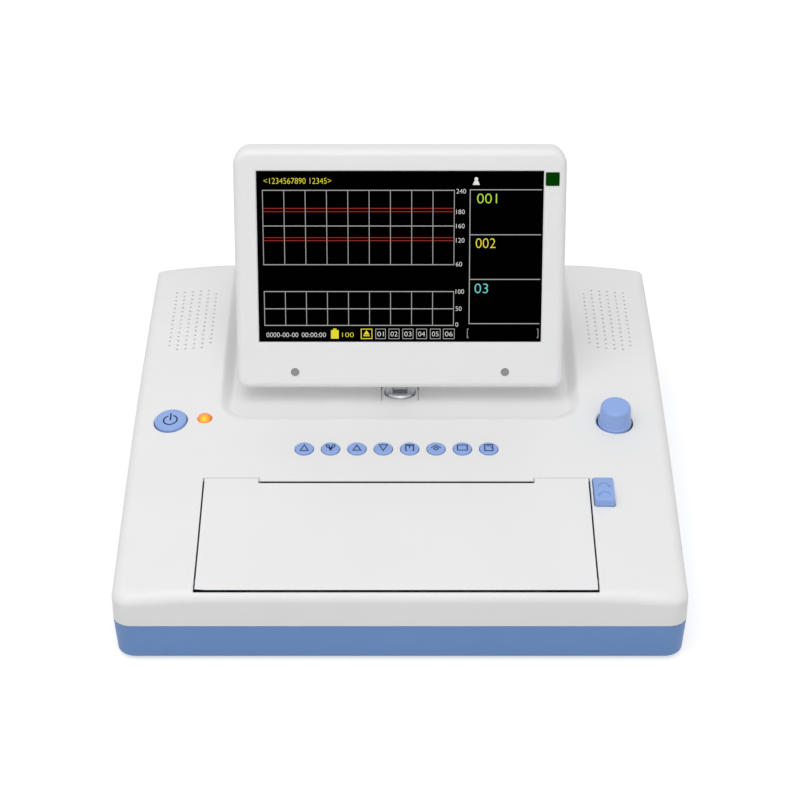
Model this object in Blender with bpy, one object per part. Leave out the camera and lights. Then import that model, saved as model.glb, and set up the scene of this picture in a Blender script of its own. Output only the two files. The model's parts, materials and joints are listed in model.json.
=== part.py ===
"""A desktop cardiotocograph: base, crowned upper housing, tilting display, strip printer with its door, keys, dial.

Metres, +Z up, X to the right and Y to the back. The origin lies under the middle of the case, on the surface that
the feet stand on. Run with blender --background --python part.py, or from the text editor.
"""

import bmesh
import bpy
from math import asin, atan, atan2, cos, hypot, pi, radians, sin, tan
from mathutils import Matrix, Vector

MM = 0.001

# Case
CASE_WIDTH = 295 * MM
CASE_DEPTH = 305 * MM
FOOT_HEIGHT = 3 * MM
SEAM_HEIGHT = 22 * MM
WALL = 2.5 * MM
GAP = 0.3 * MM
OVERRUN = 2 * MM
DECK_FRONT_HEIGHT = 40.1 * MM
DECK_REAR_HEIGHT = 78.7 * MM
DECK_RISE = 8.4 * MM
DECK_SHOULDER = 47.5 * MM
DECK_SIDE_FALL = 5.6 * MM
FRONT_EDGE_RADIUS = 12.2 * MM
SIDE_EDGE_RADIUS = 12 * MM
REAR_EDGE_RADIUS = 24 * MM
FRONT_CORNER_RADIUS = 10 * MM
REAR_CORNER_RADIUS = 20 * MM

# Base tub
BASE_TAPER = 1.2 * MM
BASE_EDGE_RADIUS = 4 * MM
TONGUE_THICKNESS = 1.2 * MM
TONGUE_HEIGHT = 3 * MM
BASE_FLOOR = 2.5 * MM
FOOT_RADIUS = 8 * MM
FOOT_POCKET = 1 * MM
FOOT_TAPER = 0.8 * MM
FOOT_EDGE_INSET = 24 * MM
FOOT_SIDE_INSET = 38.4 * MM
POST_RADIUS = 4 * MM
POST_INSET = 12 * MM
SCREW_HOLE_RADIUS = 1.6 * MM
SCREW_HEAD_RADIUS = 3.4 * MM
SCREW_HEAD_DEPTH = 8 * MM
SCREW_HEAD_THICKNESS = 2.4 * MM
SCREW_LENGTH = 16 * MM
SCREW_SOCKET = 1.2 * MM

# Recess that takes the folded display
RECESS_SIDE = 46.75 * MM
PANEL_DEPTH = 46.8 * MM
RECESS_RAMP = 37.8 * MM
RECESS_CORNER_RADIUS = 18 * MM
RECESS_FILLET = 7 * MM
RECESS_RIM_STEP = 0.15 * MM
RECESS_DEPTH = 9.02 * MM
FOLD_ANGLE = radians(3.5)

# Display, in its own frame: X right, Y to its back, Z up, origin on the tilt axis
TILT_AXIS_RISE = 7.2 * MM
REST_ANGLE = radians(75.9)
DISPLAY_SIDE_ROOM = 10.25 * MM
DISPLAY_HEIGHT = 135 * MM
DISPLAY_ABOVE_AXIS = 0.8 * MM
DISPLAY_FRONT = 16.2 * MM
DISPLAY_BACK = 6.2 * MM
DISPLAY_SPLIT = 3 * MM
DISPLAY_WALL = 2.5 * MM
DISPLAY_TOP_RADIUS = 9 * MM
DISPLAY_BOTTOM_RADIUS = 5.5 * MM
DISPLAY_EDGE_RADIUS = 4 * MM
SCREEN_SIDE = 12.5 * MM
SCREEN_TOP = 11.8 * MM
SCREEN_BOTTOM = 26.8 * MM
SCREEN_SETBACK = 1.2 * MM
PANEL_MARGIN = 6 * MM
PANEL_THICKNESS = 5 * MM
CAP_RADIUS = 2.25 * MM
CAP_INSET = 32.2 * MM
CAP_ABOVE_EDGE = 9.7 * MM
CAP_LENGTH = 3.6 * MM
CAP_PROUD = 0.2 * MM
CAP_BOSS_RADIUS = 4 * MM
LENS_SIZE = 6.8 * MM
LENS_FROM_SCREEN = 1.3 * MM
LENS_BELOW_SCREEN_TOP = 1.1 * MM
LENS_PROUD = 0.4 * MM
DISPLAY_BOARD_SIDE = 8 * MM
DISPLAY_BOARD_EDGE = 6.2 * MM
COVER_SHOULDER = 4 * MM
COVER_TAPER = 9 * MM

# Tilt hinge
PIN_RADIUS = 2 * MM
KNUCKLE_RADIUS = 5.2 * MM
KNUCKLE_HALF = 4 * MM
EAR_THICKNESS = 3 * MM
EAR_FOOT_HALF = 4 * MM
POST_DOME_RADIUS = 8.4 * MM
POST_DOME_TOP_RADIUS = 6.5 * MM
POST_DOME_RISE = 3 * MM
POST_FLANGE_RADIUS = 13 * MM
POST_FLANGE_THICKNESS = 3 * MM
POST_HOLE_CLEARANCE = 0.5 * MM
SLIT_X = 10.25 * MM
SLIT_WIDTH = 0.6 * MM
SLIT_LENGTH = 24 * MM
ARM_PLATE_HALF = 18 * MM
ARM_PLATE_THICKNESS = 2.5 * MM
ARM_PLATE_BOTTOM = 11 * MM
ARM_PLATE_TOP = 42 * MM
NOTCH_HALF = 9.3 * MM
NOTCH_HEIGHT = 9.8 * MM

# Printer and its door
PRINTER_X = -1.9 * MM
PAPER_WIDTH = 150 * MM
DOOR_MARGIN = 27.5 * MM
DOOR_DEPTH = 82.9 * MM
DOOR_REAR_GAP = 0.5 * MM
DOOR_SIDE_GAP = 0.8 * MM
DOOR_LIP_RISE = 0.2 * MM
DOOR_LIP_GAP = 1 * MM
DOOR_LIP_EXTRA = 0.8 * MM
DOOR_LIP_DEPTH = 12 * MM
SLOT_SIDE = 0.2 * MM
SLOT_SETBACK = 2.6 * MM
SLOT_GAP = 1.2 * MM
DOOR_AXIS_INSET = 20.5 * MM
DOOR_AXIS_DROP = 4.8 * MM
DOOR_EAR_THICKNESS = 2.5 * MM
DOOR_EAR_INSET = 2 * MM
DOOR_EAR_RADIUS = 4 * MM
DOOR_PIN_MARGIN = 0.6 * MM
LIP_RELIEF = 0.35 * MM
HINGE_BOSS_WIDTH = 6 * MM
HINGE_BOSS_RADIUS = 4.6 * MM
PLATEN_FROM_EDGE = 8 * MM
PLATEN_DROP = 10.3 * MM
PLATEN_RADIUS = 6 * MM
PLATEN_SHAFT_RADIUS = 2 * MM
LUG_THICKNESS = 2 * MM
LUG_RADIUS = 4.5 * MM
SHAFT_END = 1 * MM

# Paper tray and printer frame
TRAY_WALL = 2 * MM
TRAY_FROM_AXIS = 1 * MM
TRAY_DEPTH = 95 * MM
TRAY_DROP = 4 * MM
TRAY_CORNER = 10 * MM
TRAY_SIDE_ROOM = 1 * MM
SHELF_THICKNESS = 1.6 * MM
SHELF_INSET = 3.5 * MM
SHELF_ROOM = 2 * MM
CHEEK_THICKNESS = 1.5 * MM
CHEEK_AHEAD = 8.4 * MM
CHEEK_DEPTH = 32 * MM
CHEEK_DROP = 4.2 * MM
CHEEK_CORNER = 5 * MM
NOTCH_CLEARANCE = 0.5 * MM
HEAD_ANGLE = radians(-20)
HEAD_HEIGHT = 12 * MM
HEAD_THICKNESS = 1.5 * MM
SINK_THICKNESS = 5 * MM
CROSS_THICKNESS = 1.5 * MM
CROSS_HEIGHT = 8 * MM

# Gear train, left of the printer frame
GEAR_MODULE = 0.8 * MM
PLATEN_TEETH = 16
IDLER_TEETH = 24
PINION_TEETH = 12
GEAR_WIDTH = 4 * MM
GEAR_STANDOFF = 1.2 * MM
GEAR_MESH_ROOM = 0.1 * MM
TOOTH_TIP = 0.72 * MM
TOOTH_ROOT = 0.9 * MM
MOTOR_ROOM = 0.8 * MM
BORE_GAP = 0.3 * MM
STUB_RADIUS = 2 * MM
MOTOR_RADIUS = 10 * MM
MOTOR_LENGTH = 13 * MM
MOTOR_FLANGE_RADIUS = 11.5 * MM
MOTOR_FLANGE_THICKNESS = 1 * MM
MOTOR_PLATE_THICKNESS = 1.5 * MM
MOTOR_SHAFT_RADIUS = 1.2 * MM
MOTOR_SHAFT_HOLE = 3 * MM
MOTOR_BORE_DEPTH = 5 * MM
PILLAR_RADIUS = 2 * MM
PILLAR_INSET = 3.5 * MM

# Door release button and latch
RELEASE_FROM_DOOR = 7.2 * MM
RELEASE_BEHIND = 0.2 * MM
RELEASE_WIDTH = 10.6 * MM
RELEASE_LENGTH = 17.6 * MM
RELEASE_PROUD = 2.6 * MM
RELEASE_CORNER = 1 * MM
BUTTON_GAP = 0.4 * MM
STEM_WIDTH = 5 * MM
FLANGE_OVERLAP = 1 * MM
FLANGE_THICKNESS = 1.2 * MM
FLANGE_DROP = 3.4 * MM
LATCH_AXIS_INSET = 4.6 * MM
LATCH_AXIS_DROP = 15.7 * MM
LATCH_WIDTH = 8 * MM
LATCH_ARM = 3 * MM
LATCH_ARM_END = 15 * MM
LATCH_HOOK_THICKNESS = 2 * MM
LATCH_HOOK_HEIGHT = 9.5 * MM
LATCH_NOSE = 1.3 * MM
LATCH_NOSE_THICKNESS = 2 * MM
LATCH_CLEARANCE = 0.35 * MM
LATCH_PLATFORM_DEPTH = 24 * MM
LATCH_PIN_RADIUS = 1.5 * MM
LATCH_EAR_THICKNESS = 2 * MM
CATCH_THICKNESS = 2.2 * MM
CATCH_FOOT = 1 * MM
CATCH_FOOT_HEIGHT = 1.6 * MM

# Controls on the deck
BOARD_FROM_DOOR = 36.6 * MM
KEY_COUNT = 8
KEY_PITCH = 14.3 * MM
KEY_ROW_FROM_DOOR = 25.4 * MM
KEY_RADIUS = 5.25 * MM
KEY_PROUD = 1.2 * MM
KEY_EDGE = 0.5 * MM
KEY_TRAVEL = 0.8 * MM
KEY_STEM_RADIUS = 2 * MM
POWER_INSET = 21.1 * MM
POWER_BEHIND = 1.6 * MM
POWER_RADIUS = 9.15 * MM
POWER_PROUD = 1.9 * MM
POWER_EDGE = 0.7 * MM
POWER_STEM_LENGTH = 5.6 * MM
LAMP_INSET = 39.8 * MM
LAMP_BEHIND = 3.3 * MM
LAMP_RADIUS = 3.8 * MM
LAMP_DOME = 2.2 * MM
LAMP_STEM_RADIUS = 2.5 * MM
LAMP_STEM_LENGTH = 9.5 * MM
DIAL_INSET = 29.2 * MM
DIAL_BEHIND = 1.4 * MM
DIAL_FOOT_RADIUS = 9.25 * MM
DIAL_TOP_RADIUS = 8.1 * MM
DIAL_HEIGHT = 10.8 * MM
DIAL_SUNK = 1.7 * MM
DIAL_EDGE = 1.2 * MM
DIAL_WALL = 1.6 * MM
DIAL_SKIRT = 5 * MM
DIAL_GAP = 1 * MM
DIAL_TRAVEL = 0.8 * MM
DIAL_SHAFT_RADIUS = 3 * MM
DIAL_GRIP = 5 * MM
BOARD_THICKNESS = 1.6 * MM
CONTROL_BOARD_DROP = 12 * MM
CONTROL_BOARD_MARGIN = 8 * MM
CONTROL_BOARD_FRONT = 18 * MM
CONTROL_BOARD_REAR = 22 * MM
SWITCH_SIZE = 6 * MM
SWITCH_HEIGHT = 3 * MM
ENCODER_SIZE = 12 * MM
ENCODER_HEIGHT = 6 * MM
ENCODER_BORE_DEPTH = 5 * MM
BOARD_BOSS_RADIUS = 3 * MM
BOARD_BOSS_INSET = 63.5 * MM
BOARD_BOSS_SIDE_INSET = 47.5 * MM
BOARD_BOSS_Y = 14 * MM
BOARD_BOSS_SIDE_Y = 4 * MM

# Loudspeakers
SPEAKER_INSET = 27.5 * MM
SPEAKER_FROM_REAR = 76.75 * MM
SPEAKER_HALF_WIDTH = 16.5 * MM
SPEAKER_HALF_LENGTH = 34.5 * MM
SPEAKER_CORNER = 7 * MM
SPEAKER_DROP = 11.2 * MM
SPEAKER_RIM = 1.5 * MM
SPEAKER_RIM_WIDTH = 2 * MM
CONE_DEPTH = 6 * MM
CONE_RADIUS = 4 * MM
BASKET_DEPTH = 10 * MM
MAGNET_RADIUS = 10.5 * MM
MAGNET_DEPTH = 6 * MM
COLLAR_THICKNESS = 2 * MM
GRILLE_COLUMNS = 6
GRILLE_ROWS = 15
GRILLE_COLUMN_PITCH = 4.76 * MM
GRILLE_ROW_PITCH = 4.29 * MM
GRILLE_HOLE_RADIUS = 0.65 * MM

# Boards and packs in the base
STANDOFF_HEIGHT = 5 * MM
STANDOFF_RADIUS = 3 * MM
MAIN_BOARD_ROOM = 8 * MM
MAIN_BOARD_LEFT_ROOM = 10 * MM
MAIN_BOARD_RIGHT_ROOM = 33.5 * MM
CHIP_HEIGHT = 3 * MM
BATTERY_INSET = 9.5 * MM
BATTERY_WIDTH = 66 * MM
BATTERY_ROOM = 16 * MM
BATTERY_DEPTH = 80 * MM
BATTERY_HEIGHT = 20 * MM
BATTERY_CORNER = 2 * MM
SUPPLY_OFFSET = 17 * MM
SUPPLY_WIDTH = 110 * MM
SUPPLY_FROM_REAR = 68.5 * MM
SUPPLY_DEPTH = 50 * MM
SUPPLY_HEIGHT = 30 * MM

# Sockets in the left side and the rear wall
SOCKET_COUNT = 4
SOCKET_PITCH = 24 * MM
SOCKET_FROM_FRONT = 138.5 * MM
SOCKET_HEIGHT = 37 * MM
SOCKET_RADIUS = 6 * MM
SOCKET_LEDGE = 1.5 * MM
SOCKET_BORE = 4.6 * MM
SOCKET_DEPTH = 9 * MM
SOCKET_BACK = 2 * MM
REAR_PORT_HEIGHT = 38 * MM
INLET_INSET = 51.5 * MM
INLET_RADIUS = 6 * MM
INLET_BORE = 3.4 * MM
DATA_INSET = 59.5 * MM
DATA_WIDTH = 16 * MM
DATA_HEIGHT = 14 * MM
DATA_WALL = 1.6 * MM
EARTH_INSET = 29.5 * MM
EARTH_RADIUS = 3 * MM
EARTH_WELL = 2 * MM
EARTH_NUT = 2 * MM

# Facets: the fine counts are for what is seen, the coarse ones for insides
FLATNESS = 0.0001 * MM
CORNER_STEPS = 5
EDGE_STEPS = 5
SIDE_STEPS = 12
FINE = (CORNER_STEPS, EDGE_STEPS, SIDE_STEPS)
COARSE = (CORNER_STEPS, 3, 6)
ROUND_STEPS = 24
FRONT_SHARES = (-1, -0.87, -0.74, 0, 0.74, 0.87, 1)
TOOTH_TIP_SHARE = 0.11
TOOTH_ROOT_SHARE = 0.30
DECK_RING_SHARES = (0.35, 0.7, 1)
RECESS_FINE_SHARES = (0, 0.12, 0.28, 0.5, 0.72, 0.88, 1)
RECESS_COARSE_SHARES = (0, 0.28, 0.72, 1)
COVER_SHARES = ((0.25, 0.55), (0.55, 0.85), (1, 1))
COMB_SHARES = (-0.6, -0.2, 0.2, 0.6)
CHIP_SHARES = (
    (0.18, 0.25, 0.12, 0.2), (0.5, 0.3, 0.16, 0.27), (0.8, 0.25, 0.1, 0.3), (0.35, 0.75, 0.3, 0.1), (0.8, 0.8,
                                                                                                     0.2, 0.12))
CONE_LENGTH_SHARE = 0.6
BASKET_SHARE = 0.55

# Values worked out from the sizes above
HALF_WIDTH = CASE_WIDTH / 2
FRONT_Y = -CASE_DEPTH / 2
REAR_Y = CASE_DEPTH / 2
DECK_FLAT_HALF = HALF_WIDTH - DECK_SHOULDER
BASE_WALL = WALL + GAP + TONGUE_THICKNESS
FLOOR_TOP = FOOT_HEIGHT + BASE_FLOOR
DOOR_HALF = PAPER_WIDTH / 2 + DOOR_MARGIN
DOOR_REAR_Y = FRONT_Y + DOOR_DEPTH
DOOR_LIP_HEIGHT = DECK_FRONT_HEIGHT + DOOR_LIP_RISE
DOOR_AXIS_Y = FRONT_Y + DOOR_AXIS_INSET
DOOR_AXIS_HEIGHT = DOOR_LIP_HEIGHT - DOOR_AXIS_DROP
OPENING_HALF = DOOR_HALF + DOOR_SIDE_GAP
SLOT_HALF = PAPER_WIDTH / 2 - SLOT_SIDE
PLATEN_Y = DOOR_REAR_Y - PLATEN_FROM_EDGE
TRAY_HALF = PAPER_WIDTH / 2 + TRAY_SIDE_ROOM + TRAY_WALL
TRAY_FRONT_Y = DOOR_AXIS_Y + TRAY_FROM_AXIS
TRAY_REAR_Y = TRAY_FRONT_Y + TRAY_DEPTH
CHEEK_HALF = TRAY_HALF + GAP
CHEEK_FRONT_Y = PLATEN_Y - CHEEK_AHEAD
CHEEK_REAR_Y = CHEEK_FRONT_Y + CHEEK_DEPTH
GEAR_LEFT = PRINTER_X - CHEEK_HALF - CHEEK_THICKNESS - GEAR_STANDOFF - GEAR_WIDTH
RELEASE_X = PRINTER_X + DOOR_HALF + RELEASE_FROM_DOOR
RELEASE_REAR_Y = DOOR_REAR_Y + RELEASE_BEHIND
LATCH_AXIS_X = PRINTER_X + DOOR_HALF - LATCH_AXIS_INSET
LATCH_Y = RELEASE_REAR_Y - RELEASE_LENGTH / 2
RECESS_HALF = HALF_WIDTH - RECESS_SIDE
RECESS_FRONT_Y = DOOR_REAR_Y + PANEL_DEPTH
TILT_AXIS_Y = RECESS_FRONT_Y + RECESS_RAMP
PANEL_Y = DOOR_REAR_Y + BOARD_FROM_DOOR
KEY_ROW_Y = DOOR_REAR_Y + KEY_ROW_FROM_DOOR
POWER_X = POWER_INSET - HALF_WIDTH
POWER_Y = RECESS_FRONT_Y + POWER_BEHIND
LAMP_X = LAMP_INSET - HALF_WIDTH
LAMP_Y = RECESS_FRONT_Y + LAMP_BEHIND
DIAL_X = HALF_WIDTH - DIAL_INSET
DIAL_Y = RECESS_FRONT_Y + DIAL_BEHIND
DISPLAY_HALF = RECESS_HALF - DISPLAY_SIDE_ROOM
DISPLAY_LOW = DISPLAY_ABOVE_AXIS
DISPLAY_HIGH = DISPLAY_HEIGHT + DISPLAY_ABOVE_AXIS
SCREEN_HALF = DISPLAY_HALF - SCREEN_SIDE
SCREEN_LOW = DISPLAY_LOW + SCREEN_BOTTOM
SCREEN_HIGH = DISPLAY_HIGH - SCREEN_TOP
EAR_INNER = KNUCKLE_HALF + GAP
EAR_OUTER = EAR_INNER + EAR_THICKNESS
SPEAKER_X = HALF_WIDTH - SPEAKER_INSET
SPEAKER_Y = REAR_Y - SPEAKER_FROM_REAR
BATTERY_X = BATTERY_INSET - HALF_WIDTH
BATTERY_Y = TRAY_REAR_Y + BATTERY_ROOM
SUPPLY_Y = REAR_Y - SUPPLY_FROM_REAR
MAIN_BOARD_X = BATTERY_X + BATTERY_WIDTH + MAIN_BOARD_LEFT_ROOM
MAIN_BOARD_Y = TRAY_REAR_Y + MAIN_BOARD_ROOM
MAIN_BOARD_WIDTH = HALF_WIDTH - MAIN_BOARD_RIGHT_ROOM - MAIN_BOARD_X
MAIN_BOARD_DEPTH = SUPPLY_Y - MAIN_BOARD_ROOM - MAIN_BOARD_Y
SUPPLY_X = MAIN_BOARD_X + SUPPLY_OFFSET
INLET_X = INLET_INSET - HALF_WIDTH
EARTH_X = EARTH_INSET - HALF_WIDTH
DATA_X = HALF_WIDTH - DATA_INSET


def material(name, colour, roughness, metallic=0.0):
    """A plain Principled material in the piece's colour."""
    made = bpy.data.materials.new(name)
    made.use_nodes = True
    shader = made.node_tree.nodes["Principled BSDF"]
    shader.inputs["Base Color"].default_value = (*colour, 1)
    shader.inputs["Roughness"].default_value = roughness
    shader.inputs["Metallic"].default_value = metallic
    return made


def add_object(name, mesh, parent=None):
    piece = bpy.data.objects.new(name, mesh)
    bpy.context.scene.collection.objects.link(piece)
    piece.parent = parent
    return piece


def is_flat(face):
    start = face.verts[0].co
    return all(abs((vert.co - start).dot(face.normal)) < FLATNESS for vert in face.verts)


def mesh_from(name, points, faces):
    """A closed mesh with its faces turned outwards."""
    shape = bmesh.new()
    made = [shape.verts.new(point) for point in points]
    for face in faces:
        shape.faces.new([made[index] for index in face])
    bmesh.ops.recalc_face_normals(shape, faces=shape.faces)
    bent = [face for face in shape.faces if not is_flat(face)]
    bmesh.ops.triangulate(shape, faces=bent)
    mesh = bpy.data.meshes.new(name)
    shape.to_mesh(mesh)
    shape.free()
    return mesh


def loft(name, rings, caps=None):
    """Joins rings of as many points each, and closes both ends; caps gives the faces of an uneven end."""
    count = len(rings[0])
    points = [point for ring in rings for point in ring]
    faces = []
    for level in range(len(rings) - 1):
        low = level * count
        for index in range(count):
            after = (index + 1) % count
            faces.append((low + index, low + after, low + count + after, low + count + index))
    ends = caps or [list(range(count))]
    last = (len(rings) - 1) * count
    faces += [list(reversed(end)) for end in ends]
    faces += [[last + index for index in end] for end in ends]
    return add_object(name, mesh_from(name, points, faces))


def prism(name, outline, axis, low, high):
    """An outline pushed along X, Y or Z: its points are (y, z), (x, z) or (x, y)."""
    place = {
        "X": lambda u, v, w: (w, u, v),
        "Y": lambda u, v, w: (u, w, v),
        "Z": lambda u, v, w: (u, v, w),
    }[axis]
    return loft(name, [[place(u, v, level) for u, v in outline] for level in (low, high)])


def block(name, low, high):
    outline = ((low[0], low[1]), (high[0], low[1]), (high[0], high[1]), (low[0], high[1]))
    return prism(name, outline, "Z", low[2], high[2])


def lathe(name, profile, steps=ROUND_STEPS):
    """Turns (radius, height) points about Z; a radius of 0 closes the end in a point."""
    points = []
    rings = []
    for radius, height in profile:
        if radius == 0:
            rings.append([len(points)])
            points.append((0, 0, height))
            continue
        rings.append([len(points) + step for step in range(steps)])
        for step in range(steps):
            angle = 2 * pi * step / steps
            points.append((radius * cos(angle), radius * sin(angle), height))
    faces = []
    for here, there in zip(rings, rings[1:] + rings[:1]):
        if len(here) == 1 and len(there) == 1:
            continue
        for step in range(steps):
            after = (step + 1) % steps
            corners = [here[step % len(here)], here[after % len(here)], there[after % len(there)],
                       there[step % len(there)]]
            faces.append(list(dict.fromkeys(corners)))
    return add_object(name, mesh_from(name, points, faces))


def rod(name, radius, low, high, steps=ROUND_STEPS):
    return lathe(name, ((0, low), (radius, low), (radius, high), (0, high)), steps)


def tube(name, inner, outer, low, high, steps=ROUND_STEPS):
    return lathe(name, ((inner, low), (outer, low), (outer, high), (inner, high)), steps)


def along_x(x, y, z):
    """Stands what was made along Z on the X axis, at a place."""
    return Matrix.Translation((x, y, z)) @ Matrix.Rotation(pi / 2, 4, "Y")


def along_y(x, y, z):
    return Matrix.Translation((x, y, z)) @ Matrix.Rotation(-pi / 2, 4, "X")


def moved(piece, place):
    """Moves the mesh itself, so that the object stays at its origin."""
    piece.data.transform(place)
    return piece


def combine(piece, tool, operation):
    """Joins, cuts or trims a piece with another, which it uses up."""
    step = piece.modifiers.new(operation, "BOOLEAN")
    step.operation = operation
    step.solver = "EXACT"
    step.object = tool
    bpy.context.view_layer.update()
    result = bpy.data.meshes.new_from_object(piece.evaluated_get(bpy.context.evaluated_depsgraph_get()))
    piece.modifiers.clear()
    piece.data = result
    bpy.data.objects.remove(tool)
    return piece


def cut(piece, *tools):
    for tool in tools:
        combine(piece, tool, "DIFFERENCE")
    return piece


def join(piece, *tools):
    for tool in tools:
        combine(piece, tool, "UNION")
    return piece


def trim(piece, tool):
    return combine(piece, tool, "INTERSECT")


def finish(piece, name, finish_material, parent=None, origin=None):
    """Names a piece, gives it its material and puts its origin on its joint's axis."""
    piece.name = name
    piece.data.name = name
    piece.data.materials.clear()
    piece.data.materials.append(finish_material)
    piece.data.shade_smooth()
    piece.data.set_sharp_from_angle(angle=radians(35))
    if origin is not None:
        piece.data.transform(Matrix.Translation(-Vector(origin)))
        piece.location = origin
    piece.parent = parent
    return piece


def rounded_rectangle(x0, x1, y0, y1, low_radius, high_radius, steps=CORNER_STEPS):
    """Counter-clockwise points of a rectangle with its two low and its two high corners rounded."""
    corners = (
        (x1 - low_radius, y0 + low_radius, low_radius, -90),
        (x1 - high_radius, y1 - high_radius, high_radius, 0),
        (x0 + high_radius, y1 - high_radius, high_radius, 90),
        (x0 + low_radius, y0 + low_radius, low_radius, 180),
    )
    points = []
    for centre_x, centre_y, radius, start in corners:
        for step in range(steps + 1 if radius else 1):
            angle = radians(start + 90 * step / steps)
            points.append((centre_x + radius * cos(angle), centre_y + radius * sin(angle)))
    return points


def deck_height(x, y):
    """Height of the crowned deck: an arched line from front to back that falls off towards the sides."""
    share = (y - FRONT_Y) / CASE_DEPTH
    middle = DECK_FRONT_HEIGHT + (DECK_REAR_HEIGHT - DECK_FRONT_HEIGHT) * share + 4 * DECK_RISE * share * (1 - share)
    beyond = max(0, abs(x) - DECK_FLAT_HALF) / (HALF_WIDTH - DECK_FLAT_HALF)
    return middle - DECK_SIDE_FALL * beyond ** 2


RECESS_FLOOR_HEIGHT = deck_height(0, TILT_AXIS_Y) - RECESS_DEPTH
TILT_AXIS_HEIGHT = RECESS_FLOOR_HEIGHT + TILT_AXIS_RISE
PLATEN_HEIGHT = deck_height(0, PLATEN_Y) - PLATEN_DROP
CHEEK_TOP = deck_height(0, CHEEK_FRONT_Y) - CHEEK_DROP
LATCH_AXIS_HEIGHT = deck_height(0, LATCH_Y) - LATCH_AXIS_DROP
TRAY_TOP = LATCH_AXIS_HEIGHT - TRAY_DROP
SPEAKER_TOP = deck_height(SPEAKER_X, SPEAKER_Y) - SPEAKER_DROP


def deck_slope(y):
    share = (y - FRONT_Y) / CASE_DEPTH
    return (DECK_REAR_HEIGHT - DECK_FRONT_HEIGHT + 4 * DECK_RISE * (1 - 2 * share)) / CASE_DEPTH


def deck_side_slope(x):
    beyond = max(0, abs(x) - DECK_FLAT_HALF) / (HALF_WIDTH - DECK_FLAT_HALF)
    return -2 * DECK_SIDE_FALL * beyond / (HALF_WIDTH - DECK_FLAT_HALF) * (1 if x > 0 else -1)


def case_outline(insets, radii, corner_steps, side_steps):
    """Plan outline of the case, counter-clockwise from the front's left end, with each point's outward normal.

    The insets are those of the sides, the front and the rear; the radii those of the front and rear corners.
    """
    side_inset, front_inset, rear_inset = insets
    front_radius, rear_radius = radii
    right = HALF_WIDTH - side_inset
    front = FRONT_Y + front_inset
    rear = REAR_Y - rear_inset
    points = [(share * (right - front_radius), front, 0, -1) for share in FRONT_SHARES]

    def corner(centre_x, centre_y, radius, start):
        for step in range(1, corner_steps + 1):
            angle = radians(start + 90 * step / corner_steps)
            normal = (cos(angle), sin(angle))
            points.append((centre_x + radius * normal[0], centre_y + radius * normal[1], *normal))

    def side(x, start, end, normal_x):
        for step in range(1, side_steps + 1):
            points.append((x, start + (end - start) * step / side_steps, normal_x, 0))

    corner(right - front_radius, front + front_radius, front_radius, -90)
    side(right, front + front_radius, rear - rear_radius, 1)
    corner(right - rear_radius, rear - rear_radius, rear_radius, 0)
    points += [(share * (right - rear_radius), rear, 0, 1) for share in reversed(FRONT_SHARES[:-1])]
    corner(rear_radius - right, rear - rear_radius, rear_radius, 90)
    side(-right, rear - rear_radius, front + front_radius, -1)
    corner(front_radius - right, front + front_radius, front_radius, 180)
    return points[:-1]


def outline_rows(count, corner_steps, side_steps):
    """Faces that close a case outline with straight strips from left to right."""
    front_points = len(FRONT_SHARES)
    rows = corner_steps * 2 + side_steps
    right = [front_points - 1 + row for row in range(rows + 1)]
    left = [-row % count for row in range(rows + 1)]
    faces = [list(range(front_points)) + [right[1], left[1]]]
    for row in range(1, rows - 1):
        faces.append([left[row], right[row], right[row + 1], left[row + 1]])
    faces.append([left[rows - 1], right[rows - 1]] + list(range(right[rows], left[rows] + 1)))
    return faces


def housing_solid(name, offset, low, steps=FINE):
    """The upper housing's outside as one solid, drawn in by offset, from a level below the seam up to the deck."""
    corner_steps, edge_steps, side_steps = steps
    radii = (SIDE_EDGE_RADIUS - offset, FRONT_EDGE_RADIUS - offset, REAR_EDGE_RADIUS - offset)
    corner_radii = (FRONT_CORNER_RADIUS - offset, REAR_CORNER_RADIUS - offset)
    outline = case_outline([offset] * 3, corner_radii, corner_steps, side_steps)
    rings = [[(x, y, low) for x, y, _, _ in outline]]
    for step in range(edge_steps + 1):
        angle = pi / 2 * step / edge_steps
        insets = [offset + radius * (1 - cos(angle)) for radius in radii]
        ring = []
        for x, y, normal_x, normal_y in case_outline(insets, corner_radii, corner_steps, side_steps):
            across = radii[0] * normal_x ** 2
            along = (radii[1] if normal_y < 0 else radii[2]) * normal_y ** 2
            drop = (across + along) * (1 - sin(angle))
            ring.append((x, y, deck_height(x, y) - offset - drop))
        rings.append(ring)
    for share in DECK_RING_SHARES:
        inset = (HALF_WIDTH - DECK_FLAT_HALF - offset - radii[0]) * share
        insets = [offset + radius + inset for radius in radii]
        ring = case_outline(insets, corner_radii, corner_steps, side_steps)
        rings.append([(x, y, deck_height(x, y) - offset) for x, y, _, _ in ring])
    return loft(name, rings, outline_rows(len(rings[0]), corner_steps, side_steps))


def recess_floor(y):
    """Height of the recess floor along its middle: down to the tilt axis, then up beside the folded display."""
    if y > TILT_AXIS_Y:
        return RECESS_FLOOR_HEIGHT + (y - TILT_AXIS_Y) * tan(FOLD_ANGLE)
    share = (TILT_AXIS_Y - y) / (TILT_AXIS_Y - RECESS_FRONT_Y)
    return RECESS_FLOOR_HEIGHT + (deck_height(0, RECESS_FRONT_Y) - RECESS_FLOOR_HEIGHT) * share


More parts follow.
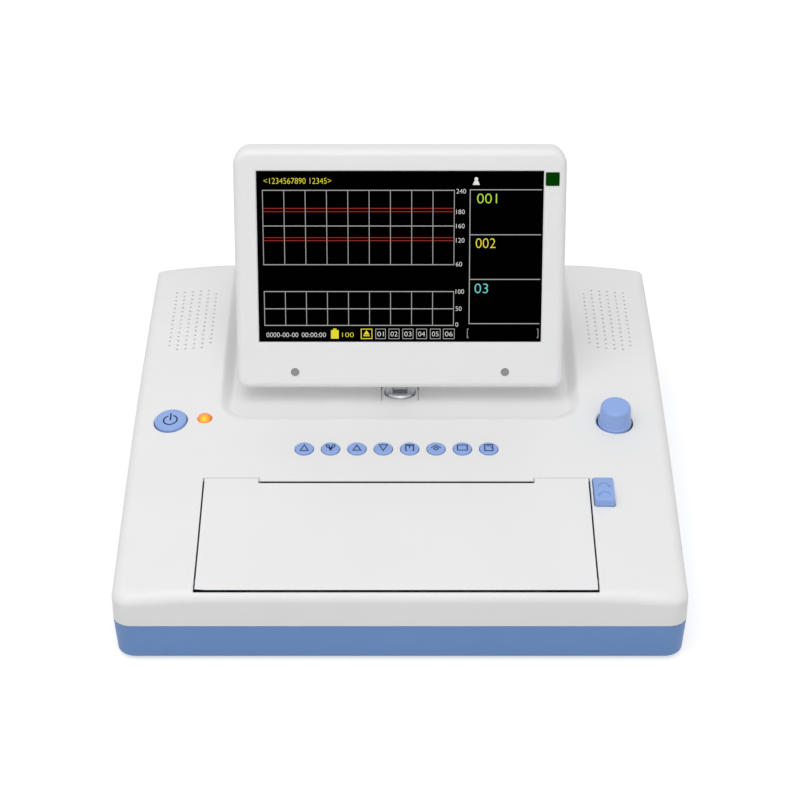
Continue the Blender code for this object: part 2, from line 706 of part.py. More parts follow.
def recess_solid(name, offset, steps=FINE):
    """What the recess takes out of the deck, grown by offset: open at the rear, with soft walls."""
    corner_steps, _, side_steps = steps
    levels = RECESS_FINE_SHARES if steps == FINE else RECESS_COARSE_SHARES
    rear = REAR_Y + OVERRUN + offset
    top = deck_height(0, REAR_Y) + REAR_EDGE_RADIUS
    rings = []
    for level in levels:
        inset = RECESS_FILLET * level
        right = RECESS_HALF + offset - inset
        front = RECESS_FRONT_Y - offset + inset
        radius = RECESS_CORNER_RADIUS + offset - inset
        share = level * level * (3 - 2 * level)
        path = [(right, rear - (rear - TILT_AXIS_Y) * step / side_steps) for step in range(side_steps)]
        path += [(right, TILT_AXIS_Y), (right, (TILT_AXIS_Y + front + radius) / 2), (right, front + radius)]
        for step in range(1, corner_steps + 1):
            angle = pi / 2 * step / corner_steps
            path.append((right - radius + radius * cos(angle), front + radius - radius * sin(angle)))
        path += [(-x, y) for x, y in reversed(path)]
        ring = []
        for x, y in path:
            high = deck_height(x, y) - RECESS_RIM_STEP
            ring.append((x, y, high + (min(recess_floor(y), high) - high) * share - offset))
        rings.append(ring)
    rings.insert(0, [(x, y, top) for x, y, _ in rings[0]])
    count = len(rings[0])
    rows = [[index, index + 1, count - 2 - index, count - 1 - index] for index in range(count // 2 - 1)]
    return loft(name, rings, rows)


def tilt_frame():
    return Matrix.Translation((0, TILT_AXIS_Y, TILT_AXIS_HEIGHT)) @ Matrix.Rotation(REST_ANGLE - pi / 2, 4, "X")


def panel_frame(x, y, level_sideways=True):
    """A place on the deck, its Z square to the control panel, which leans with the deck."""
    frame = Matrix.Translation((x, y, deck_height(x, y))) @ Matrix.Rotation(atan(deck_slope(PANEL_Y)), 4, "X")
    if level_sideways:
        return frame
    return frame @ Matrix.Rotation(-atan(deck_side_slope(x)), 4, "Y")


def release_frame():
    lean = Matrix.Rotation(atan(deck_slope(LATCH_Y)), 4, "X")
    return Matrix.Translation((RELEASE_X, LATCH_Y, deck_height(RELEASE_X, LATCH_Y))) @ lean


def key_x(index):
    return PRINTER_X + KEY_PITCH * (index - (KEY_COUNT - 1) / 2)


def post_places():
    """The four corner posts that the case screws go up into."""
    for side in (-1, 1):
        for y in (FRONT_Y + POST_INSET, REAR_Y - 2 * POST_INSET):
            yield side * (HALF_WIDTH - POST_INSET), y


def board_boss_places():
    board = panel_frame(0, PANEL_Y)
    for side in (-1, 1):
        yield board, side * (HALF_WIDTH - BOARD_BOSS_INSET), -BOARD_BOSS_Y
        yield board, side * (HALF_WIDTH - BOARD_BOSS_SIDE_INSET), BOARD_BOSS_SIDE_Y


def door_envelope(name, low, side, rear, lip_extra, lip_depth):
    """The space that the door or its opening takes, with the lip's wider ends."""
    front = FRONT_Y - OVERRUN
    top = DECK_REAR_HEIGHT
    space = block(name, (PRINTER_X - side, front, low), (PRINTER_X + side, rear, top))
    wide = side + lip_extra
    return join(space, block("lip", (PRINTER_X - wide, front, low),
                             (PRINTER_X + wide, FRONT_Y + lip_depth, top)))


def make_top_housing(finishes):
    cavity = housing_solid("cavity", WALL, SEAM_HEIGHT - OVERRUN, COARSE)
    cut(cavity, recess_solid("recess pan", WALL, COARSE))
    for x, y in post_places():
        cut(cavity, moved(rod("post", POST_RADIUS, SEAM_HEIGHT - OVERRUN, DECK_REAR_HEIGHT, 12),
                          Matrix.Translation((x, y, 0))))
    for board, x, y in board_boss_places():
        boss = rod("boss", BOARD_BOSS_RADIUS, -CONTROL_BOARD_DROP + GAP, 0, 12)
        cut(cavity, moved(boss, board @ Matrix.Translation((x, y, 0))))
    for side in (-1, 1):
        collar = prism("collar", speaker_outline(0), "Z", SPEAKER_TOP + GAP, DECK_REAR_HEIGHT)
        cut(collar, prism("collar bore", speaker_outline(COLLAR_THICKNESS), "Z", SPEAKER_TOP,
                          DECK_REAR_HEIGHT + OVERRUN))
        cut(cavity, moved(collar, Matrix.Translation((side * SPEAKER_X, SPEAKER_Y, 0))))
        inner = PRINTER_X + side * (OPENING_HALF + DOOR_LIP_EXTRA + GAP)
        outline = hanger_outline(DOOR_AXIS_Y, DOOR_AXIS_HEIGHT, HINGE_BOSS_RADIUS)
        cut(cavity, prism("hinge boss", outline, "X", inner, inner + side * HINGE_BOSS_WIDTH))
    housing = cut(housing_solid("top", 0, SEAM_HEIGHT), recess_solid("recess", 0), cavity)
    opening_low = DOOR_LIP_HEIGHT - DOOR_LIP_GAP
    rear = DOOR_REAR_Y + DOOR_REAR_GAP
    opening = door_envelope("opening", opening_low, OPENING_HALF, rear, DOOR_LIP_EXTRA,
                            DOOR_LIP_DEPTH + DOOR_SIDE_GAP)
    cut(opening, block("tongue", (PRINTER_X - SLOT_HALF, rear - SLOT_SETBACK, 0),
                       (PRINTER_X + SLOT_HALF, rear + OVERRUN, DECK_REAR_HEIGHT + OVERRUN)))
    cut(housing, opening)
    reach = OPENING_HALF + DOOR_LIP_EXTRA - GAP
    relief = rod("lip relief", lip_reach() + LIP_RELIEF, -reach, reach, 48)
    cut(housing, moved(relief, along_x(PRINTER_X, DOOR_AXIS_Y, DOOR_AXIS_HEIGHT)))
    boss_reach = reach + 2 * GAP + HINGE_BOSS_WIDTH + OVERRUN
    pin_bore = rod("pin bore", PIN_RADIUS + BORE_GAP, -boss_reach, boss_reach, 16)
    cut(housing, moved(pin_bore, along_x(PRINTER_X, DOOR_AXIS_Y, DOOR_AXIS_HEIGHT)))
    cut_deck_holes(housing)
    cut_grilles(housing)
    cut_wall_holes(housing)
    return finish(housing, "top_housing", finishes["white"])


def hanger_outline(y, height, radius):
    """A plate that hangs from the middle of the deck's skin and is round about a point."""
    points = []
    for step in range(9):
        angle = pi + pi * step / 8
        points.append((y + radius * cos(angle), height + radius * sin(angle)))
    for side in (1, -1):
        points.append((y + side * radius, deck_height(0, y + side * radius) - WALL / 2))
    return points


def lip_reach():
    """How far the door's lip lies from the hinge axis, read on the curve of the front edge."""
    best = FRONT_Y
    for step in range(101):
        angle = pi / 2 * step / 100
        y = FRONT_Y + FRONT_EDGE_RADIUS * (1 - cos(angle))
        height = deck_height(0, y) - FRONT_EDGE_RADIUS * (1 - sin(angle))
        if height <= DOOR_LIP_HEIGHT:
            best = y
    return hypot(DOOR_AXIS_Y - best, DOOR_LIP_HEIGHT - DOOR_AXIS_HEIGHT)


def cut_deck_holes(housing):
    """Keys, power button, lamp, dial, release button, hinge post and the two slits beside it."""
    deep = CONTROL_BOARD_DROP / 2
    for index in range(KEY_COUNT):
        hole = rod("key hole", KEY_RADIUS + GAP, -deep, deep, 16)
        cut(housing, moved(hole, panel_frame(key_x(index), KEY_ROW_Y)))
    cut(housing, moved(rod("power hole", POWER_RADIUS + GAP, -deep, deep),
                       panel_frame(POWER_X, POWER_Y, False)))
    cut(housing, moved(rod("lamp hole", LAMP_RADIUS + GAP, -deep, deep, 16), panel_frame(LAMP_X, LAMP_Y)))
    cut(housing, moved(rod("dial hole", DIAL_FOOT_RADIUS + DIAL_GAP, -deep, deep), panel_frame(DIAL_X, DIAL_Y)))
    half_x = RELEASE_WIDTH / 2 + BUTTON_GAP
    half_y = RELEASE_LENGTH / 2 + BUTTON_GAP
    corner = RELEASE_CORNER + BUTTON_GAP
    slot = prism("slot", rounded_rectangle(-half_x, half_x, -half_y, half_y, corner, corner, 2), "Z", -deep,
                 deep)
    cut(housing, moved(slot, release_frame()))
    low = RECESS_FLOOR_HEIGHT - 2 * WALL
    high = RECESS_FLOOR_HEIGHT + 2 * WALL
    hole = rod("post hole", POST_DOME_RADIUS + POST_HOLE_CLEARANCE, low, high)
    cut(housing, moved(hole, Matrix.Translation((0, TILT_AXIS_Y, 0))))
    for side in (-1, 1):
        x = side * SLIT_X
        cut(housing, block("slit", (x - SLIT_WIDTH / 2, TILT_AXIS_Y, low),
                           (x + SLIT_WIDTH / 2, TILT_AXIS_Y + SLIT_LENGTH, high)))


def grille_places():
    """Middles of the grille holes on the right: the front corners and the inner rear corner stay closed."""
    last_column = GRILLE_COLUMNS - 1
    last_row = GRILLE_ROWS - 1
    for column in range(GRILLE_COLUMNS):
        for row in range(GRILLE_ROWS):
            if (row == 0 and column in (0, last_column)) or (row == last_row and column == 0):
                continue
            x = SPEAKER_X + GRILLE_COLUMN_PITCH * (column - last_column / 2)
            yield x, SPEAKER_Y + GRILLE_ROW_PITCH * (row - last_row / 2)


def cut_grilles(housing):
    """Perforates the deck above both loudspeakers."""
    for side in (-1, 1):
        shape = bmesh.new()
        for x, y in grille_places():
            height = deck_height(x, y)
            pin = rod("grille hole", GRILLE_HOLE_RADIUS, height - 2 * WALL, height + OVERRUN, 6)
            moved(pin, Matrix.Translation((side * x, y, 0)))
            shape.from_mesh(pin.data)
            bpy.data.objects.remove(pin)
        mesh = bpy.data.meshes.new("grille pins")
        shape.to_mesh(mesh)
        shape.free()
        cut(housing, add_object("grille pins", mesh))


def cut_wall_holes(housing):
    """Holes for the probe sockets in the left side, and for the inlet, data port and earth post in the rear wall."""
    for index in range(SOCKET_COUNT):
        hole = rod("socket hole", SOCKET_RADIUS + GAP, -2 * WALL, 2 * WALL, 16)
        cut(housing, moved(hole, along_x(-HALF_WIDTH, socket_y(index), SOCKET_HEIGHT)))
    for x, radius in ((INLET_X, INLET_RADIUS), (EARTH_X, EARTH_RADIUS + EARTH_WELL)):
        cut(housing, moved(rod("rear hole", radius + GAP, -2 * WALL, 2 * WALL, 16),
                           along_y(x, REAR_Y, REAR_PORT_HEIGHT)))
    half_x = DATA_WIDTH / 2 + GAP
    half_z = DATA_HEIGHT / 2 + GAP
    cut(housing, block("data hole", (DATA_X - half_x, REAR_Y - 2 * WALL, REAR_PORT_HEIGHT - half_z),
                       (DATA_X + half_x, REAR_Y + OVERRUN, REAR_PORT_HEIGHT + half_z)))
    for x, y in post_places():
        hole = rod("screw hole", SCREW_HOLE_RADIUS, SEAM_HEIGHT - OVERRUN, SEAM_HEIGHT + 4 * OVERRUN, 8)
        cut(housing, moved(hole, Matrix.Translation((x, y, 0))))


def socket_y(index):
    return FRONT_Y + SOCKET_FROM_FRONT + SOCKET_PITCH * index


def base_ring(inset, height, radius_loss):
    radii = (FRONT_CORNER_RADIUS - radius_loss, REAR_CORNER_RADIUS - radius_loss)
    return [(x, y, height) for x, y, _, _ in case_outline([inset] * 3, radii, CORNER_STEPS, 1)]


def make_base(finishes):
    """The blue tub: tapered wall, rounded bottom edge, a tongue that the upper housing fits over, and its posts."""
    rim = SEAM_HEIGHT - GAP
    rings = []
    for step in range(4):
        angle = pi / 2 * step / 3
        inset = BASE_TAPER + BASE_EDGE_RADIUS * (1 - sin(angle))
        rings.append(base_ring(inset, FOOT_HEIGHT + BASE_EDGE_RADIUS * (1 - cos(angle)), inset / 2))
    rings.append(base_ring(0, rim, 0))
    tongue = WALL + GAP
    rings.append(base_ring(tongue, rim, tongue))
    rings.append(base_ring(tongue, rim + TONGUE_HEIGHT, tongue))
    rows = outline_rows(len(rings[0]), CORNER_STEPS, 1)
    base = loft("base", rings, rows)
    inner = [base_ring(BASE_WALL + BASE_TAPER, FLOOR_TOP, BASE_WALL),
             base_ring(BASE_WALL, rim + TONGUE_HEIGHT + OVERRUN, BASE_WALL)]
    inside = loft("inside", inner, rows)
    for x, y in post_places():
        cut(inside, moved(rod("post", POST_RADIUS + WALL, 0, rim, 12), Matrix.Translation((x, y, 0))))
    for x, y in board_corner_places():
        cut(inside, moved(rod("standoff", STANDOFF_RADIUS, 0, FLOOR_TOP + STANDOFF_HEIGHT, 10),
                          Matrix.Translation((x, y, 0))))
    cut(base, inside)
    for x, y in post_places():
        head = rod("screw head", SCREW_HEAD_RADIUS, 0, FOOT_HEIGHT + SCREW_HEAD_DEPTH, 12)
        shank = rod("screw shank", SCREW_HOLE_RADIUS, 0, rim + OVERRUN, 8)
        cut(base, moved(join(head, shank), Matrix.Translation((x, y, 0))))
    for x, y in foot_places():
        pocket = rod("pocket", FOOT_RADIUS + GAP, 0, FOOT_HEIGHT + FOOT_POCKET, 20)
        cut(base, moved(pocket, Matrix.Translation((x, y, 0))))
    return finish(base, "base_housing", finishes["blue_case"])


def foot_places():
    for y in (FRONT_Y + FOOT_EDGE_INSET, REAR_Y - FOOT_EDGE_INSET):
        for side in (-1, 1):
            yield side * (HALF_WIDTH - FOOT_SIDE_INSET), y


def make_feet(finishes):
    names = ("foot_front_left", "foot_front_right", "foot_rear_left", "foot_rear_right")
    top = FOOT_HEIGHT + FOOT_POCKET - GAP
    for name, (x, y) in zip(names, foot_places()):
        foot = lathe(name, ((0, 0), (FOOT_RADIUS - FOOT_TAPER, 0), (FOOT_RADIUS, FOOT_TAPER),
                            (FOOT_RADIUS, top), (0, top)), 20)
        finish(moved(foot, Matrix.Translation((x, y, 0))), name, finishes["rubber"])


def board_corner_places():
    inset = 2 * STANDOFF_RADIUS
    for x in (MAIN_BOARD_X + inset, MAIN_BOARD_X + MAIN_BOARD_WIDTH - inset):
        for y in (MAIN_BOARD_Y + inset, MAIN_BOARD_Y + MAIN_BOARD_DEPTH - inset):
            yield x, y


def make_electronics(finishes):
    """Main board on its standoffs, battery pack and power module on the floor of the base."""
    low = FLOOR_TOP + STANDOFF_HEIGHT + GAP
    high = low + BOARD_THICKNESS
    board = block("main_board", (MAIN_BOARD_X, MAIN_BOARD_Y, low),
                  (MAIN_BOARD_X + MAIN_BOARD_WIDTH, MAIN_BOARD_Y + MAIN_BOARD_DEPTH, high))
    for share_x, share_y, width_share, depth_share in CHIP_SHARES:
        x = MAIN_BOARD_X + MAIN_BOARD_WIDTH * share_x
        y = MAIN_BOARD_Y + MAIN_BOARD_DEPTH * share_y
        half = (MAIN_BOARD_WIDTH * width_share / 2, MAIN_BOARD_DEPTH * depth_share / 2)
        chip = block("chip", (x - half[0], y - half[1], low + GAP),
                     (x + half[0], y + half[1], high + CHIP_HEIGHT))
        join(board, chip)
    finish(board, "main_board", finishes["board"])
    rest = FLOOR_TOP + GAP
    right = BATTERY_X + BATTERY_WIDTH
    pack = rounded_rectangle(BATTERY_X, right, rest, rest + BATTERY_HEIGHT, BATTERY_CORNER, BATTERY_CORNER, 2)
    finish(prism("battery", pack, "Y", BATTERY_Y, BATTERY_Y + BATTERY_DEPTH), "battery_pack", finishes["dark"])
    supply = block("supply", (SUPPLY_X, SUPPLY_Y, rest), (SUPPLY_X + SUPPLY_WIDTH, SUPPLY_Y + SUPPLY_DEPTH,
                                                          rest + SUPPLY_HEIGHT))
    finish(supply, "power_module", finishes["grey"])


def speaker_outline(inset):
    half_x = SPEAKER_HALF_WIDTH - inset
    half_y = SPEAKER_HALF_LENGTH - inset
    corner = SPEAKER_CORNER - inset
    return rounded_rectangle(-half_x, half_x, -half_y, half_y, corner, corner, 4)


def round_outline(radius, length=0):
    """A circle, drawn out along Y by length to each side, with as many points as the loudspeaker's outline."""
    return rounded_rectangle(-radius, radius, -radius - length, radius + length, radius, radius, 4)


def make_speakers(finishes):
    """Two oblong loudspeakers that hang on collars under the grilles: magnet, basket, rim and cone."""
    top = SPEAKER_TOP
    back = top - SPEAKER_RIM - BASKET_DEPTH
    stretch = SPEAKER_HALF_LENGTH - SPEAKER_HALF_WIDTH
    levels = (
        (round_outline(MAGNET_RADIUS), back - MAGNET_DEPTH), (round_outline(MAGNET_RADIUS), back),
        (round_outline(MAGNET_RADIUS - GAP, stretch * BASKET_SHARE), back + GAP), (speaker_outline(0),
                                                                                   top - SPEAKER_RIM),
        (speaker_outline(0), top), (speaker_outline(SPEAKER_RIM_WIDTH), top),
        (round_outline(CONE_RADIUS, stretch * CONE_LENGTH_SHARE), top - CONE_DEPTH),
    )
    for name, side in (("speaker_left", -1), ("speaker_right", 1)):
        speaker = loft(name, [[(x, y, height) for x, y in outline] for outline, height in levels])
        finish(moved(speaker, Matrix.Translation((side * SPEAKER_X, SPEAKER_Y, 0))), name, finishes["dark"])


def make_sockets(finishes):
    """Four probe sockets in the left side, then the rear wall's inlet, data port and earth post."""
    inside = -WALL - GAP
    back = -SOCKET_DEPTH - SOCKET_BACK
    flange = SOCKET_RADIUS + SOCKET_LEDGE
    profile = (
        (0, -SOCKET_DEPTH), (SOCKET_BORE, -SOCKET_DEPTH), (SOCKET_BORE, 0), (SOCKET_RADIUS, 0), (SOCKET_RADIUS,
                                                                                                 inside),
        (flange, inside), (flange, back), (0, back),
    )
    for index in range(SOCKET_COUNT):
        name = f"probe_socket_{index + 1}"
        turn = Matrix.Translation((-HALF_WIDTH, socket_y(index), SOCKET_HEIGHT)) @ Matrix.Rotation(-pi / 2, 4,
                                                                                                   "Y")
        finish(moved(lathe(name, profile, 12), turn), name, finishes["grey"])
    rear = Matrix.Translation((0, REAR_Y, REAR_PORT_HEIGHT)) @ Matrix.Rotation(-pi / 2, 4, "X")
    shift = INLET_RADIUS - SOCKET_RADIUS
    inlet = [(radius + shift if radius > SOCKET_BORE else radius, height) for radius, height in profile]
    inlet = [(INLET_BORE if radius == SOCKET_BORE else radius, height) for radius, height in inlet]
    finish(moved(lathe("inlet", inlet, 16), Matrix.Translation((INLET_X, 0, 0)) @ rear), "power_inlet",
           finishes["dark"])
    half_x = DATA_WIDTH / 2
    half_z = DATA_HEIGHT / 2
    depth = SOCKET_DEPTH + SOCKET_BACK
    port = block("port", (DATA_X - half_x, REAR_Y - depth, REAR_PORT_HEIGHT - half_z),
                 (DATA_X + half_x, REAR_Y, REAR_PORT_HEIGHT + half_z))
    cut(port, block("port bore", (DATA_X - half_x + DATA_WALL, REAR_Y - SOCKET_DEPTH,
                                  REAR_PORT_HEIGHT - half_z + DATA_WALL),
                    (DATA_X + half_x - DATA_WALL, REAR_Y + OVERRUN, REAR_PORT_HEIGHT + half_z - DATA_WALL)))
    finish(port, "data_port", finishes["steel"])
    nut = EARTH_RADIUS + EARTH_WELL + SOCKET_LEDGE
    post = ((0, inside - EARTH_NUT), (nut, inside - EARTH_NUT), (nut, inside), (EARTH_RADIUS, inside),
            (EARTH_RADIUS, -GAP), (EARTH_RADIUS - GAP, 0), (0, 0))
    finish(moved(lathe("earth", post, 16), Matrix.Translation((EARTH_X, 0, 0)) @ rear), "earth_post",
           finishes["brass"])


def make_tray(finishes):
    """Open paper tray with a shelf on each side; the right shelf carries the latch lever's two ears."""
    low = FLOOR_TOP + GAP
    left = PRINTER_X - TRAY_HALF
    right = PRINTER_X + TRAY_HALF
    outline = rounded_rectangle(TRAY_FRONT_Y, TRAY_REAR_Y, low, TRAY_TOP, TRAY_CORNER, 0, 4)
    tray = prism("tray", outline, "X", left, right)
    shelf_half = DOOR_HALF - DOOR_EAR_INSET - DOOR_EAR_THICKNESS - SHELF_INSET
    shelf_low = TRAY_TOP - SHELF_THICKNESS
    shelf_rear = CHEEK_FRONT_Y - SHELF_ROOM
    join(tray, block("shelves", (PRINTER_X - shelf_half, TRAY_FRONT_Y, shelf_low),
                     (PRINTER_X + shelf_half, shelf_rear, TRAY_TOP)))
    ear_rear = LATCH_Y + LATCH_WIDTH / 2 + GAP + LATCH_EAR_THICKNESS
    slot_x = PRINTER_X + CHEEK_HALF + CHEEK_THICKNESS + GAP
    join(tray, block("platform", (slot_x, shelf_rear - LATCH_PLATFORM_DEPTH, shelf_low),
                     (LATCH_AXIS_X + LATCH_ARM, ear_rear, TRAY_TOP)))
    for side in (-1, 1):
        near = LATCH_Y + side * (LATCH_WIDTH / 2 + GAP)
        far = near + side * LATCH_EAR_THICKNESS
        ear = block("ear", (LATCH_AXIS_X - LATCH_ARM, min(near, far), shelf_low + SHELF_THICKNESS / 2),
                    (LATCH_AXIS_X + LATCH_ARM, max(near, far), LATCH_AXIS_HEIGHT + LATCH_ARM))
        join(tray, ear)
    room = rounded_rectangle(TRAY_FRONT_Y + TRAY_WALL, TRAY_REAR_Y - TRAY_WALL, low + TRAY_WALL,
                             TRAY_TOP + OVERRUN,
                             TRAY_CORNER - TRAY_WALL, 0, 4)
    cut(tray, prism("room", room, "X", left + TRAY_WALL, right - TRAY_WALL))
    pin_bore = rod("latch bore", LATCH_PIN_RADIUS + BORE_GAP, -LATCH_WIDTH, LATCH_WIDTH, 12)
    cut(tray, moved(pin_bore, along_y(LATCH_AXIS_X, LATCH_Y, LATCH_AXIS_HEIGHT)))
    return finish(tray, "paper_tray", finishes["light_grey"])


def make_door(finishes):
    """The printer door: a piece of the deck's own skin with hinge ears, the platen's bearing lugs and a catch."""
    door = cut(housing_solid("door", 0, SEAM_HEIGHT), housing_solid("door inside", WALL, SEAM_HEIGHT - OVERRUN))
    trim(door, door_envelope("door edge", DOOR_LIP_HEIGHT, DOOR_HALF, DOOR_REAR_Y, DOOR_LIP_EXTRA,
                             DOOR_LIP_DEPTH))
    half = SLOT_HALF + DOOR_REAR_GAP
    slot_y = DOOR_REAR_Y + DOOR_REAR_GAP - SLOT_SETBACK - SLOT_GAP
    cut(door, block("paper slot", (PRINTER_X - half, slot_y, 0), (PRINTER_X + half, 0, DECK_REAR_HEIGHT)))
    ear = DOOR_HALF - DOOR_EAR_INSET
    lug = PAPER_WIDTH / 2 + GAP
    for side in (-1, 1):
        outline = hanger_outline(DOOR_AXIS_Y, DOOR_AXIS_HEIGHT, DOOR_EAR_RADIUS)
        join(door, prism("ear", outline, "X", PRINTER_X + side * ear,
                         PRINTER_X + side * (ear - DOOR_EAR_THICKNESS)))
        outline = hanger_outline(PLATEN_Y, PLATEN_HEIGHT, LUG_RADIUS)
        join(door, prism("lug", outline, "X", PRINTER_X + side * lug, PRINTER_X + side * (lug + LUG_THICKNESS)))
    join(door, catch())
    pin_bore = rod("pin bore", PIN_RADIUS + BORE_GAP, -ear - OVERRUN, ear + OVERRUN, 16)
    cut(door, moved(pin_bore, along_x(PRINTER_X, DOOR_AXIS_Y, DOOR_AXIS_HEIGHT)))
    reach = lug + LUG_THICKNESS + OVERRUN
    shaft_bore = rod("shaft bore", PLATEN_SHAFT_RADIUS + BORE_GAP, -reach, reach, 16)
    cut(door, moved(shaft_bore, along_x(PRINTER_X, PLATEN_Y, PLATEN_HEIGHT)))
    finish(door, "printer_door", finishes["white"], origin=(PRINTER_X, DOOR_AXIS_Y, DOOR_AXIS_HEIGHT))
    inner = ear - DOOR_EAR_THICKNESS - DOOR_PIN_MARGIN
    outer = OPENING_HALF + DOOR_LIP_EXTRA + GAP + HINGE_BOSS_WIDTH
    for name, side in (("door_pin_left", -1), ("door_pin_right", 1)):
        pin = rod(name, PIN_RADIUS, *sorted((side * inner, side * outer)), 16)
        finish(moved(pin, along_x(PRINTER_X, DOOR_AXIS_Y, DOOR_AXIS_HEIGHT)), name, finishes["steel"])
    return door


def catch():
    """The tab under the door that the latch's nose holds: a plate with a small foot towards the latch."""
    foot_right = LATCH_AXIS_X - LATCH_HOOK_THICKNESS / 2 - LATCH_NOSE - LATCH_CLEARANCE
    right = foot_right - CATCH_FOOT
    low = LATCH_AXIS_HEIGHT + LATCH_HOOK_HEIGHT - LATCH_NOSE_THICKNESS - LATCH_CLEARANCE - CATCH_FOOT_HEIGHT
    front = LATCH_Y - LATCH_WIDTH / 2
    rear = LATCH_Y + LATCH_WIDTH / 2
    outline = [(front, low), (rear, low), (rear, deck_height(0, rear) - WALL / 2),
               (front, deck_height(0, front) - WALL / 2)]
    tab = prism("catch", outline, "X", right - CATCH_THICKNESS, right)
    foot = block("catch foot", (right - CATCH_THICKNESS / 2, front, low),
                 (foot_right, rear, low + CATCH_FOOT_HEIGHT))
    return join(tab, foot)


def make_latch(finishes):
    """Latch lever on its pin, and the release button that presses down its arm."""
    y = LATCH_Y
    front = y - LATCH_WIDTH / 2
    rear = y + LATCH_WIDTH / 2
    lever = rod("lever", LATCH_ARM, -LATCH_WIDTH / 2, LATCH_WIDTH / 2, 16)
    moved(lever, along_y(LATCH_AXIS_X, y, LATCH_AXIS_HEIGHT))
    arm_low = LATCH_AXIS_HEIGHT - LATCH_ARM / 2
    arm_high = LATCH_AXIS_HEIGHT + LATCH_ARM / 2
    join(lever, block("arm", (LATCH_AXIS_X, front, arm_low), (LATCH_AXIS_X + LATCH_ARM_END, rear, arm_high)))
    left = LATCH_AXIS_X - LATCH_HOOK_THICKNESS / 2
    top = LATCH_AXIS_HEIGHT + LATCH_HOOK_HEIGHT
    join(lever, block("hook", (left, front, LATCH_AXIS_HEIGHT), (left + LATCH_HOOK_THICKNESS, rear, top)))
    join(lever, block("nose", (left - LATCH_NOSE, front, top - LATCH_NOSE_THICKNESS),
                      (left + LATCH_HOOK_THICKNESS / 2, rear, top)))
    bore = rod("lever bore", LATCH_PIN_RADIUS + BORE_GAP, -LATCH_WIDTH, LATCH_WIDTH, 12)
    cut(lever, moved(bore, along_y(LATCH_AXIS_X, y, LATCH_AXIS_HEIGHT)))
    finish(lever, "latch_lever", finishes["steel"], origin=(LATCH_AXIS_X, y, LATCH_AXIS_HEIGHT))
    reach = LATCH_WIDTH / 2 + GAP + LATCH_EAR_THICKNESS
    pin = rod("pin", LATCH_PIN_RADIUS, -reach, reach, 12)
    finish(moved(pin, along_y(LATCH_AXIS_X, y, LATCH_AXIS_HEIGHT)), "latch_pin", finishes["steel"])

    lean = atan(deck_slope(y))
    rings = []
    for grow, height in (
            (FLANGE_OVERLAP, -FLANGE_DROP - FLANGE_THICKNESS), (FLANGE_OVERLAP, -FLANGE_DROP), (0,
                                                                                                -FLANGE_DROP),
            (0, RELEASE_PROUD - KEY_EDGE), (-KEY_EDGE, RELEASE_PROUD)):
        half_x = RELEASE_WIDTH / 2 + grow
        half_y = RELEASE_LENGTH / 2 + grow
        corner = RELEASE_CORNER + grow
        outline = rounded_rectangle(-half_x, half_x, -half_y, half_y, corner, corner, 3)
        rings.append([(x, y_along, height) for x, y_along in outline])
    button = loft("button", rings)
    room = (deck_height(RELEASE_X, y) - arm_high - GAP) / cos(lean) - STEM_WIDTH / 2 * tan(lean)
    half = STEM_WIDTH / 2
    join(button, block("stem", (-half, -half, -room), (half, half, -FLANGE_DROP)))
    origin = release_frame().to_translation()
    return finish(moved(button, release_frame()), "release_button", finishes["blue_key"], origin=origin)


def head_point(distance, tangent):
    """A point behind the platen in the print head's slanted directions, as (y, z)."""
    return (
        PLATEN_Y + distance * cos(HEAD_ANGLE) - tangent * sin(HEAD_ANGLE),
        PLATEN_HEIGHT + distance * sin(HEAD_ANGLE) + tangent * cos(HEAD_ANGLE),
    )


def gear_outline(teeth, phase):
    """A gear's outline about 0, 0, with one tooth's middle at the phase angle."""
    radius = GEAR_MODULE * teeth / 2
    pitch = 2 * pi / teeth
    points = []
    for tooth in range(teeth):
        middle = phase + pitch * tooth
        for reach, share in (
                (-TOOTH_ROOT, -TOOTH_ROOT_SHARE), (TOOTH_TIP, -TOOTH_TIP_SHARE),
                (TOOTH_TIP, TOOTH_TIP_SHARE), (-TOOTH_ROOT, TOOTH_ROOT_SHARE)):
            angle = middle + pitch * share
            points.append(((radius + reach) * cos(angle), (radius + reach) * sin(angle)))
    return points


def gear(name, teeth, phase, centre):
    outline = [(centre[0] + y, centre[1] + z) for y, z in gear_outline(teeth, phase)]
    return prism(name, outline, "X", GEAR_LEFT, GEAR_LEFT + GEAR_WIDTH)


def gear_centres():
    """The idler lies on the platen's way in, so that the gears part without a scrape when the door opens."""
    angle = atan2(DOOR_AXIS_Y - PLATEN_Y, PLATEN_HEIGHT - DOOR_AXIS_HEIGHT)
    reach = GEAR_MODULE * (PLATEN_TEETH + IDLER_TEETH) / 2 + GEAR_MESH_ROOM
    idler = (PLATEN_Y + reach * cos(angle), PLATEN_HEIGHT + reach * sin(angle))
    reach = GEAR_MODULE * (IDLER_TEETH + PINION_TEETH) / 2 + GEAR_MESH_ROOM
    height = FLOOR_TOP + MOTOR_ROOM + MOTOR_FLANGE_RADIUS
    pinion = (idler[0] + reach * cos(asin((idler[1] - height) / reach)), height)
    return angle, idler, pinion


